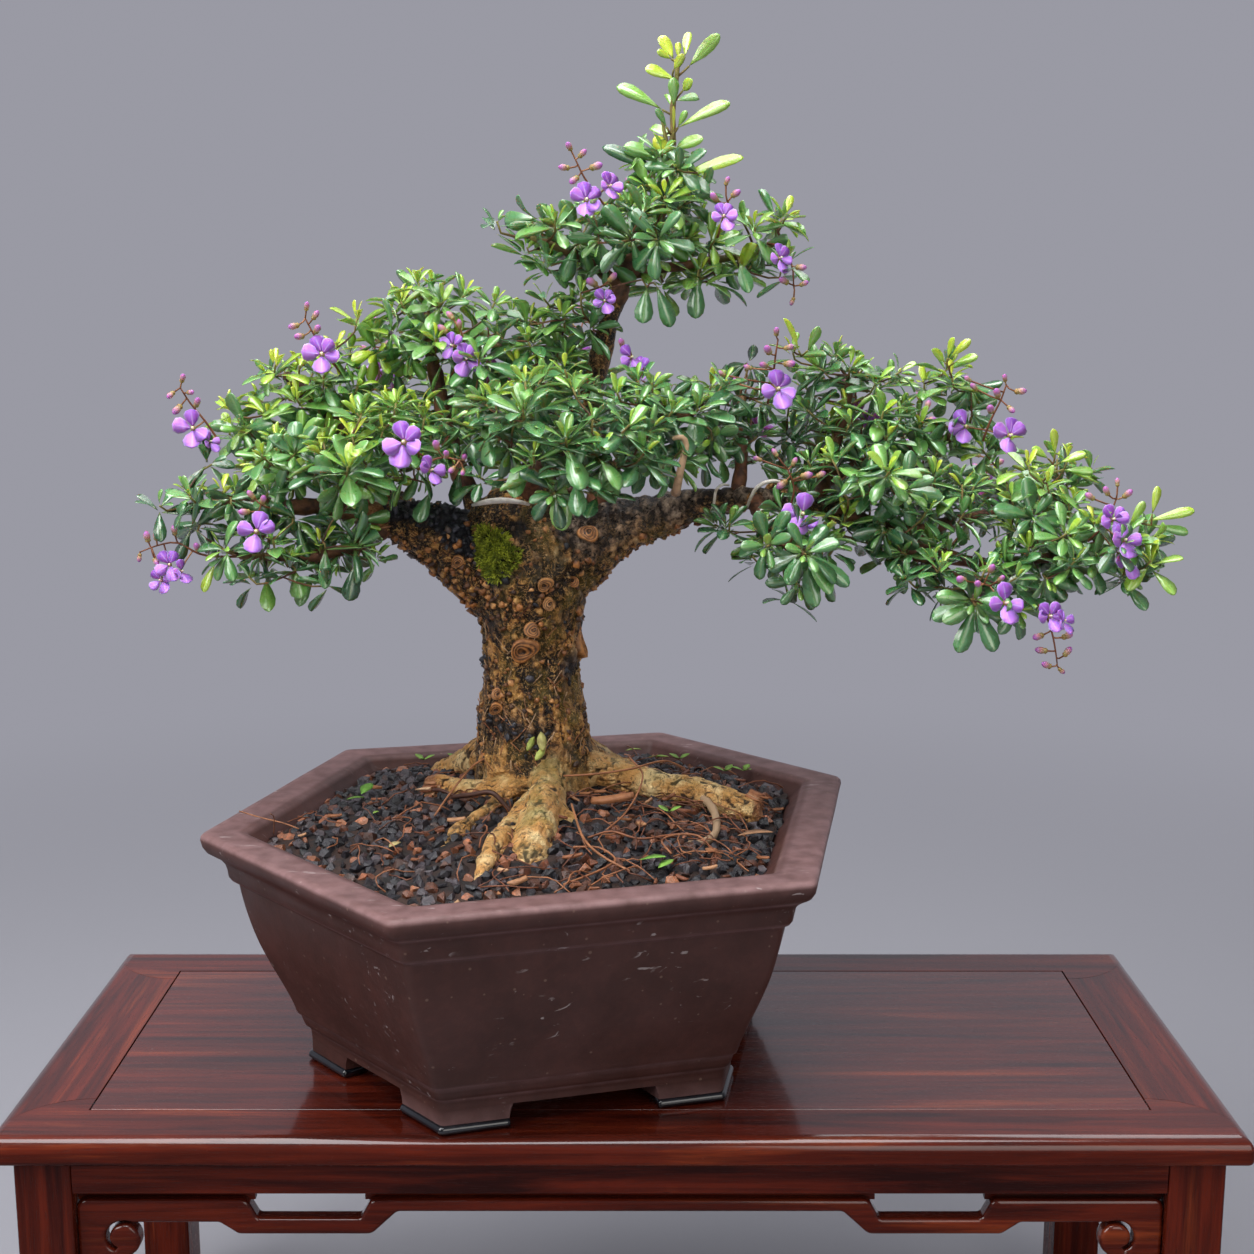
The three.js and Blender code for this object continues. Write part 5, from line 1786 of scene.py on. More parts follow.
@dataclass
class TreeWood:
    """The trunk, its sawn stump, the limbs and the roots, each line in [x, y, z, radius] rows.

    A scar is x, z, radius and how much taller it is than wide. A frayed end is its centre, the way that
    it points, its radius, how many strands it has and their tone. A bud is its base, tip, width and tone.
    """

    voxel: float = 1.0
    thick: float = 4.3
    trunk: Rows = field(default_factory=lambda: [
        [-41, 34, 284, 32], [-41, 34, 301, 31], [-41.5, 34, 318, 29], [-42.5, 34, 340, 25.5], [-42.5, 34, 363, 23],
        [-42, 34, 382, 24], [-43, 34, 398, 27.5], [-45, 33, 414, 28], [-48, 32, 430, 21],
    ])
    limbs: dict[str, Rows] = field(default_factory=lambda: {
        "stump": [[-49, 32, 404, 22], [-53, 29, 424, 19], [-54, 27, 441, 16]],
        "left": [
            [-52, 34, 398, 20], [-71, 32, 416, 18], [-88, 28, 427, 14.5], [-103, 24, 433, 9.5],
            [-115, 18, 436, 5.8],
            [-133, 12, 441, 4.2], [-155, 6, 442, 3.4], [-174, 0, 445, 2.8], [-190, -6, 444, 2],
        ],
        "left_lower": [[-106, 23, 432, 4.2], [-123, 6, 423, 2.8], [-144, -6, 421, 2.2], [-170, -12, 422, 1.6]],
        "left_upper": [
            [-92, 30, 428, 7], [-111, 34, 447, 4.6], [-127, 38, 470, 3.4], [-143, 40, 488, 2.6], [-157, 42, 500, 2],
        ],
        "left_rear": [[-88, 34, 426, 7], [-112, 60, 439, 4.2], [-138, 78, 452, 3], [-162, 86, 460, 2]],
        "left_crown": [
            [-64, 38, 428, 6], [-78, 42, 460, 4], [-85, 44, 488, 3.6], [-89, 44, 512, 2.6], [-90, 44, 528, 1.8]
        ],
        "front": [
            [-42, 32, 434, 6], [-40, 14, 455, 3.4], [-35, -16, 464, 3.1], [-31, -38, 470, 2.8], [-20, -54, 476, 2]
        ],
        "centre_rear": [[-40, 46, 422, 8], [-38, 68, 450, 5.2], [-45, 82, 478, 3.6], [-56, 88, 498, 2.2]],
        "leader": [
            [-38, 42, 418, 12], [-29, 46, 450, 8.5], [-19, 44, 479, 6.4], [-11, 40, 502, 5.3], [-6, 38, 523, 4.7],
            [0, 36, 540, 4.2], [6, 36, 555, 3], [14, 36, 567, 2.2], [22, 36, 579, 1.8], [23, 36, 593, 1.5],
            [24, 36, 620, 1.2], [26, 36, 641, 0.9],
        ],
        "second_stem": [[22, 36, 597, 1.1], [20, 36, 608, 0.9], [18.8, 36, 618, 0.7]],
        "apex_left": [[-1, 36, 541, 3], [-14, 30, 551, 2.2], [-27, 22, 557, 1.8], [-40, 16, 562, 1.3]],
        "apex_right": [
            [2, 37, 546, 3], [22, 42, 549, 2.2], [42, 44, 552, 1.8], [62, 44, 556, 1.5], [74, 42, 562, 1.2]
        ],
        "apex_rear": [[8, 40, 556, 2.8], [14, 60, 568, 2], [20, 78, 574, 1.4]],
        "right": [
            [-30, 34, 410, 19.5], [-11, 34, 424, 15.8], [2, 33, 430, 13], [17, 31, 434.5, 10.6],
            [32, 28, 439.5, 8.2],
            [46, 24, 443, 6.4], [62, 20, 444, 5.1], [83, 16, 443, 4.7], [105, 12, 437, 4.3], [128, 8, 428, 3.8],
            [150, 4, 419, 3.1], [172, 0, 416, 2.5], [193, -6, 420, 2], [213, -10, 427, 1.5],
        ],
        "right_upper": [
            [76, 18, 445, 4.6], [97, 26, 453, 3.5], [121, 34, 461, 2.9], [146, 40, 468, 2.3], [165, 44, 473, 1.7]
        ],
        "right_rear": [
            [70, 22, 446, 4.6], [92, 50, 450, 3.5], [120, 72, 452, 2.7], [150, 80, 446, 2.1], [172, 80, 440, 1.7]
        ],
        "right_riser": [[54, 22, 446, 3.4], [56, 26, 464, 2.6], [54, 30, 478, 2.4], [57, 33, 490, 1.7]],
        "right_crown": [[90, 18, 443, 4.2], [100, 30, 470, 3], [105, 36, 486, 2.2], [107, 38, 498, 1.7]],
        "right_outer": [[126, 8, 428, 3.5], [158, 22, 434, 2.7], [187, 30, 440, 2.2], [207, 31, 446, 1.6]],
        "right_low": [[117, 10, 432, 3.5], [138, -12, 419, 2.1], [156, -25, 411, 1.5]],
        "right_front_low": [[62, 16, 443, 4.6], [67, -4, 434, 2.5], [74, -18, 427, 1.7]],
        "centre_right": [
            [-14, 40, 428, 7], [-8, 32, 450, 3.6], [6, 8, 468, 2.9], [18, -10, 478, 2.4], [29, -18, 486, 1.8]
        ],
    })
    roots: dict[str, Rows] = field(default_factory=lambda: {
        "root_front": [
            [-38, 34, 328, 12], [-34, 6, 313, 9.6], [-35, -22, 308, 9.2], [-37, -48, 302, 9.4], [-39, -68, 297, 8],
            [-40, -80, 288, 5.4],
        ],
        "root_toe": [
            [-38, -6, 308, 6.5], [-47, -24, 304, 5.2], [-53.5, -55, 302, 4.6], [-57.5, -84, 299.5, 3.6],
            [-59, -97, 294, 2.4],
        ],
        "root_right": [
            [-28, 29, 317, 12], [-12, 28, 312, 9], [8, 24, 309, 7.7], [28, 14, 306.5, 7.5], [46, 6, 304, 7.4],
            [58, 0, 301.5, 7.2], [63, -3, 300, 6.4],
        ],
        "root_left": [
            [-50, 14, 312, 9], [-58, 10, 308, 6], [-71, 12, 307, 5.4], [-84, 20, 307, 5.2], [-92, 26, 306.5, 4.8]
        ],
        "root_brown": [
            [-46, 4, 310, 5.5], [-55, -5, 306.5, 4.4], [-64.5, -26, 304.5, 3.9], [-73, -47, 302.5, 3.3],
            [-81, -66, 297, 2.2]
        ],
        "root_small": [[-30, -14, 306, 5.5], [-19, -30, 302, 3.6], [-11, -42, 295, 2.4]],
        "root_rear_left": [[-52, 44, 320, 15], [-74, 60, 308, 9], [-92, 72, 298, 6], [-102, 78, 288, 4]],
        "root_rear_right": [[-28, 46, 318, 14], [-10, 66, 306, 8], [6, 82, 296, 5], [12, 88, 287, 3.5]],
    })
    hooked_root: Rows = field(default_factory=lambda: [
        [36, 8, 306, 2.2], [40.5, -2, 305, 1.9], [43, -12, 303.5, 1.9], [43.5, -25, 302, 1.8], [42, -38, 301, 1.7],
        [37, -48, 300.5, 1.6], [30, -50, 300.5, 1.3],
    ])
    noted: tuple[str, ...] = ("height", "olive", "grey", "char", "pale", "algae", "cut")
    scars: tuple[tuple[float, float, float, float], ...] = (
        (-44.6, 374.7, 6.0, 1.0), (-41.0, 384.2, 3.6, 1.4), (-14.8, 427.8, 4.2, 1.2), (-34.6, 406.0, 3.4, 1.8),
        (-22.5, 405.5, 2.8, 1.8), (-57.4, 353.0, 2.6, 2.4), (-58.0, 346.5, 2.8, 2.0), (-74.9, 415.8, 2.8, 1.8),
        (-33.0, 397.0, 2.8, 2.2),
    )
    frayed: tuple[tuple, ...] = (
        ((62, 2, 301.5), (1, -0.5, -0.45), 7.0, 60, 0.36), ((-90, 15, 305), (-0.8, 0.7, -0.3), 5.0, 26, 0.36),
        ((-111, 20, 435), (-1, -0.4, -0.1), 6.5, 46, 0.5),
    )
    stub: Rows = field(default_factory=lambda: [
        [25.6, 22, 447, 2.6], [25.2, 4, 449.5, 2.3], [24.8, -16, 451.5, 2.1], [24.4, -34, 454, 1.9],
        [25, -40, 459, 1.8],
        [26.6, -42, 467, 1.55], [28.1, -42, 474, 1.4], [26.4, -42.5, 477.4, 1.2], [22.5, -42.5, 476.8, 0.9],
    ])
    buds: tuple[tuple, ...] = (
        ((-37, 6, 337), (-36, -1, 330), 4.6, 0.72), ((-40, 5, 335), (-43, -1, 330), 3.0, 0.80),
        ((-35, 3, 330), (-39, -3, 326), 3.4, 0.77),
    )

    def build(self) -> Wood:
        """Makes the wood and everything that is on it."""
        solid, thin, skeleton = Shell(), Shell(), []
        solid.tube(smooth_rows(self.trunk, 6), 24)
        for rows in self.roots.values():
            solid.tube(smooth_rows(rows, 4), 16, 0.6)
        for rows in self.limbs.values():
            line = smooth_rows(rows, 4)
            skeleton.append(line)
            stout = int(np.argmax(line[:, 3] < self.thick)) or (len(line) if line[-1, 3] >= self.thick else 0)
            if stout > 1:
                solid.tube(line[:stout], 18, 0.5)
            if stout < len(line):
                self._branch(thin, line[max(0, stout - 3):])
        wood = solid.made("trunk_and_roots")
        wood.modifiers.new("skin", "REMESH").voxel_size = self.voxel * MM
        blend = wood.modifiers.new("blend", "SMOOTH")
        blend.factor, blend.iterations = 0.6, 9
        wood = rebuilt(wood)
        self._weather(wood)
        surface = Wood(BVHTree.FromObject(wood, bpy.context.evaluated_depsgraph_get()), np.vstack(skeleton))
        bark = Bark().material()
        self._knobs(wood)
        hand_in(wood, "bark", bark, "tree")
        hand_in(thin.made("branches"), "bark", Twigs().material(), "tree")
        random = Random(17)
        hand_in(self._scars(surface, random), "bark", Knobs(charred=False).material(), "tree")
        hand_in(self._fibres(surface, random), "bark", Litter().material(), "tree")
        hand_in(self._hook(), "bark", bpy.data.materials["bark"], "tree")
        return surface

    def _branch(self, shell: Shell, line: np.ndarray) -> None:
        """Adds one thin branch, a little crooked and knuckled."""
        rows = line.copy()
        for n, row in enumerate(rows):
            shift = min(n, len(rows) - n, 4) * 0.22
            row[0] += shift * ripple(row[:3], 13, 3)
            row[2] += shift * ripple(row[:3], 11, 8)
            row[3] *= 1 + 0.22 * ripple(row[:3], 5, 5) + (0.18 if n % 4 == 2 else 0.0)
        shell.tube(rows, 8, 0.5, young=np.clip((2.2 - rows[:, 3]) / 1.4, 0, 1))

    def _weather(self, wood: bpy.types.Object) -> None:
        """Roughens the bark and notes where it is charred, where it gets patches of painted shade, and where it is
        olive, grey, pale or cut.
        """
        lines = {"trunk": self.trunk, **self.limbs, **self.roots}
        names = list(lines)
        rows = [smooth_rows(line, 4) for line in lines.values()]
        kinds = np.concatenate([[n] * len(line) for n, line in enumerate(rows)])
        runs = np.vstack([np.gradient(line[:, :3], axis=0) for line in rows])
        runs /= np.linalg.norm(runs, axis=1)[:, None]
        rows = np.vstack(rows)
        places, normals = places_of(wood), normals_of(wood)
        nearest = np.empty(len(places), int)
        for at in range(0, len(places), 4000):
            gap = np.linalg.norm(places[at:at + 4000, None] - rows[None, :, :3], axis=2) - rows[:, 3]
            nearest[at:at + 4000] = np.argmin(gap, axis=1)
        owner = kinds[nearest]
        values = {key: np.zeros(len(places)) for key in self.noted}
        push = np.zeros(len(places))
        for i, (p, n) in enumerate(zip(places, normals)):
            name = names[owner[i]]
            broad, small = ripple(p, 17, 1), ripple(p, 6.5, 4)
            low = clamped((338 - p[2]) / 26)
            if name.startswith("root"):
                run = runs[nearest[i]]
                drawn = p - run * float(np.dot(p, run)) * 0.68
                pits = max(0.0, ripple(p, 4.0, 7) - 0.36)
                cells = noise.voronoi(Vector(drawn / 4.4))[0]
                groove = max(0.0, 1.0 - (cells[1] - cells[0]) / 0.26) * clamped(0.7 + 1.6 * ripple(p, 16, 9))
                push[i] = 1.4 * broad + 0.7 * small + 0.7 * ripple(drawn, 3.4, 11) - 1.9 * pits - 0.9 * groove
                values["height"][i] = 0.62 + 0.3 * small - 1.6 * pits - 0.55 * groove
                values["pale"][i] = 0.55 if name == "root_brown" else 1.0
                mossy = 0.9 if name == "root_front" else 0.45
                values["algae"][i] = mossy * clamped(1.2 * n[2]) * clamped((p[2] - 300) / 10)
                end = {"root_right": p[0] - 60, "root_left": -86 - p[0]}.get(name, -1.0)
                values["cut"][i] = clamped(end / 3.0)
                continue
            cell = noise.voronoi(Vector(p / 4.6))[0]
            wart = max(0.0, 1.0 - cell[0] / 0.52) * clamped(0.75 + 2.2 * ripple(p, 14, 6))
            ridges = noise.voronoi(Vector((p[0] / 5.5, p[1] / 5.5, p[2] / 17)))[0]
            seam = max(0.0, 1.0 - (ridges[1] - ridges[0]) / 0.22)
            flute = math.sin(5 * math.atan2(p[1] - 34, p[0] + 41) + 2.5 * broad)
            push[i] = 1.7 * broad + 0.8 * small + 1.5 * wart - 0.7 * seam + 2.0 * flute * low
            if name in ("right", "leader", "centre_right"):
                rung = noise.voronoi(Vector((p[0] / 4.5, p[1] / 14, p[2] / 12)))[0]
                crack = max(0.0, 1.0 - (rung[1] - rung[0]) / 0.2)
                under = max(0.0, -n[2])
                wrinkle = ripple((p[0] * 2.4, p[1] * 0.6, p[2] * 0.7), 8.0, 15)
                size = 0.55 if name == "leader" else 1.15
                push[i] = size * (
                    0.9 * broad + 0.4 * small + 0.7 * wrinkle - 0.5 * crack + (0.4 + 1.6 * under) * wart
                )
                values["grey"][i] = clamped(0.62 + 0.9 * n[2] + 0.6 * broad) * (0.25 if name == "leader" else 1.0)
                values["olive"][i] = max(0.0, 0.45 - 0.6 * n[2]) * (0.0 if name == "leader" else 1.0)
            elif name == "left":
                end = clamped((-107 - p[0]) / 4.0)
                values["char"][i] = clamped(2.4 * n[2] + 0.2 + 1.3 * broad) * (1.0 if p[0] < -58 else 0.4)
                values["char"][i] *= 1.0 - end
                values["cut"][i] = 0.8 * end
                push[i] *= 1.0 if p[2] < 425 or n[2] > 0.2 else 0.8
            elif name == "trunk":
                values["olive"][i] = clamped(0.65 + 0.9 * broad + 0.5 * n[0])
                # Blue-black patches at random on the trunk above its foot: painted shade between the knobs, not
                # char.
                values["char"][i] = clamped(2.4 * ripple(p, 13, 33) - 0.3, 0.8) * (1 - low)
                values["grey"][i] = clamped(1.8 * ripple(p, 24, 12) - 0.15, 0.8) * (1 - low)
                values["pale"][i] = clamped(1.3 * low + 1.6 * ripple(p, 15, 13) - 0.55, 0.85)
            values["height"][i] = clamped(0.42 + push[i] / 5.2 + 0.35 * wart - 0.2 * seam)
        note_values(wood, **values)
        wood.data.vertices.foreach_set("co", ((places + normals * push[:, None]) * MM).ravel())
        wood.data.update()

    def _knobs(self, wood: bpy.types.Object) -> None:
        """Strews little orange-tipped knobs where the bark is warty, and blue-black flakes where it is charred and
        on the trunk's patches of painted shade.
        """
        lumps = [stone(Random(50 + n), 0.55 + 0.2 * n) for n in range(3)]
        for lump in lumps:
            lump.values["reach"] = [clamped(point[2] * 1.6 + 0.35) for point in lump.points]
        flake = stone(Random(31), 0.2)
        flake.values["reach"] = [0.2] * len(flake.points)
        char, pale = np.clip(values_of(wood, "char"), 0, 1), values_of(wood, "pale")
        places, normals = places_of(wood), normals_of(wood)
        x, z, up = places[:, 0], places[:, 2], normals[:, 2]
        rash = np.array([ripple(p, 19, 21) + 0.5 * ripple(p, 7, 22) for p in places])
        left = np.clip((-48 - x) / 14, 0, 1) * (z < 432)
        band = 0.4 * np.exp(-(((z - 402) / 17) ** 2))
        knobby = np.where(
            (x > -14) * (z > 400), 0.7 * np.clip(-0.3 - 1.3 * up, 0, 1), 0.02 + 1.0 * rash + 0.5 * left + band
        )
        knobby = np.clip(knobby, 0, 1) * (pale < 0.3) * (z > 318)
        knobby *= (z < 452) * (1 - 0.6 * char)
        knob_sizes = {"smallest": 1.5, "largest": 5.2, "density": 90000.0, "seed": 5, "tumble": 0.35}
        flake_sizes = {"smallest": 2.5, "largest": 6.0, "density": 110000.0, "seed": 6, "tumble": 0.9}
        for name, cover, shapes, sizes in (
            ("bark_knobs", knobby, lumps, knob_sizes),
            ("charred_flakes", char * (up > -0.1), [flake, lumps[0]], flake_sizes),
        ):
            bed = linked(name + "_bed", wood.data.copy())
            for held in self.noted:
                bed.data.attributes.remove(bed.data.attributes[held])
            note_values(bed, cover=cover)
            finish = Knobs(charred=name.startswith("charred")).material()
            hand_in(strewn(name, bed, shapes, finish, spacing=2.0, **sizes), "bark", None, "tree")

    def _scars(self, wood: Wood, random: Random) -> bpy.types.Object:
        """Makes the pruning scars, each a swirl of bark folds."""
        profile = [
            (-0.5, 1.0), (0.1, 1.12), (0.42, 0.98), (0.26, 0.80), (0.44, 0.68), (0.22, 0.54), (0.36, 0.40),
            (0.12, 0.26), (0.16, 0.02)
        ]
        knots, sides = [], 20
        for _ in range(4):
            knot, rings = Shell(), ringed(profile, sides)
            swirl = random.uniform(0, 6)
            for k, ring in enumerate(rings):
                drift = 0.05 * max(0, k - 1)
                for n, (x, y, z) in enumerate(ring):
                    angle = 2 * math.pi * n / sides
                    wave = 1 + 0.13 * math.sin(2 * angle + swirl + 0.5 * k)
                    wave += 0.09 * math.sin(3 * angle - swirl + 0.3 * k)
                    lip = y * (1 + 0.5 * math.sin(angle + swirl)) if k else y
                    ring[n] = (x * wave + drift * math.cos(swirl), lip, z * wave + drift * math.sin(swirl))
            knot.rings(rings, reach=[0.0, 0.4, 1.0, 0.2, 0.95, 0.1, 0.9, 0.0, 0.4])
            knots.append(knot)
        scars = Shell()
        for x, z, radius, tall in self.scars:
            met = wood.on((x, -120, z), (0, 1, 0))
            if met:
                tilt = (met[1] * 0.7 + Vector((0, -0.5, 0.05))).normalized()
                spot = Spot(met[0], facing(tilt, UP), (radius, radius * tall, radius * 0.9))
                merged(scars, random.choice(knots), spot, tone=random.uniform(0.72, 0.95))
        side = wood.on((40, 26, 374), (-1, 0, 0))
        if side:
            merged(scars, knots[0], Spot(side[0], facing(side[1], UP), (4.4, 6.0, 6.0)), tone=0.8)
        return scars.made("bark_scars")

    def _fibres(self, wood: Wood, random: Random) -> bpy.types.Object:
        """Makes the strands on the trunk, the frayed ends, the dry stub and the buds at the trunk's foot."""
        strands = Shell()
        for _ in range(170):
            angle, z = random.uniform(0, 2 * math.pi), random.triangular(306, 400, 326)
            way = Vector((math.cos(angle), math.sin(angle), 0))
            rows, slant, length = [], random.uniform(-1.6, 1.6), random.uniform(4, 10)
            for step in range(4):
                start = Vector((-42, 34, z + step * length / 4)) + way * 80
                start += Vector((-way.y, way.x, 0)) * slant * step * length / 4
                met = wood.on(start, -way)
                if met is None or met[0].z < 300:
                    break
                lift = 0.25 + random.uniform(0, 0.5) * (step in (0, 3))
                rows.append([*(met[0] + met[1] * lift), random.uniform(0.2, 0.34)])
            if len(rows) == 4 and max((Vector(a[:3]) - Vector(b[:3])).length for a, b in zip(rows, rows[1:])) < 7:
                strands.tube(np.array(rows), 3, tone=random.choice((0.3, 0.45, 0.5, 0.6, 0.62)))
        for centre, way, radius, count, tone in self.frayed:
            ahead = Vector(way).normalized()
            around = facing(ahead, UP)
            for _ in range(count):
                angle, reach = random.uniform(0, 2 * math.pi), radius * random.uniform(0.35, 1.0)
                foot = Vector(centre) + around @ Vector((math.cos(angle) * reach, -5, math.sin(angle) * reach))
                out = (foot - Vector(centre)) * 0.10
                mid, tip = foot + ahead * 6 + out, foot + ahead * random.uniform(7, 11) + out * random.uniform(1, 3)
                rows = np.array([[*foot, 0.9], [*mid, 0.75], [*tip, 0.25]])
                strands.tube(rows, 4, tone=clamped(tone + random.gauss(0, 0.12)))
        strands.tube(smooth_rows(self.stub, 2.5), 8, tone=0.6)
        bud = blade([(0.15, 0.22), (0.4, 0.46), (0.65, 0.5), (0.9, 0.3)], 0.2, 0.12, 0.05)
        for base, tip, width, tone in self.buds:
            way = Vector(tip) - Vector(base)
            spot = Spot(Vector(base), facing(way, Vector((0, -1, 0.3))), (width, way.length, way.length))
            merged(strands, bud, spot, tone=tone)
        return strands.made("bark_fibres")

    def _hook(self) -> bpy.types.Object:
        """Makes the pale root that hooks over the soil."""
        hooked = Shell()
        line = smooth_rows(self.hooked_root, 2)
        line[:, 3] *= [1 + 0.25 * ripple(row[:3], 4, 2) for row in line]
        hooked.tube(line, 9, pale=1.0, height=0.5)
        return hooked.made("hooked_root")


@dataclass(frozen=True)
class Knobs:
    """Small knobs on the bark: brown with orange-tan tips, or blue-black flakes where it is charred and on its
    patches of painted shade.
    """

    charred: bool

    def material(self) -> bpy.types.Material:
        """Returns the finished material."""
        p = Paint("charred_flakes" if self.charred else "bark_knobs")
        tone = p.named("tone")
        if self.charred:
            colour = p.ramp(
                tone, (0.0, (0.008, 0.009, 0.012)), (0.6, (0.030, 0.033, 0.045)), (0.88, (0.075, 0.080, 0.105)),
                (1.0, (0.13, 0.075, 0.04)),
            )
        else:
            tip = p.ramp(
                tone, (0.0, (0.055, 0.028, 0.015)), (0.35, (0.20, 0.080, 0.026)), (0.70, (0.60, 0.235, 0.060)),
                (1.0, (0.86, 0.440, 0.150)),
            )
            reach = p.plus(p.named("reach"), p.times(p.math("SUBTRACT", p.noise(330.0, 4.0), 0.5), 1.1))
            colour = p.mix(p.ramp(reach, (0.05, 0.0), (0.85, 1.0)), (0.030, 0.014, 0.008), tip)
        colour = p.mix(p.mottle(400.0, 0.45, 0.12), colour, p.tinted(colour, (0.55, 0.5, 0.5)))
        return p.done(colour, 0.38, p.bump(p.relief(500.0, 0.4), 0.4), specular_ior_level=0.65)


@dataclass
class MossPatch:
    """The spiky moss cushion under the stump."""

    centre: tuple[float, float, float] = (-57.2, 7.0, 420.0)
    reach: tuple[float, float, float] = (8.4, 4.2, 10.8)
    rounds: int = 13
    sides: int = 36

    def build(self, wood: Wood) -> None:
        """Makes the cushion on the bark and its tufts."""
        rounds, sides = self.rounds, self.sides
        points = []
        for r in range(rounds):
            for s in range(sides):
                angle, span = 2 * math.pi * s / sides, r / (rounds - 1)
                edge = 1 + 0.16 * math.sin(3 * angle + 1) + 0.1 * math.sin(5 * angle + 2)
                x = self.centre[0] + self.reach[0] * span * edge * math.cos(angle)
                z = self.centre[2] + self.reach[2] * span * edge * math.sin(angle) - 2 * math.cos(angle)
                met = wood.on((x, -80, z), (0, 1, 0))
                base = met[0] if met else Vector((x, self.centre[1] + 6, z))
                points.append(
                    base + Vector((0, -1, 0.1)) * (self.reach[1] * (1 - span**2) - 1.2 + ripple((x, 0, z), 5))
                )
        points += [p + Vector((0, 4, 0)) for p in points[-sides:]]
        faces: list[tuple[int, ...]] = [
            (r + s, r + (s + 1) % sides, r + sides + (s + 1) % sides, r + sides + s)
            for r in range(0, rounds * sides, sides) for s in range(sides)
        ]
        faces.append(tuple(range(rounds * sides, (rounds + 1) * sides)))
        cushion = Shell()
        cushion.add(points, faces, reach=0.25, tone=0.4)
        base = cushion.made("moss_cushion")
        tidy = bmesh.new()
        tidy.from_mesh(base.data)
        bmesh.ops.remove_doubles(tidy, verts=tidy.verts, dist=1e-5)
        bmesh.ops.recalc_face_normals(tidy, faces=tidy.faces)
        tidy.to_mesh(base.data)
        tidy.free()
        bed = linked("moss_bed", base.data.copy())
        for held in ("tone", "reach"):
            bed.data.attributes.remove(bed.data.attributes[held])
        note_values(bed, cover=(normals_of(bed)[:, 1] < 0.15).astype(float))
        finish = MossGreen().material()
        spikes = strewn(
            "moss_tufts", bed, self._tufts(), finish, smooth=False,
            spacing=0.62, smallest=1.8, largest=4.4, density=2200000.0, seed=8, tumble=0.4,
        )
        hand_in(base, "moss", finish, "moss_patch")
        hand_in(spikes, "moss", None, "moss_patch")

    def _tufts(self) -> list[Shell]:
        """Returns four tufts of seven spikes each."""
        random, tufts = Random(41), [Shell() for _ in range(4)]
        for tuft in tufts:
            for _ in range(7):
                angle, lean, tall = random.uniform(
                    0, 2 * math.pi
                ), random.uniform(0.1, 0.7), random.uniform(0.7, 1.1)
                way = Vector((math.cos(angle) * lean, math.sin(angle) * lean, 1)) * tall
                rows = np.array(
                    [[0, 0, -0.1, 0.10], [*(way * 0.5), 0.11], [*(way + Vector((0, 0, -0.1 * lean))), 0.02]]
                )
                tuft.tube(rows, 3, reach=[0.1, 0.55, 1.0])
        return tufts


@dataclass
class TieWires:
    """Pale tie wires bent over the right limb, and the pale rim on the stump."""

    lines: tuple[Rows, ...] = (
        [
            [50, 22, 450, 0.5], [46.5, 15, 451, 0.6], [43.6, 12, 448.5, 0.7], [42.8, 12, 443, 0.7],
            [41, 13, 438, 0.6], [38, 16, 434, 0.5]
        ],
        [
            [58, 12, 441, 0.6], [59.4, 8, 446, 0.8], [62, 7, 450.6, 0.9], [66, 7, 453, 0.9], [71, 8, 453.5, 0.8],
            [75, 11, 451, 0.6]
        ],
    )
    rim: Rows = field(default_factory=lambda: [
        [-68, 16, 441.5, 0.7], [-64.5, 10, 443, 1.1], [-59.4, 8, 444.2, 1.4], [-52.6, 7.5, 444.7, 1.4],
        [-46.2, 9, 443.8, 1.1], [-42, 15, 442, 0.7],
    ])

    def build(self) -> None:
        """Makes the wires."""
        shell = Shell()
        for line in (*self.lines, self.rim):
            shell.tube(smooth_rows(line, 1.6), 8, 0.6)
        hand_in(shell.made("tie_wires"), "wire", PaleWire().material(), "branch_tie")
# ---- Leaves and flowers ----


def node_faces(node: str) -> tuple[np.ndarray, np.ndarray]:
    """Returns the corners of a node's triangles in millimetres, and their areas."""
    shape = merged_node(node)
    bmesh.ops.triangulate(shape, faces=shape.faces)
    corners = np.array([[v.co for v in face.verts] for face in shape.faces]) / MM
    shape.free()
    return corners, 0.5 * np.linalg.norm(
        np.cross(corners[:, 1] - corners[:, 0], corners[:, 2] - corners[:, 0]), axis=1
    )


@dataclass
class Whorl:
    """A rosette of leaves at the tip of a twig."""

    place: Vector
    axis: Vector
    count: int
    length: float
    tone: float
    rise: float = 1.0


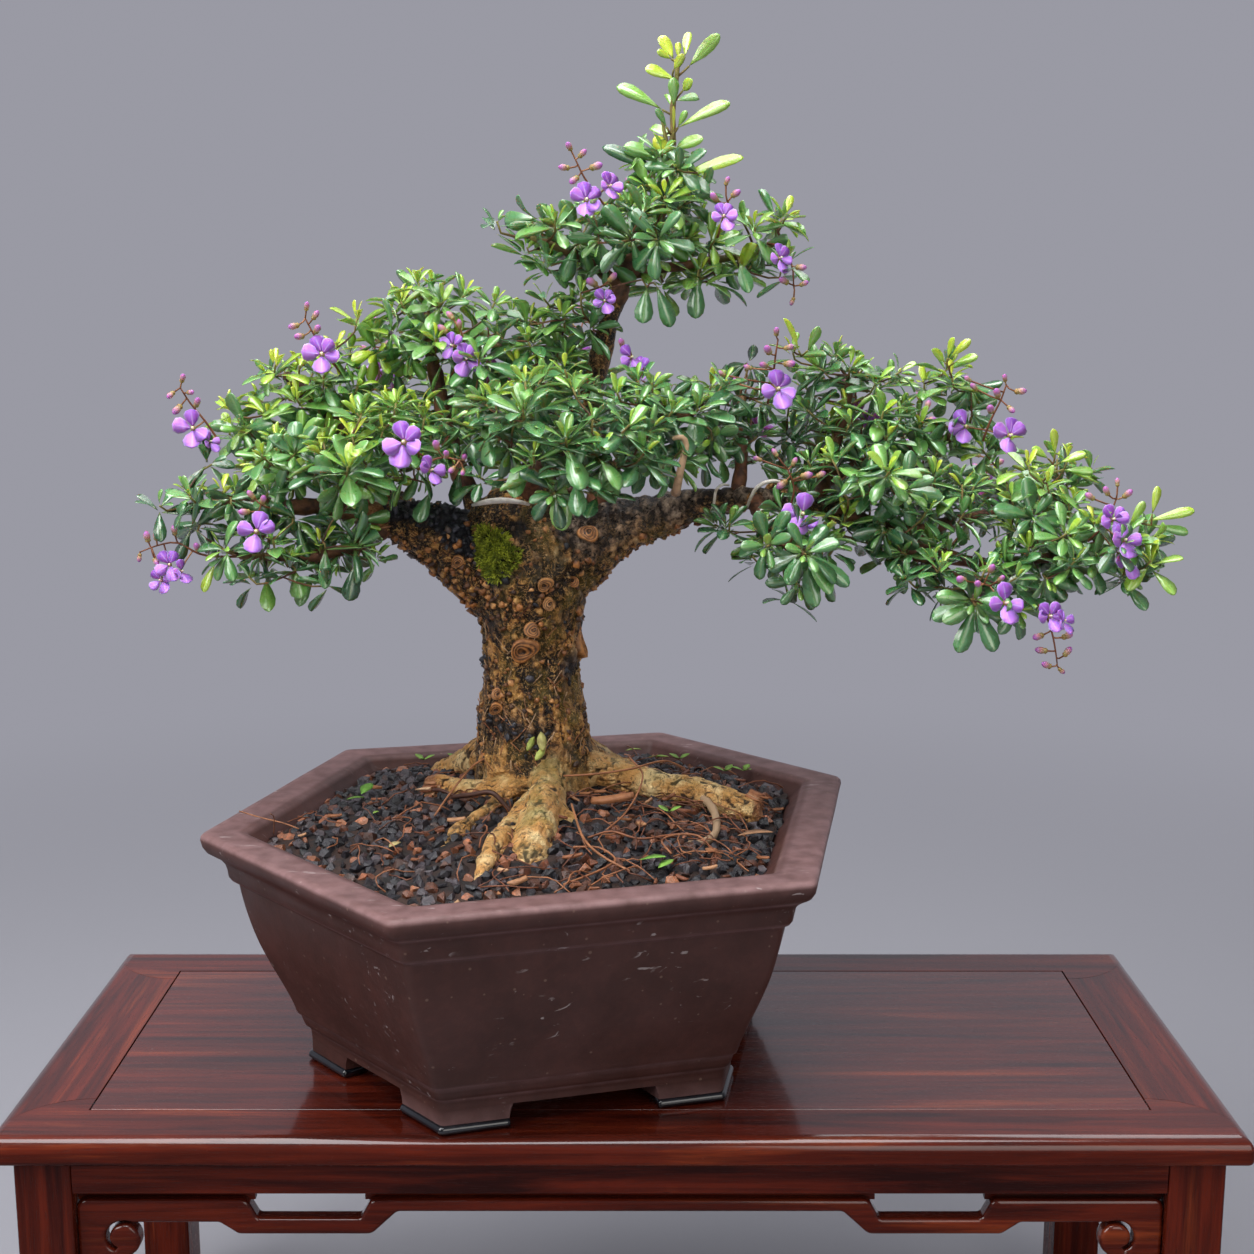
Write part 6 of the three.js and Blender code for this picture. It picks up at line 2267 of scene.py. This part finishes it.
@dataclass
class Foliage:
    """All the leaves, pad by pad with the pad's tone, and the twigs that carry them.

    The rosettes seen whole are x, y, z, the way they face, how many leaves, how long, and their tone. The
    leader's leaves and those that hang at the front are each base, tip, width and tone.
    """

    wood: Wood
    pads: dict[str, float] = field(default_factory=lambda: {
        "leader_tip": 0.22, "apex_crown": 0.06, "apex_left": 0.04, "apex_right": 0.08, "left_crown": 0.08,
        "left_upper": 0.08, "left_mid": 0.04, "left_low": -0.04, "left_rear": 0, "centre_top": 0,
        "centre_rear": -0.04, "centre_front": -0.08, "centre_right": -0.08, "right_crown": -0.04,
        "right_upper": 0, "right_mid": -0.08, "right_rear": -0.06, "right_low_left": -0.08, "right_low": -0.06,
        "right_outer": 0,
    })
    shown: dict[str, Rows] = field(default_factory=lambda: {
        "left_mid": [
            [-117, -35, 464, 0, -0.5, 0.9, 13, 20, 0], [-158, -14, 467, -0.2, -0.7, 0.8, 11, 15, 0.05],
        ],
        "left_upper": [
            [-148, 19, 490, 0, -0.5, 1, 10, 15, 0.2], [-158, 24, 505, -0.1, -0.2, 1, 8, 15, 0.3],
            [-181, 30, 485, -0.5, -0.2, 0.9, 8, 15, 0.25],
        ],
        "left_crown": [
            [-122, 38, 526, -0.1, -0.2, 1, 8, 16, 0.3], [-93, 32, 543, 0, -0.2, 1, 9, 15, 0.2],
            [-84, 22, 517, 0.1, -0.6, 0.8, 11, 16, 0.1],
        ],
        "centre_top": [
            [-64, 14, 508, 0, -0.8, 0.6, 11, 16, 0], [-74, 6, 462, -0.3, -0.6, 0.7, 10, 16, -0.12],
            [-62, -4, 456, 0.1, -0.7, 0.5, 9, 15, -0.1], [-86, 10, 474, -0.2, -0.5, 0.8, 10, 16, -0.05],
        ],
        "left_low": [
            [-190, -16, 449, -0.5, -0.5, 0.6, 10, 14, 0.05], [-174, -26, 427, -0.2, -0.8, 0.3, 8, 14, 0.05],
        ],
        "right_mid": [[117, -26, 461, 0.1, -0.8, 0.6, 12, 17, 0.22]],
        "right_outer": [
            [195, -28, 434, 0.3, -0.8, 0.5, 12, 16, 0], [190, -9, 454, 0.1, -0.5, 0.9, 10, 15, 0.2],
            [205, 16, 463, 0.2, -0.1, 1, 8, 14, 0.25], [238, -14, 430, 1, -0.2, 0.4, 8, 15, 0.25],
            [182, -6, 462, 0.1, -0.2, 1, 7, 15, 0.35],
        ],
        "right_crown": [
            [117, 22, 497, 0.1, -0.6, 0.8, 11, 16, 0.05], [78, 18, 512, 0, -0.2, 1, 7, 15, 0.3],
        ],
        "right_low_left": [[80, -40, 427, 0.1, -0.9, 0.1, 10, 17, 0]],
        "right_low": [[153, -42, 406, 0.1, -0.9, 0.1, 10, 16, 0]],
        "right_upper": [[153, 30, 499, 0, -0.2, 1, 8, 15, 0.25]],
        "apex_left": [[-29, 6, 569, -0.2, -0.5, 0.8, 11, 15, 0.08]],
        "apex_right": [
            [61, 29, 567, 0.1, -0.6, 0.8, 10, 15, 0.05], [76, 32, 573, 0.4, -0.2, 0.9, 9, 14, 0.25],
        ],
        "apex_crown": [[20, 16, 580, 0, -0.7, 0.8, 12, 17, 0.15]],
        "centre_front": [
            [-22, -70, 479, 0, -0.4, 1, 13, 20, 0.05], [10, -60, 472, 0.4, -0.3, 1, 12, 19, 0],
            [-40, -62, 490, -0.3, -0.3, 1, 12, 20, 0],
        ],
        "centre_right": [
            [34, -24, 488, 0.2, -0.7, 0.7, 12, 18, 0], [46, -2, 498, 0.4, -0.3, 0.9, 9, 17, 0.05],
        ],
    })
    leader_leaves: Rows = field(default_factory=lambda: [
        [31, 36, 638, 44, 34, 651, 5.4, 0.62], [24, 36, 641, 18, 38, 651, 5, 0.88],
        [23, 36, 641, 17, 32, 644, 3.2, 0.8], [26, 36, 641, 26, 35, 648, 2.7, 0.95],
        [29, 36, 642, 31, 40, 653, 3.6, 0.75], [25, 36, 632, 12, 33, 637, 5.4, 0.85],
        [28, 35, 627, 32, 28, 631, 4.5, 0.7], [19, 36, 619, 0, 34, 630, 5.9, 0.5],
        [26, 36, 611, 48, 34, 623, 5.4, 0.58], [25, 36, 602, 37, 32, 606, 5, 0.55],
        [22, 36, 589, -5, 28, 603, 5.9, 0.06], [23, 36, 594, 3, 30, 603, 5.5, 0.4],
        [23, 36, 594, 17, 30, 606, 5.9, 0.95], [23, 36, 588, 54, 30, 598, 5, 0.66],
        [24, 37, 619, 22, 44, 628, 4.1, 0.6], [25, 37, 623, 36, 46, 626, 4.1, 0.45],
        [24, 37, 607, 14, 46, 612, 4.5, 0.5], [24, 36, 603, 32, 42, 597, 4.5, 0.4],
        [24, 33, 620, 24, 28, 631, 4.6, 0.45], [21, 33, 597, 3, 28, 603, 5.3, 0.5],
        [35, 33, 591, 29, 28, 596, 4, 0.3], [30, 33, 580, 32, 28, 589, 4.5, 0.75],
        [17, 33, 581, 4, 28, 589, 4.8, 0.2], [14, 33, 589, 20, 28, 598, 4, 0.35],
        [38, 33, 584, 41, 28, 593, 4, 0.25], [24, 33, 578, 17, 28, 586, 5.3, 0.15],
        [32, 33, 578, 39, 28, 583, 5.3, 0.1], [21, 33, 602, 15, 28, 598, 3.5, 0.4],
        [26, 33, 611, 29, 28, 617, 3, 0.45], [21, 33, 611, 17, 28, 618, 3, 0.3],
        [24, 33, 636, 28, 28, 642, 3.5, 0.85], [24, 33, 609, 24, 28, 619, 1.3, 1],
        [23, 36, 600, 34, 48, 607, 4.6, 0.4],
    ])
    hanging_leaves: Rows = field(default_factory=lambda: [
        [12, 14, 540, 10, 10, 525, 7.6, 0.2], [16, 14, 541, 23, 10, 524, 6.7, 0.12],
        [35, 24, 545, 34, 20, 527, 7.3, 0.16], [-144, -18, 416, -142, -22, 405, 7.1, 0.5],
        [-131, -16, 426, -131, -20, 409, 5.3, 0.2], [-118, -12, 419, -121, -16, 403, 7.2, 0.06],
        [-181, -12, 419, -186, -16, 407, 4, 0.7], [80, -34, 423, 85, -38, 404, 6.5, 0.25],
        [81, -34, 425, 91, -40, 410, 6.1, 0.3], [81, -32, 427, 99, -36, 413, 6.1, 0.22],
        [78, -34, 427, 73, -44, 416, 6.1, 0.3], [153, -44, 405, 139, -48, 399, 6.5, 0.3],
        [153, -44, 405, 146, -48, 386, 6.9, 0.25], [153, -44, 405, 161, -50, 387, 6.9, 0.22],
        [153, -44, 408, 167, -50, 406, 6, 0.35], [151, -44, 408, 137, -50, 410, 6, 0.35],
        [-4, 16, 540, -10, 10, 529, 5.8, 0.2], [54, 24, 551, 58, 20, 538, 5.9, 0.25],
        [-85, -6, 450, -90, -12, 438, 6.7, 0.15], [-42, -50, 468, -44, -58, 454, 7.2, 0.4],
        [-24, -60, 462, -24, -64, 441, 8.6, 0.45], [-8, -56, 469, -3, -60, 452, 7, 0.3],
        [-10, 30, 500, -12, 26, 486, 6, 0.3], [234, -14, 438, 254, -15, 443, 4.2, 0.7],
        [236, -14, 436, 252, -15, 433, 4, 0.5], [232, -14, 428, 244, -15, 421, 4.5, 0.35],
        [236, -14, 441, 238, -14, 453, 3.6, 0.8], [226, -14, 436, 231, -18, 446, 3.8, 0.7],
        [224, -14, 430, 234, -20, 431, 4, 0.6], [80, 8, 512, 73, 2, 526, 2.8, 0.74],
        [84, 8, 512, 88, 2, 522, 4.2, 0.55], [151, 26, 508, 158, 20, 516, 3.6, 0.82],
        [150, 26, 508, 151, 20, 517, 3.4, 0.76], [149, 26, 506, 142, 20, 512, 3.8, 0.66],
        [153, 26, 506, 162, 20, 509, 3.8, 0.7], [196, 4, 466, 194, 0, 477, 3.6, 0.84],
        [198, 4, 462, 208, 0, 467, 4, 0.72], [200, 4, 459, 212, 0, 459, 4, 0.62],
        [193, 4, 464, 186, 0, 469, 3.8, 0.6],
    ])
    random: Random = field(default_factory=lambda: Random(7))

    def __post_init__(self) -> None:
        """Keeps the faces of every pad."""
        self.trees = {pad: tree_of("leaf_pad_" + pad) for pad in self.pads}

    def build(self) -> None:
        """Grows the rosettes, their leaves and their twigs."""
        shapes = [
            blade([(0.18, 0.15), (0.45, 0.37), (0.70, 0.50), (0.88, 0.43), (0.97, 0.22)], 0.10, 0.10, 0.022, 0.03),
            blade([(0.20, 0.14), (0.48, 0.38), (0.73, 0.50), (0.89, 0.42), (0.97, 0.22)], 0.20, 0.05, 0.022, 0.0),
            blade([(0.18, 0.18), (0.42, 0.42), (0.66, 0.50), (0.86, 0.41), (0.96, 0.22)], 0.05, 0.16, 0.022, 0.04),
            blade([(0.20, 0.13), (0.50, 0.36), (0.75, 0.50), (0.90, 0.42), (0.97, 0.22)], 0.28, 0.08, 0.022, -0.03),
        ]
        kinds = ShapeSet("leaf_shapes", shapes)
        finish = LeafSkin().material()
        whorls = self._whorls()
        loose = {"leader_tip": self.leader_leaves, "centre_front": self.hanging_leaves}
        for pad in self.pads:
            spots = [spot for whorl in whorls[pad] for spot in self._leaves(whorl)]
            spots += [self._single(*leaf) for leaf in loose.get(pad, [])]
            hand_in(kinds.copied("leaves_" + pad, spots, finish), "leaf", None, "leaf_pad_" + pad)
        kinds.dropped()
        self._twigs([whorl for held in whorls.values() for whorl in held])

    def _whorls(self) -> dict[str, list[Whorl]]:
        """Returns the rosettes of each pad, evenly spread under its surface."""
        found: dict[str, list[Whorl]] = {pad: [] for pad in self.pads}
        kept: list[Vector] = []
        for pad, rosettes in self.shown.items():
            for x, y, z, a, b, c, count, length, tone in rosettes:
                axis = Vector((a, b, c)).normalized()
                place = Vector((x, y, z)) - axis * 2
                found[pad].append(Whorl(place, axis, count, length, self.pads[pad] + tone))
                kept.append(place)
        for spacing, depth, effort, inner in ((12.8, 5.5, 0.16, False), (15.5, 15.0, 0.06, True)):
            for pad, pad_tone in self.pads.items():
                if pad == "leader_tip":
                    continue
                corners, areas = node_faces("leaf_pad_" + pad)
                picks = self.random.choices(range(len(areas)), areas, k=int(areas.sum() * effort))
                for pick in picks:
                    a, b, c = (Vector(corner) for corner in corners[pick])
                    r, s = self.random.random(), self.random.random()
                    r, s = (1 - r, 1 - s) if r + s > 1 else (r, s)
                    normal = (b - a).cross(c - a).normalized()
                    place = a + (b - a) * r + (c - a) * s - normal * (depth + self.random.uniform(-1.5, 2.5))
                    if self._crowded(place, kept, spacing) or self._covered(pad, place, normal, depth):
                        continue
                    noise_axis = Vector([self.random.gauss(0, 0.28) for _ in range(3)])
                    axis = (normal * 0.55 + UP * (0.72 if normal.z > -0.3 else 0.3) + noise_axis).normalized()
                    # Painted light: rosettes on upward-facing pad faces are toned lighter, and those facing down
                    # darker.
                    lit = 0.12 * normal.z + self.random.gauss(0.0, 0.085)
                    if inner:
                        # The deeper layer of rosettes is toned 0.2 darker: painted shade.
                        found[pad].append(Whorl(place, axis, 7, 14.0, pad_tone - 0.2 + lit))
                    else:
                        fresh = self.random.random() < (0.2 if normal.z > 0.4 else 0.05)
                        count = self.random.randint(7, 9) if fresh else self.random.randint(9, 12)
                        tone, rise = (pad_tone + lit + 0.17, 1.6) if fresh else (pad_tone + lit + 0.0, 1.0)
                        length = self.random.uniform(13.2, 16.8)
                        found[pad].append(Whorl(place, axis, count, length, tone, rise))
                    kept.append(place)
        log.info("rosettes: %d", len(kept))
        return found

    def _crowded(self, place: Vector, kept: list[Vector], spacing: float) -> bool:
        """Tells whether a rosette would stand too close to another or to the wood."""
        if any(abs(place.x - other.x) < spacing and (place - other).length < spacing for other in kept):
            return True
        near, normal = self.wood.near(place)
        return (place - near).dot(normal) < 4.0 and (place - near).length < 25.0

    def _covered(self, name: str, place: Vector, normal: Vector, depth: float) -> bool:
        """Tells whether another pad lies over the rosette."""
        above = (place + normal * (depth + 7)) * MM
        for other, tree in self.trees.items():
            if other != name:
                near, face, *_ = tree.find_nearest(above, 0.02)
                if near is not None and (above - near).dot(face) < 0:
                    return True
        return False

    def _leaves(self, whorl: Whorl) -> list[Spot]:
        """Returns the leaves of one rosette, the youngest upright in its middle."""
        random, spots = self.random, []
        turn = facing(whorl.axis, UP)
        start = random.uniform(0, 2 * math.pi)
        for n in range(whorl.count):
            age = n / (whorl.count - 1)
            angle = start + n * GOLDEN_ANGLE + random.gauss(0, 0.12)
            lifted = (78 - 82 * age**0.75 + random.gauss(0, 7)) * (1.0 if whorl.rise == 1.0 else 0.78)
            rise = math.radians(lifted + 12 * (whorl.rise - 1))
            round_way = turn @ Vector((math.cos(angle), 0, math.sin(angle)))
            way = whorl.axis * math.sin(rise) + round_way * math.cos(rise)
            way.z -= 0.12 * age
            length = whorl.length * min(1.0, 0.48 + 0.75 * age) * random.gauss(1.0, 0.09)
            width = length * random.uniform(0.39, 0.47) * (1.0 - 0.15 * (1 - age))
            upper = whorl.axis * 0.8 + UP * 0.45 + Vector([random.gauss(0, 0.12) for _ in range(3)])
            tone = whorl.tone + 0.68 - 0.42 * min(1.0, age * 1.5) ** 0.7 + random.gauss(0, 0.05)
            base = whorl.place + whorl.axis * (2.5 - 5.5 * age) + round_way * 0.7
            size, kind = (width, length, length), random.randrange(4)
            spots.append(Spot(base, facing(way, upper), size, kind, clamped(tone), random.random()))
        return spots

    def _single(self, *leaf: float) -> Spot:
        """Returns a leaf between two places."""
        base, tip = Vector(leaf[:3]), Vector(leaf[3:6])
        way = tip - base
        upper = Vector((0.05, -1.0, 0.35)) + Vector([self.random.gauss(0, 0.14) for _ in range(3)])
        size, kind = (leaf[6] * 1.15, way.length * 1.04, way.length), self.random.randrange(3)
        return Spot(base, facing(way, upper), size, kind, leaf[7], self.random.random())

    def _twigs(self, whorls: list[Whorl]) -> None:
        """Grows a twig to each rosette and single leaf from the nearest wood."""
        shell = Shell()
        grown_rows = self.wood.skeleton.copy()
        ends = [(w.place + w.axis * 2.0, w.axis) for w in whorls]
        for leaf in (*self.leader_leaves, *self.hanging_leaves):
            base, tip = Vector(leaf[:3]), Vector(leaf[3:6])
            ends.append((base, (tip - base).normalized()))

        def gap(end: tuple[Vector, Vector]) -> float:
            """Returns how far the place is from the limbs."""
            return float(np.min(np.linalg.norm(self.wood.skeleton[:, :3] - np.asarray(end[0]), axis=1)))

        for tip, axis in sorted(ends, key=gap):
            foot = tip - axis * 5
            distance = np.linalg.norm(grown_rows[:, :3] - np.asarray(foot), axis=1)
            row = grown_rows[int(np.argmin(distance + np.where(grown_rows[:, 2] > tip.z + 2, 6.0, 0.0)))]
            start = Vector(row[:3])
            span = (tip - start).length
            if span < 0.8:
                continue
            reach = min(span * 0.45, 9.0)
            bend = Vector([self.random.gauss(0, 0.06) * span for _ in range(3)])
            inner, outer = start + (foot - start) * 0.35 + bend, tip - axis * reach
            thick = min(float(row[3]) * 0.9, 0.55 + 0.012 * span)
            rows = []
            count = max(3, min(7, round(span / 5)))
            for k in range(count + 1):
                t = k / count
                s = 1 - t
                place = start * s**3 + inner * 3 * t * s**2 + outer * 3 * t * t * s + tip * t**3
                rows.append([*place, thick + (0.5 - thick) * t])
            line = np.array(rows)
            shell.tube(line, 5, 0.5, young=np.clip(np.linspace(-0.6, 1.1, len(line)), 0, 1))
            grown_rows = np.vstack([grown_rows, line[1:]])
        hand_in(shell.made("twigs"), "bark", bpy.data.materials["twigs"], "tree")


@dataclass
class Raceme:
    """A flower spike: its stalk, its open flowers with turn and size, its buds and its node's name."""

    stalk: Rows
    flowers: Rows
    buds: Rows
    node: str = ""


@dataclass
class FlowerRacemes:
    """The violet flowers and pink buds on their thin stalks.

    The racemes at the back are x and z: each grows where a line from behind meets the leaves.
    """

    foliage: Foliage
    racemes: tuple[Raceme, ...] = (
        Raceme(
            [[-160, -6, 421], [-185, -11, 422], [-197, -13, 428], [-206, -14, 427], [-214, -14, 424]],
            [[-204, -18, 412, -0.2, 0.8], [-200, -18, 419, 0.2, 0.95], [-195, -17, 416, 0.6, 0.75]],
            [[-188, -14, 425], [-198, -14, 432], [-206, -15, 430], [-210, -14, 429], [-207, -16, 421],
            [-214, -14, 423]],
            "left_low",
        ),
        Raceme(
            [[-184, 20, 470], [-190, 18, 480], [-196, 17, 488], [-200, 16, 495]],
            [[-194, 12, 477, 0.1, 1.2], [-187, 13, 471, 0.8, 0.7]],
            [[-193, 15, 487], [-200, 15, 487], [-196, 14, 493], [-203, 15, 493], [-199, 15, 498]],
            "left_tip",
        ),
        Raceme(
            [[-128, 30, 500], [-134, 28, 508], [-139, 27, 516], [-144, 26, 526]],
            [[-136, 21, 510, 0.1, 1.2]],
            [[-139, 24, 520], [-145, 24, 518], [-140, 24, 526], [-147, 24, 523], [-143, 24, 530]],
            "left_crown",
        ),
        Raceme(
            [[-88, -26, 462], [-82, -31, 466], [-76, -34, 468], [-69, -36, 467]],
            [[-92, -40, 475, 0, 1.3], [-81, -38, 463, 0.6, 0.9]],
            [[-78, -38, 472], [-74, -38, 469], [-71, -38, 464], [-67, -38, 468], [-67, -38, 463]],
            "centre_left",
        ),
        Raceme(
            [[-4, 22, 572], [-10, 19, 580], [-16, 17, 588], [-20, 16, 596]],
            [[-15, 12, 578, 0.1, 1.15], [-5, 12, 584, 0.6, 0.9]],
            [[-19, 15, 588], [-13, 15, 592], [-23, 15, 592], [-18, 15, 597], [-22, 15, 600]],
            "apex_left",
        ),
        Raceme(
            [[67, 15, 488], [69, 13, 500], [70, 12, 510], [71, 12, 517]],
            [[71, 8, 495, 0.1, 1.2]],
            [[66, 10, 505], [74, 10, 506], [67, 10, 511], [74, 10, 513], [70, 10, 519], [47, 12, 501],
            [53, 12, 497], [59, 12, 504]],
            "right_inner",
        ),
        Raceme(
            [[168, 28, 470], [171, 26, 480], [175, 25, 489], [177, 24, 496]],
            [[159, 23, 477, -0.2, 1.15], [179, 22, 473, 0.2, 1.2]],
            [[170, 22, 484], [178, 22, 486], [173, 22, 491], [181, 22, 493], [176, 22, 498], [160, 22, 498],
            [163, 22, 494]],
            "right_upper",
        ),
        Raceme(
            [[176, -34, 408], [184, -36, 402], [188, -37, 393], [190, -38, 384], [191, -38, 378]],
            [[186, -41, 400, 0.2, 0.95], [192, -41, 398, 0.7, 0.75]],
            [[184, -38, 391], [193, -38, 390], [186, -38, 384], [194, -38, 382], [188, -38, 377],
            [192, -38, 376]],
            "right_hanging",
        ),
        Raceme(
            [[-78, 30, 500], [-74, 26, 508], [-71, 24, 516]],
            [[-70, 17, 508, 0.3, 1.05], [-76, 18, 514, -0.5, 0.85]],
            [[-79, 22, 520], [-73, 22, 522], [-76, 22, 526]],
        ),
        Raceme(
            [[-162, -14, 428], [-161, -18, 434], [-160, -20, 440], [-158, -20, 446]],
            [[-159, -27, 435, 0.1, 1.2]],
            [[-163, -22, 443], [-157, -21, 447], [-152, -14, 443], [-161, -20, 449]],
        ),
        Raceme(
            [[44, 26, 562], [46, 20, 570], [48, 18, 577]],
            [[46, 12, 571, 0, 0.9]],
            [[43, 16, 578], [50, 16, 580], [47, 16, 585]],
        ),
        Raceme(
            [[66, 34, 560], [73, 30, 558], [78, 28, 550], [79, 28, 541]],
            [[72, 24, 553, 0.6, 0.9]],
            [[80, 26, 549], [76, 26, 542], [82, 26, 541], [79, 26, 535]],
        ),
        Raceme(
            [[-6, 30, 528], [-8, 22, 534], [-9, 17, 540]],
            [[-7, 12, 534, 0, 0.8]],
            [[-11, 15, 541], [-5, 15, 543]],
        ),
        Raceme(
            [[4, 28, 512], [6, 20, 506], [8, 15, 500]],
            [[5, 12, 509, 0.3, 0.9], [10, 11, 504, -0.4, 0.75]],
            [[1, 14, 514], [12, 14, 497]],
        ),
        Raceme(
            [[74, -6, 438], [76, -12, 446], [77, -13, 453], [74, -14, 461]],
            [[80, -21, 442, 0.1, 1.3]],
            [[73, -16, 456], [80, -15, 458], [87, -15, 458], [69, -15, 467], [62, -14, 465], [76, -15, 463]],
        ),
        Raceme(
            [[150, -34, 411], [155, -38, 414], [160, -40, 413]],
            [[165, -48, 407, 0.3, 1.2]],
            [[148, -44, 416], [154, -44, 414], [159, -43, 420], [163, -43, 416]],
        ),
        Raceme(
            [[206, -22, 430], [212, -24, 437], [215, -24, 443], [217, -24, 449]],
            [[214, -31, 441, 0.1, 1], [219, -32, 432, 0.2, 1.1], [221, -31, 423, 0.3, 1]],
            [[220, -25, 450], [213, -25, 451], [207, -24, 449], [217, -25, 455]],
        ),
    )
    behind: tuple[tuple[float, float], ...] = (
        (-160, 468), (-118, 500), (-64, 500), (-20, 505), (10, 575), (60, 478), (112, 480), (150, 462), (186, 440),
    )

    def __post_init__(self) -> None:
        """Makes the shapes of the petals, hearts, buds and cups."""
        petal = [(0.16, 0.14), (0.42, 0.40), (0.70, 0.50), (0.90, 0.37)]
        round_petal = [(0.14, 0.12), (0.36, 0.38), (0.64, 0.50), (0.88, 0.40)]
        shapes = [blade(petal, 0.12, 0.10, 0.03, -0.05), blade(round_petal, -0.08, 0.14, 0.03, 0.04)]
        for shape in shapes:
            shape.values["organ"] = [0.0] * len(shape.points)
        for organ, profile in (
            (1.0, [(-0.06, 0.10), (0.10, 0.30), (0.36, 0.46), (0.66, 0.48), (0.90, 0.28), (1.0, 0.06)]),
            (2.0, [(0.0, 0.30), (0.3, 0.42), (0.7, 0.30), (1.0, 0.40)]),
            (3.0, [(-0.1, 0.22), (0.3, 0.5), (0.8, 0.42), (1.0, 0.2)]),
        ):
            reach = [max(0.0, y) for y, _ in profile]
            shapes.append(lathe(profile, 7, reach=reach, side=[0.5] * len(profile), organ=[organ] * len(profile)))
        self.kinds = ShapeSet("flower_shapes", shapes)
        self.random = Random(23)

    def build(self) -> None:
        """Makes every raceme, and one piece of all the stalks."""
        finish = Petals().material()
        stalks = Shell()
        loose: list[Spot] = []
        for raceme in (*self.racemes, *self._behind()):
            spots = self._spots(raceme, stalks)
            if raceme.node:
                made = self.kinds.copied("flowers_" + raceme.node, spots, finish)
                hand_in(made, "flower", None, "flower_raceme_" + raceme.node)
            else:
                loose += spots
        hand_in(self.kinds.copied("flowers_scattered", loose, finish), "flower", None)
        self.kinds.dropped()
        hand_in(stalks.made("flower_stalks"), "bark", bpy.data.materials["litter"])

    def _behind(self) -> list[Raceme]:
        """Returns the racemes that face the back."""
        found = []
        for x, z in self.behind:
            start = Vector((x, 200, z)) * MM
            met = [tree.ray_cast(start, Vector((0, -1, 0))) for tree in self.foliage.trees.values()]
            y = max((place.y / MM for place, *_ in met if place is not None), default=80.0) + 4
            stalk = [[x, y - 12, z - 8], [x + 2, y, z], [x - 1, y + 4, z + 9], [x + 1, y + 6, z + 18]]
            flowers = [[x, y + 8, z, math.pi, 1.0], [x + 7, y + 6, z - 4, math.pi - 0.5, 0.85]]
            buds = [[x - 4, y + 5, z + 9], [x + 4, y + 5, z + 12], [x - 4, y + 7, z + 16], [x + 4, y + 7, z + 18]]
            found.append(Raceme(stalk, flowers, [*buds, [x, y + 7, z + 23]]))
        return found

    def _spots(self, raceme: Raceme, stalks: Shell) -> list[Spot]:
        """Returns the parts of the flowers and buds, and adds their stalks to the shell."""
        line = smooth_rows([[*row, 0.62 - 0.08 * n] for n, row in enumerate(raceme.stalk)], 3)
        stalks.tube(line, 5, 0.5, tone=0.27)
        spots: list[Spot] = []
        for x, y, z, turned, size in raceme.flowers:
            spots += self._flower(Vector((x, y, z)), turned, size)
            back = Vector((math.sin(turned), -math.cos(turned), 0.15)).normalized()
            self._pedicel(stalks, line, Vector((x, y, z)) - back * 1.6, back)
        for n, (x, y, z) in enumerate(raceme.buds):
            place = Vector((x, y, z))
            near = Vector(line[int(np.argmin(np.linalg.norm(line[:, :3] - np.asarray(place), axis=1)))][:3])
            stray = Vector([self.random.gauss(0, 0.25) for _ in range(3)])
            way = (place - near).normalized() + Vector((0, 0, 0.25)) + stray
            way.normalize()
            size = self.random.uniform(0.8, 1.1) * (1.0 - 0.35 * n / max(1, len(raceme.buds)))
            turn = facing(way, UP)
            long, wide = 5.6 * size, 3.7 * size
            spots.append(Spot(place, turn, (wide, long, wide), 2, self.random.random(), 0.5))
            cup = (wide * 0.86, long * 0.42, wide * 0.86)
            spots.append(Spot(place - way * 0.4, turn, cup, 4, self.random.random(), 0.5))
            self._pedicel(stalks, line, place, way)
        return spots

    def _pedicel(self, stalks: Shell, line: np.ndarray, tip: Vector, way: Vector) -> None:
        """Adds the thin stalk from the raceme to a flower or bud."""
        row = line[int(np.argmin(np.linalg.norm(line[:, :3] - np.asarray(tip), axis=1)))]
        start = Vector(row[:3])
        bend = (start + tip) / 2 - way * 0.9
        rows = np.array([[*start, 0.4], [*bend, 0.36], [*tip, 0.42]])
        stalks.tube(rows, 4, 0.4, tone=self.random.uniform(0.2, 0.5))

    def _flower(self, place: Vector, turned: float, size: float) -> list[Spot]:
        """Returns one open flower: two dark petals above, two or three pale ones below, and its heart."""
        random, spots = self.random, []
        front = Vector((math.sin(turned), -math.cos(turned), 0.25)).normalized()
        turn = facing(front, UP)
        roll = random.gauss(0, 0.25)
        for angle, dark, scale, kind in (
            (20, 0.85, 0.92, 0), (-38, 0.75, 0.86, 0), (100, 0.3, 0.95, 1), (184, 0.12, 1.12, 1),
            (-108, 0.4, 0.9, 1)
        ):
            if scale < 0.91 and random.random() < 0.35:
                continue
            a = math.radians(angle + random.gauss(0, 8)) + roll
            radial = turn @ Vector((math.sin(a), 0, math.cos(a)))
            open_by = math.radians(random.uniform(4, 26))
            way = radial * math.cos(open_by) + front * math.sin(open_by)
            upper = front - radial * 0.3
            long = 7.6 * size * scale * random.uniform(0.94, 1.06)
            wide = long * random.uniform(0.82, 0.94)
            size_of, tone = (wide, long, long), 1.0 - dark + random.gauss(0, 0.06)
            spots.append(Spot(place + radial * 0.5, facing(way, upper), size_of, kind, tone, random.random()))
        spots.append(Spot(place - front * 0.2, turn, (1.3 * size, 2.4 * size, 1.3 * size), 3, 0.5, 0.5))
        spots.append(Spot(place - front * 1.8, turn, (2.4 * size, 2.2 * size, 2.4 * size), 4, 0.5, 0.5))
        return spots


def main() -> None:
    """Builds the classes in order."""
    logging.basicConfig(level=logging.INFO, format="%(message)s")
    Studio().build()
    DisplayStand().build()
    HexagonPot().build()
    GrowingMedium().build()
    wood = TreeWood().build()
    MossPatch().build(wood)
    TieWires().build()
    foliage = Foliage(wood)
    foliage.build()
    FlowerRacemes(foliage).build()


if __name__ == "__main__":
    main()
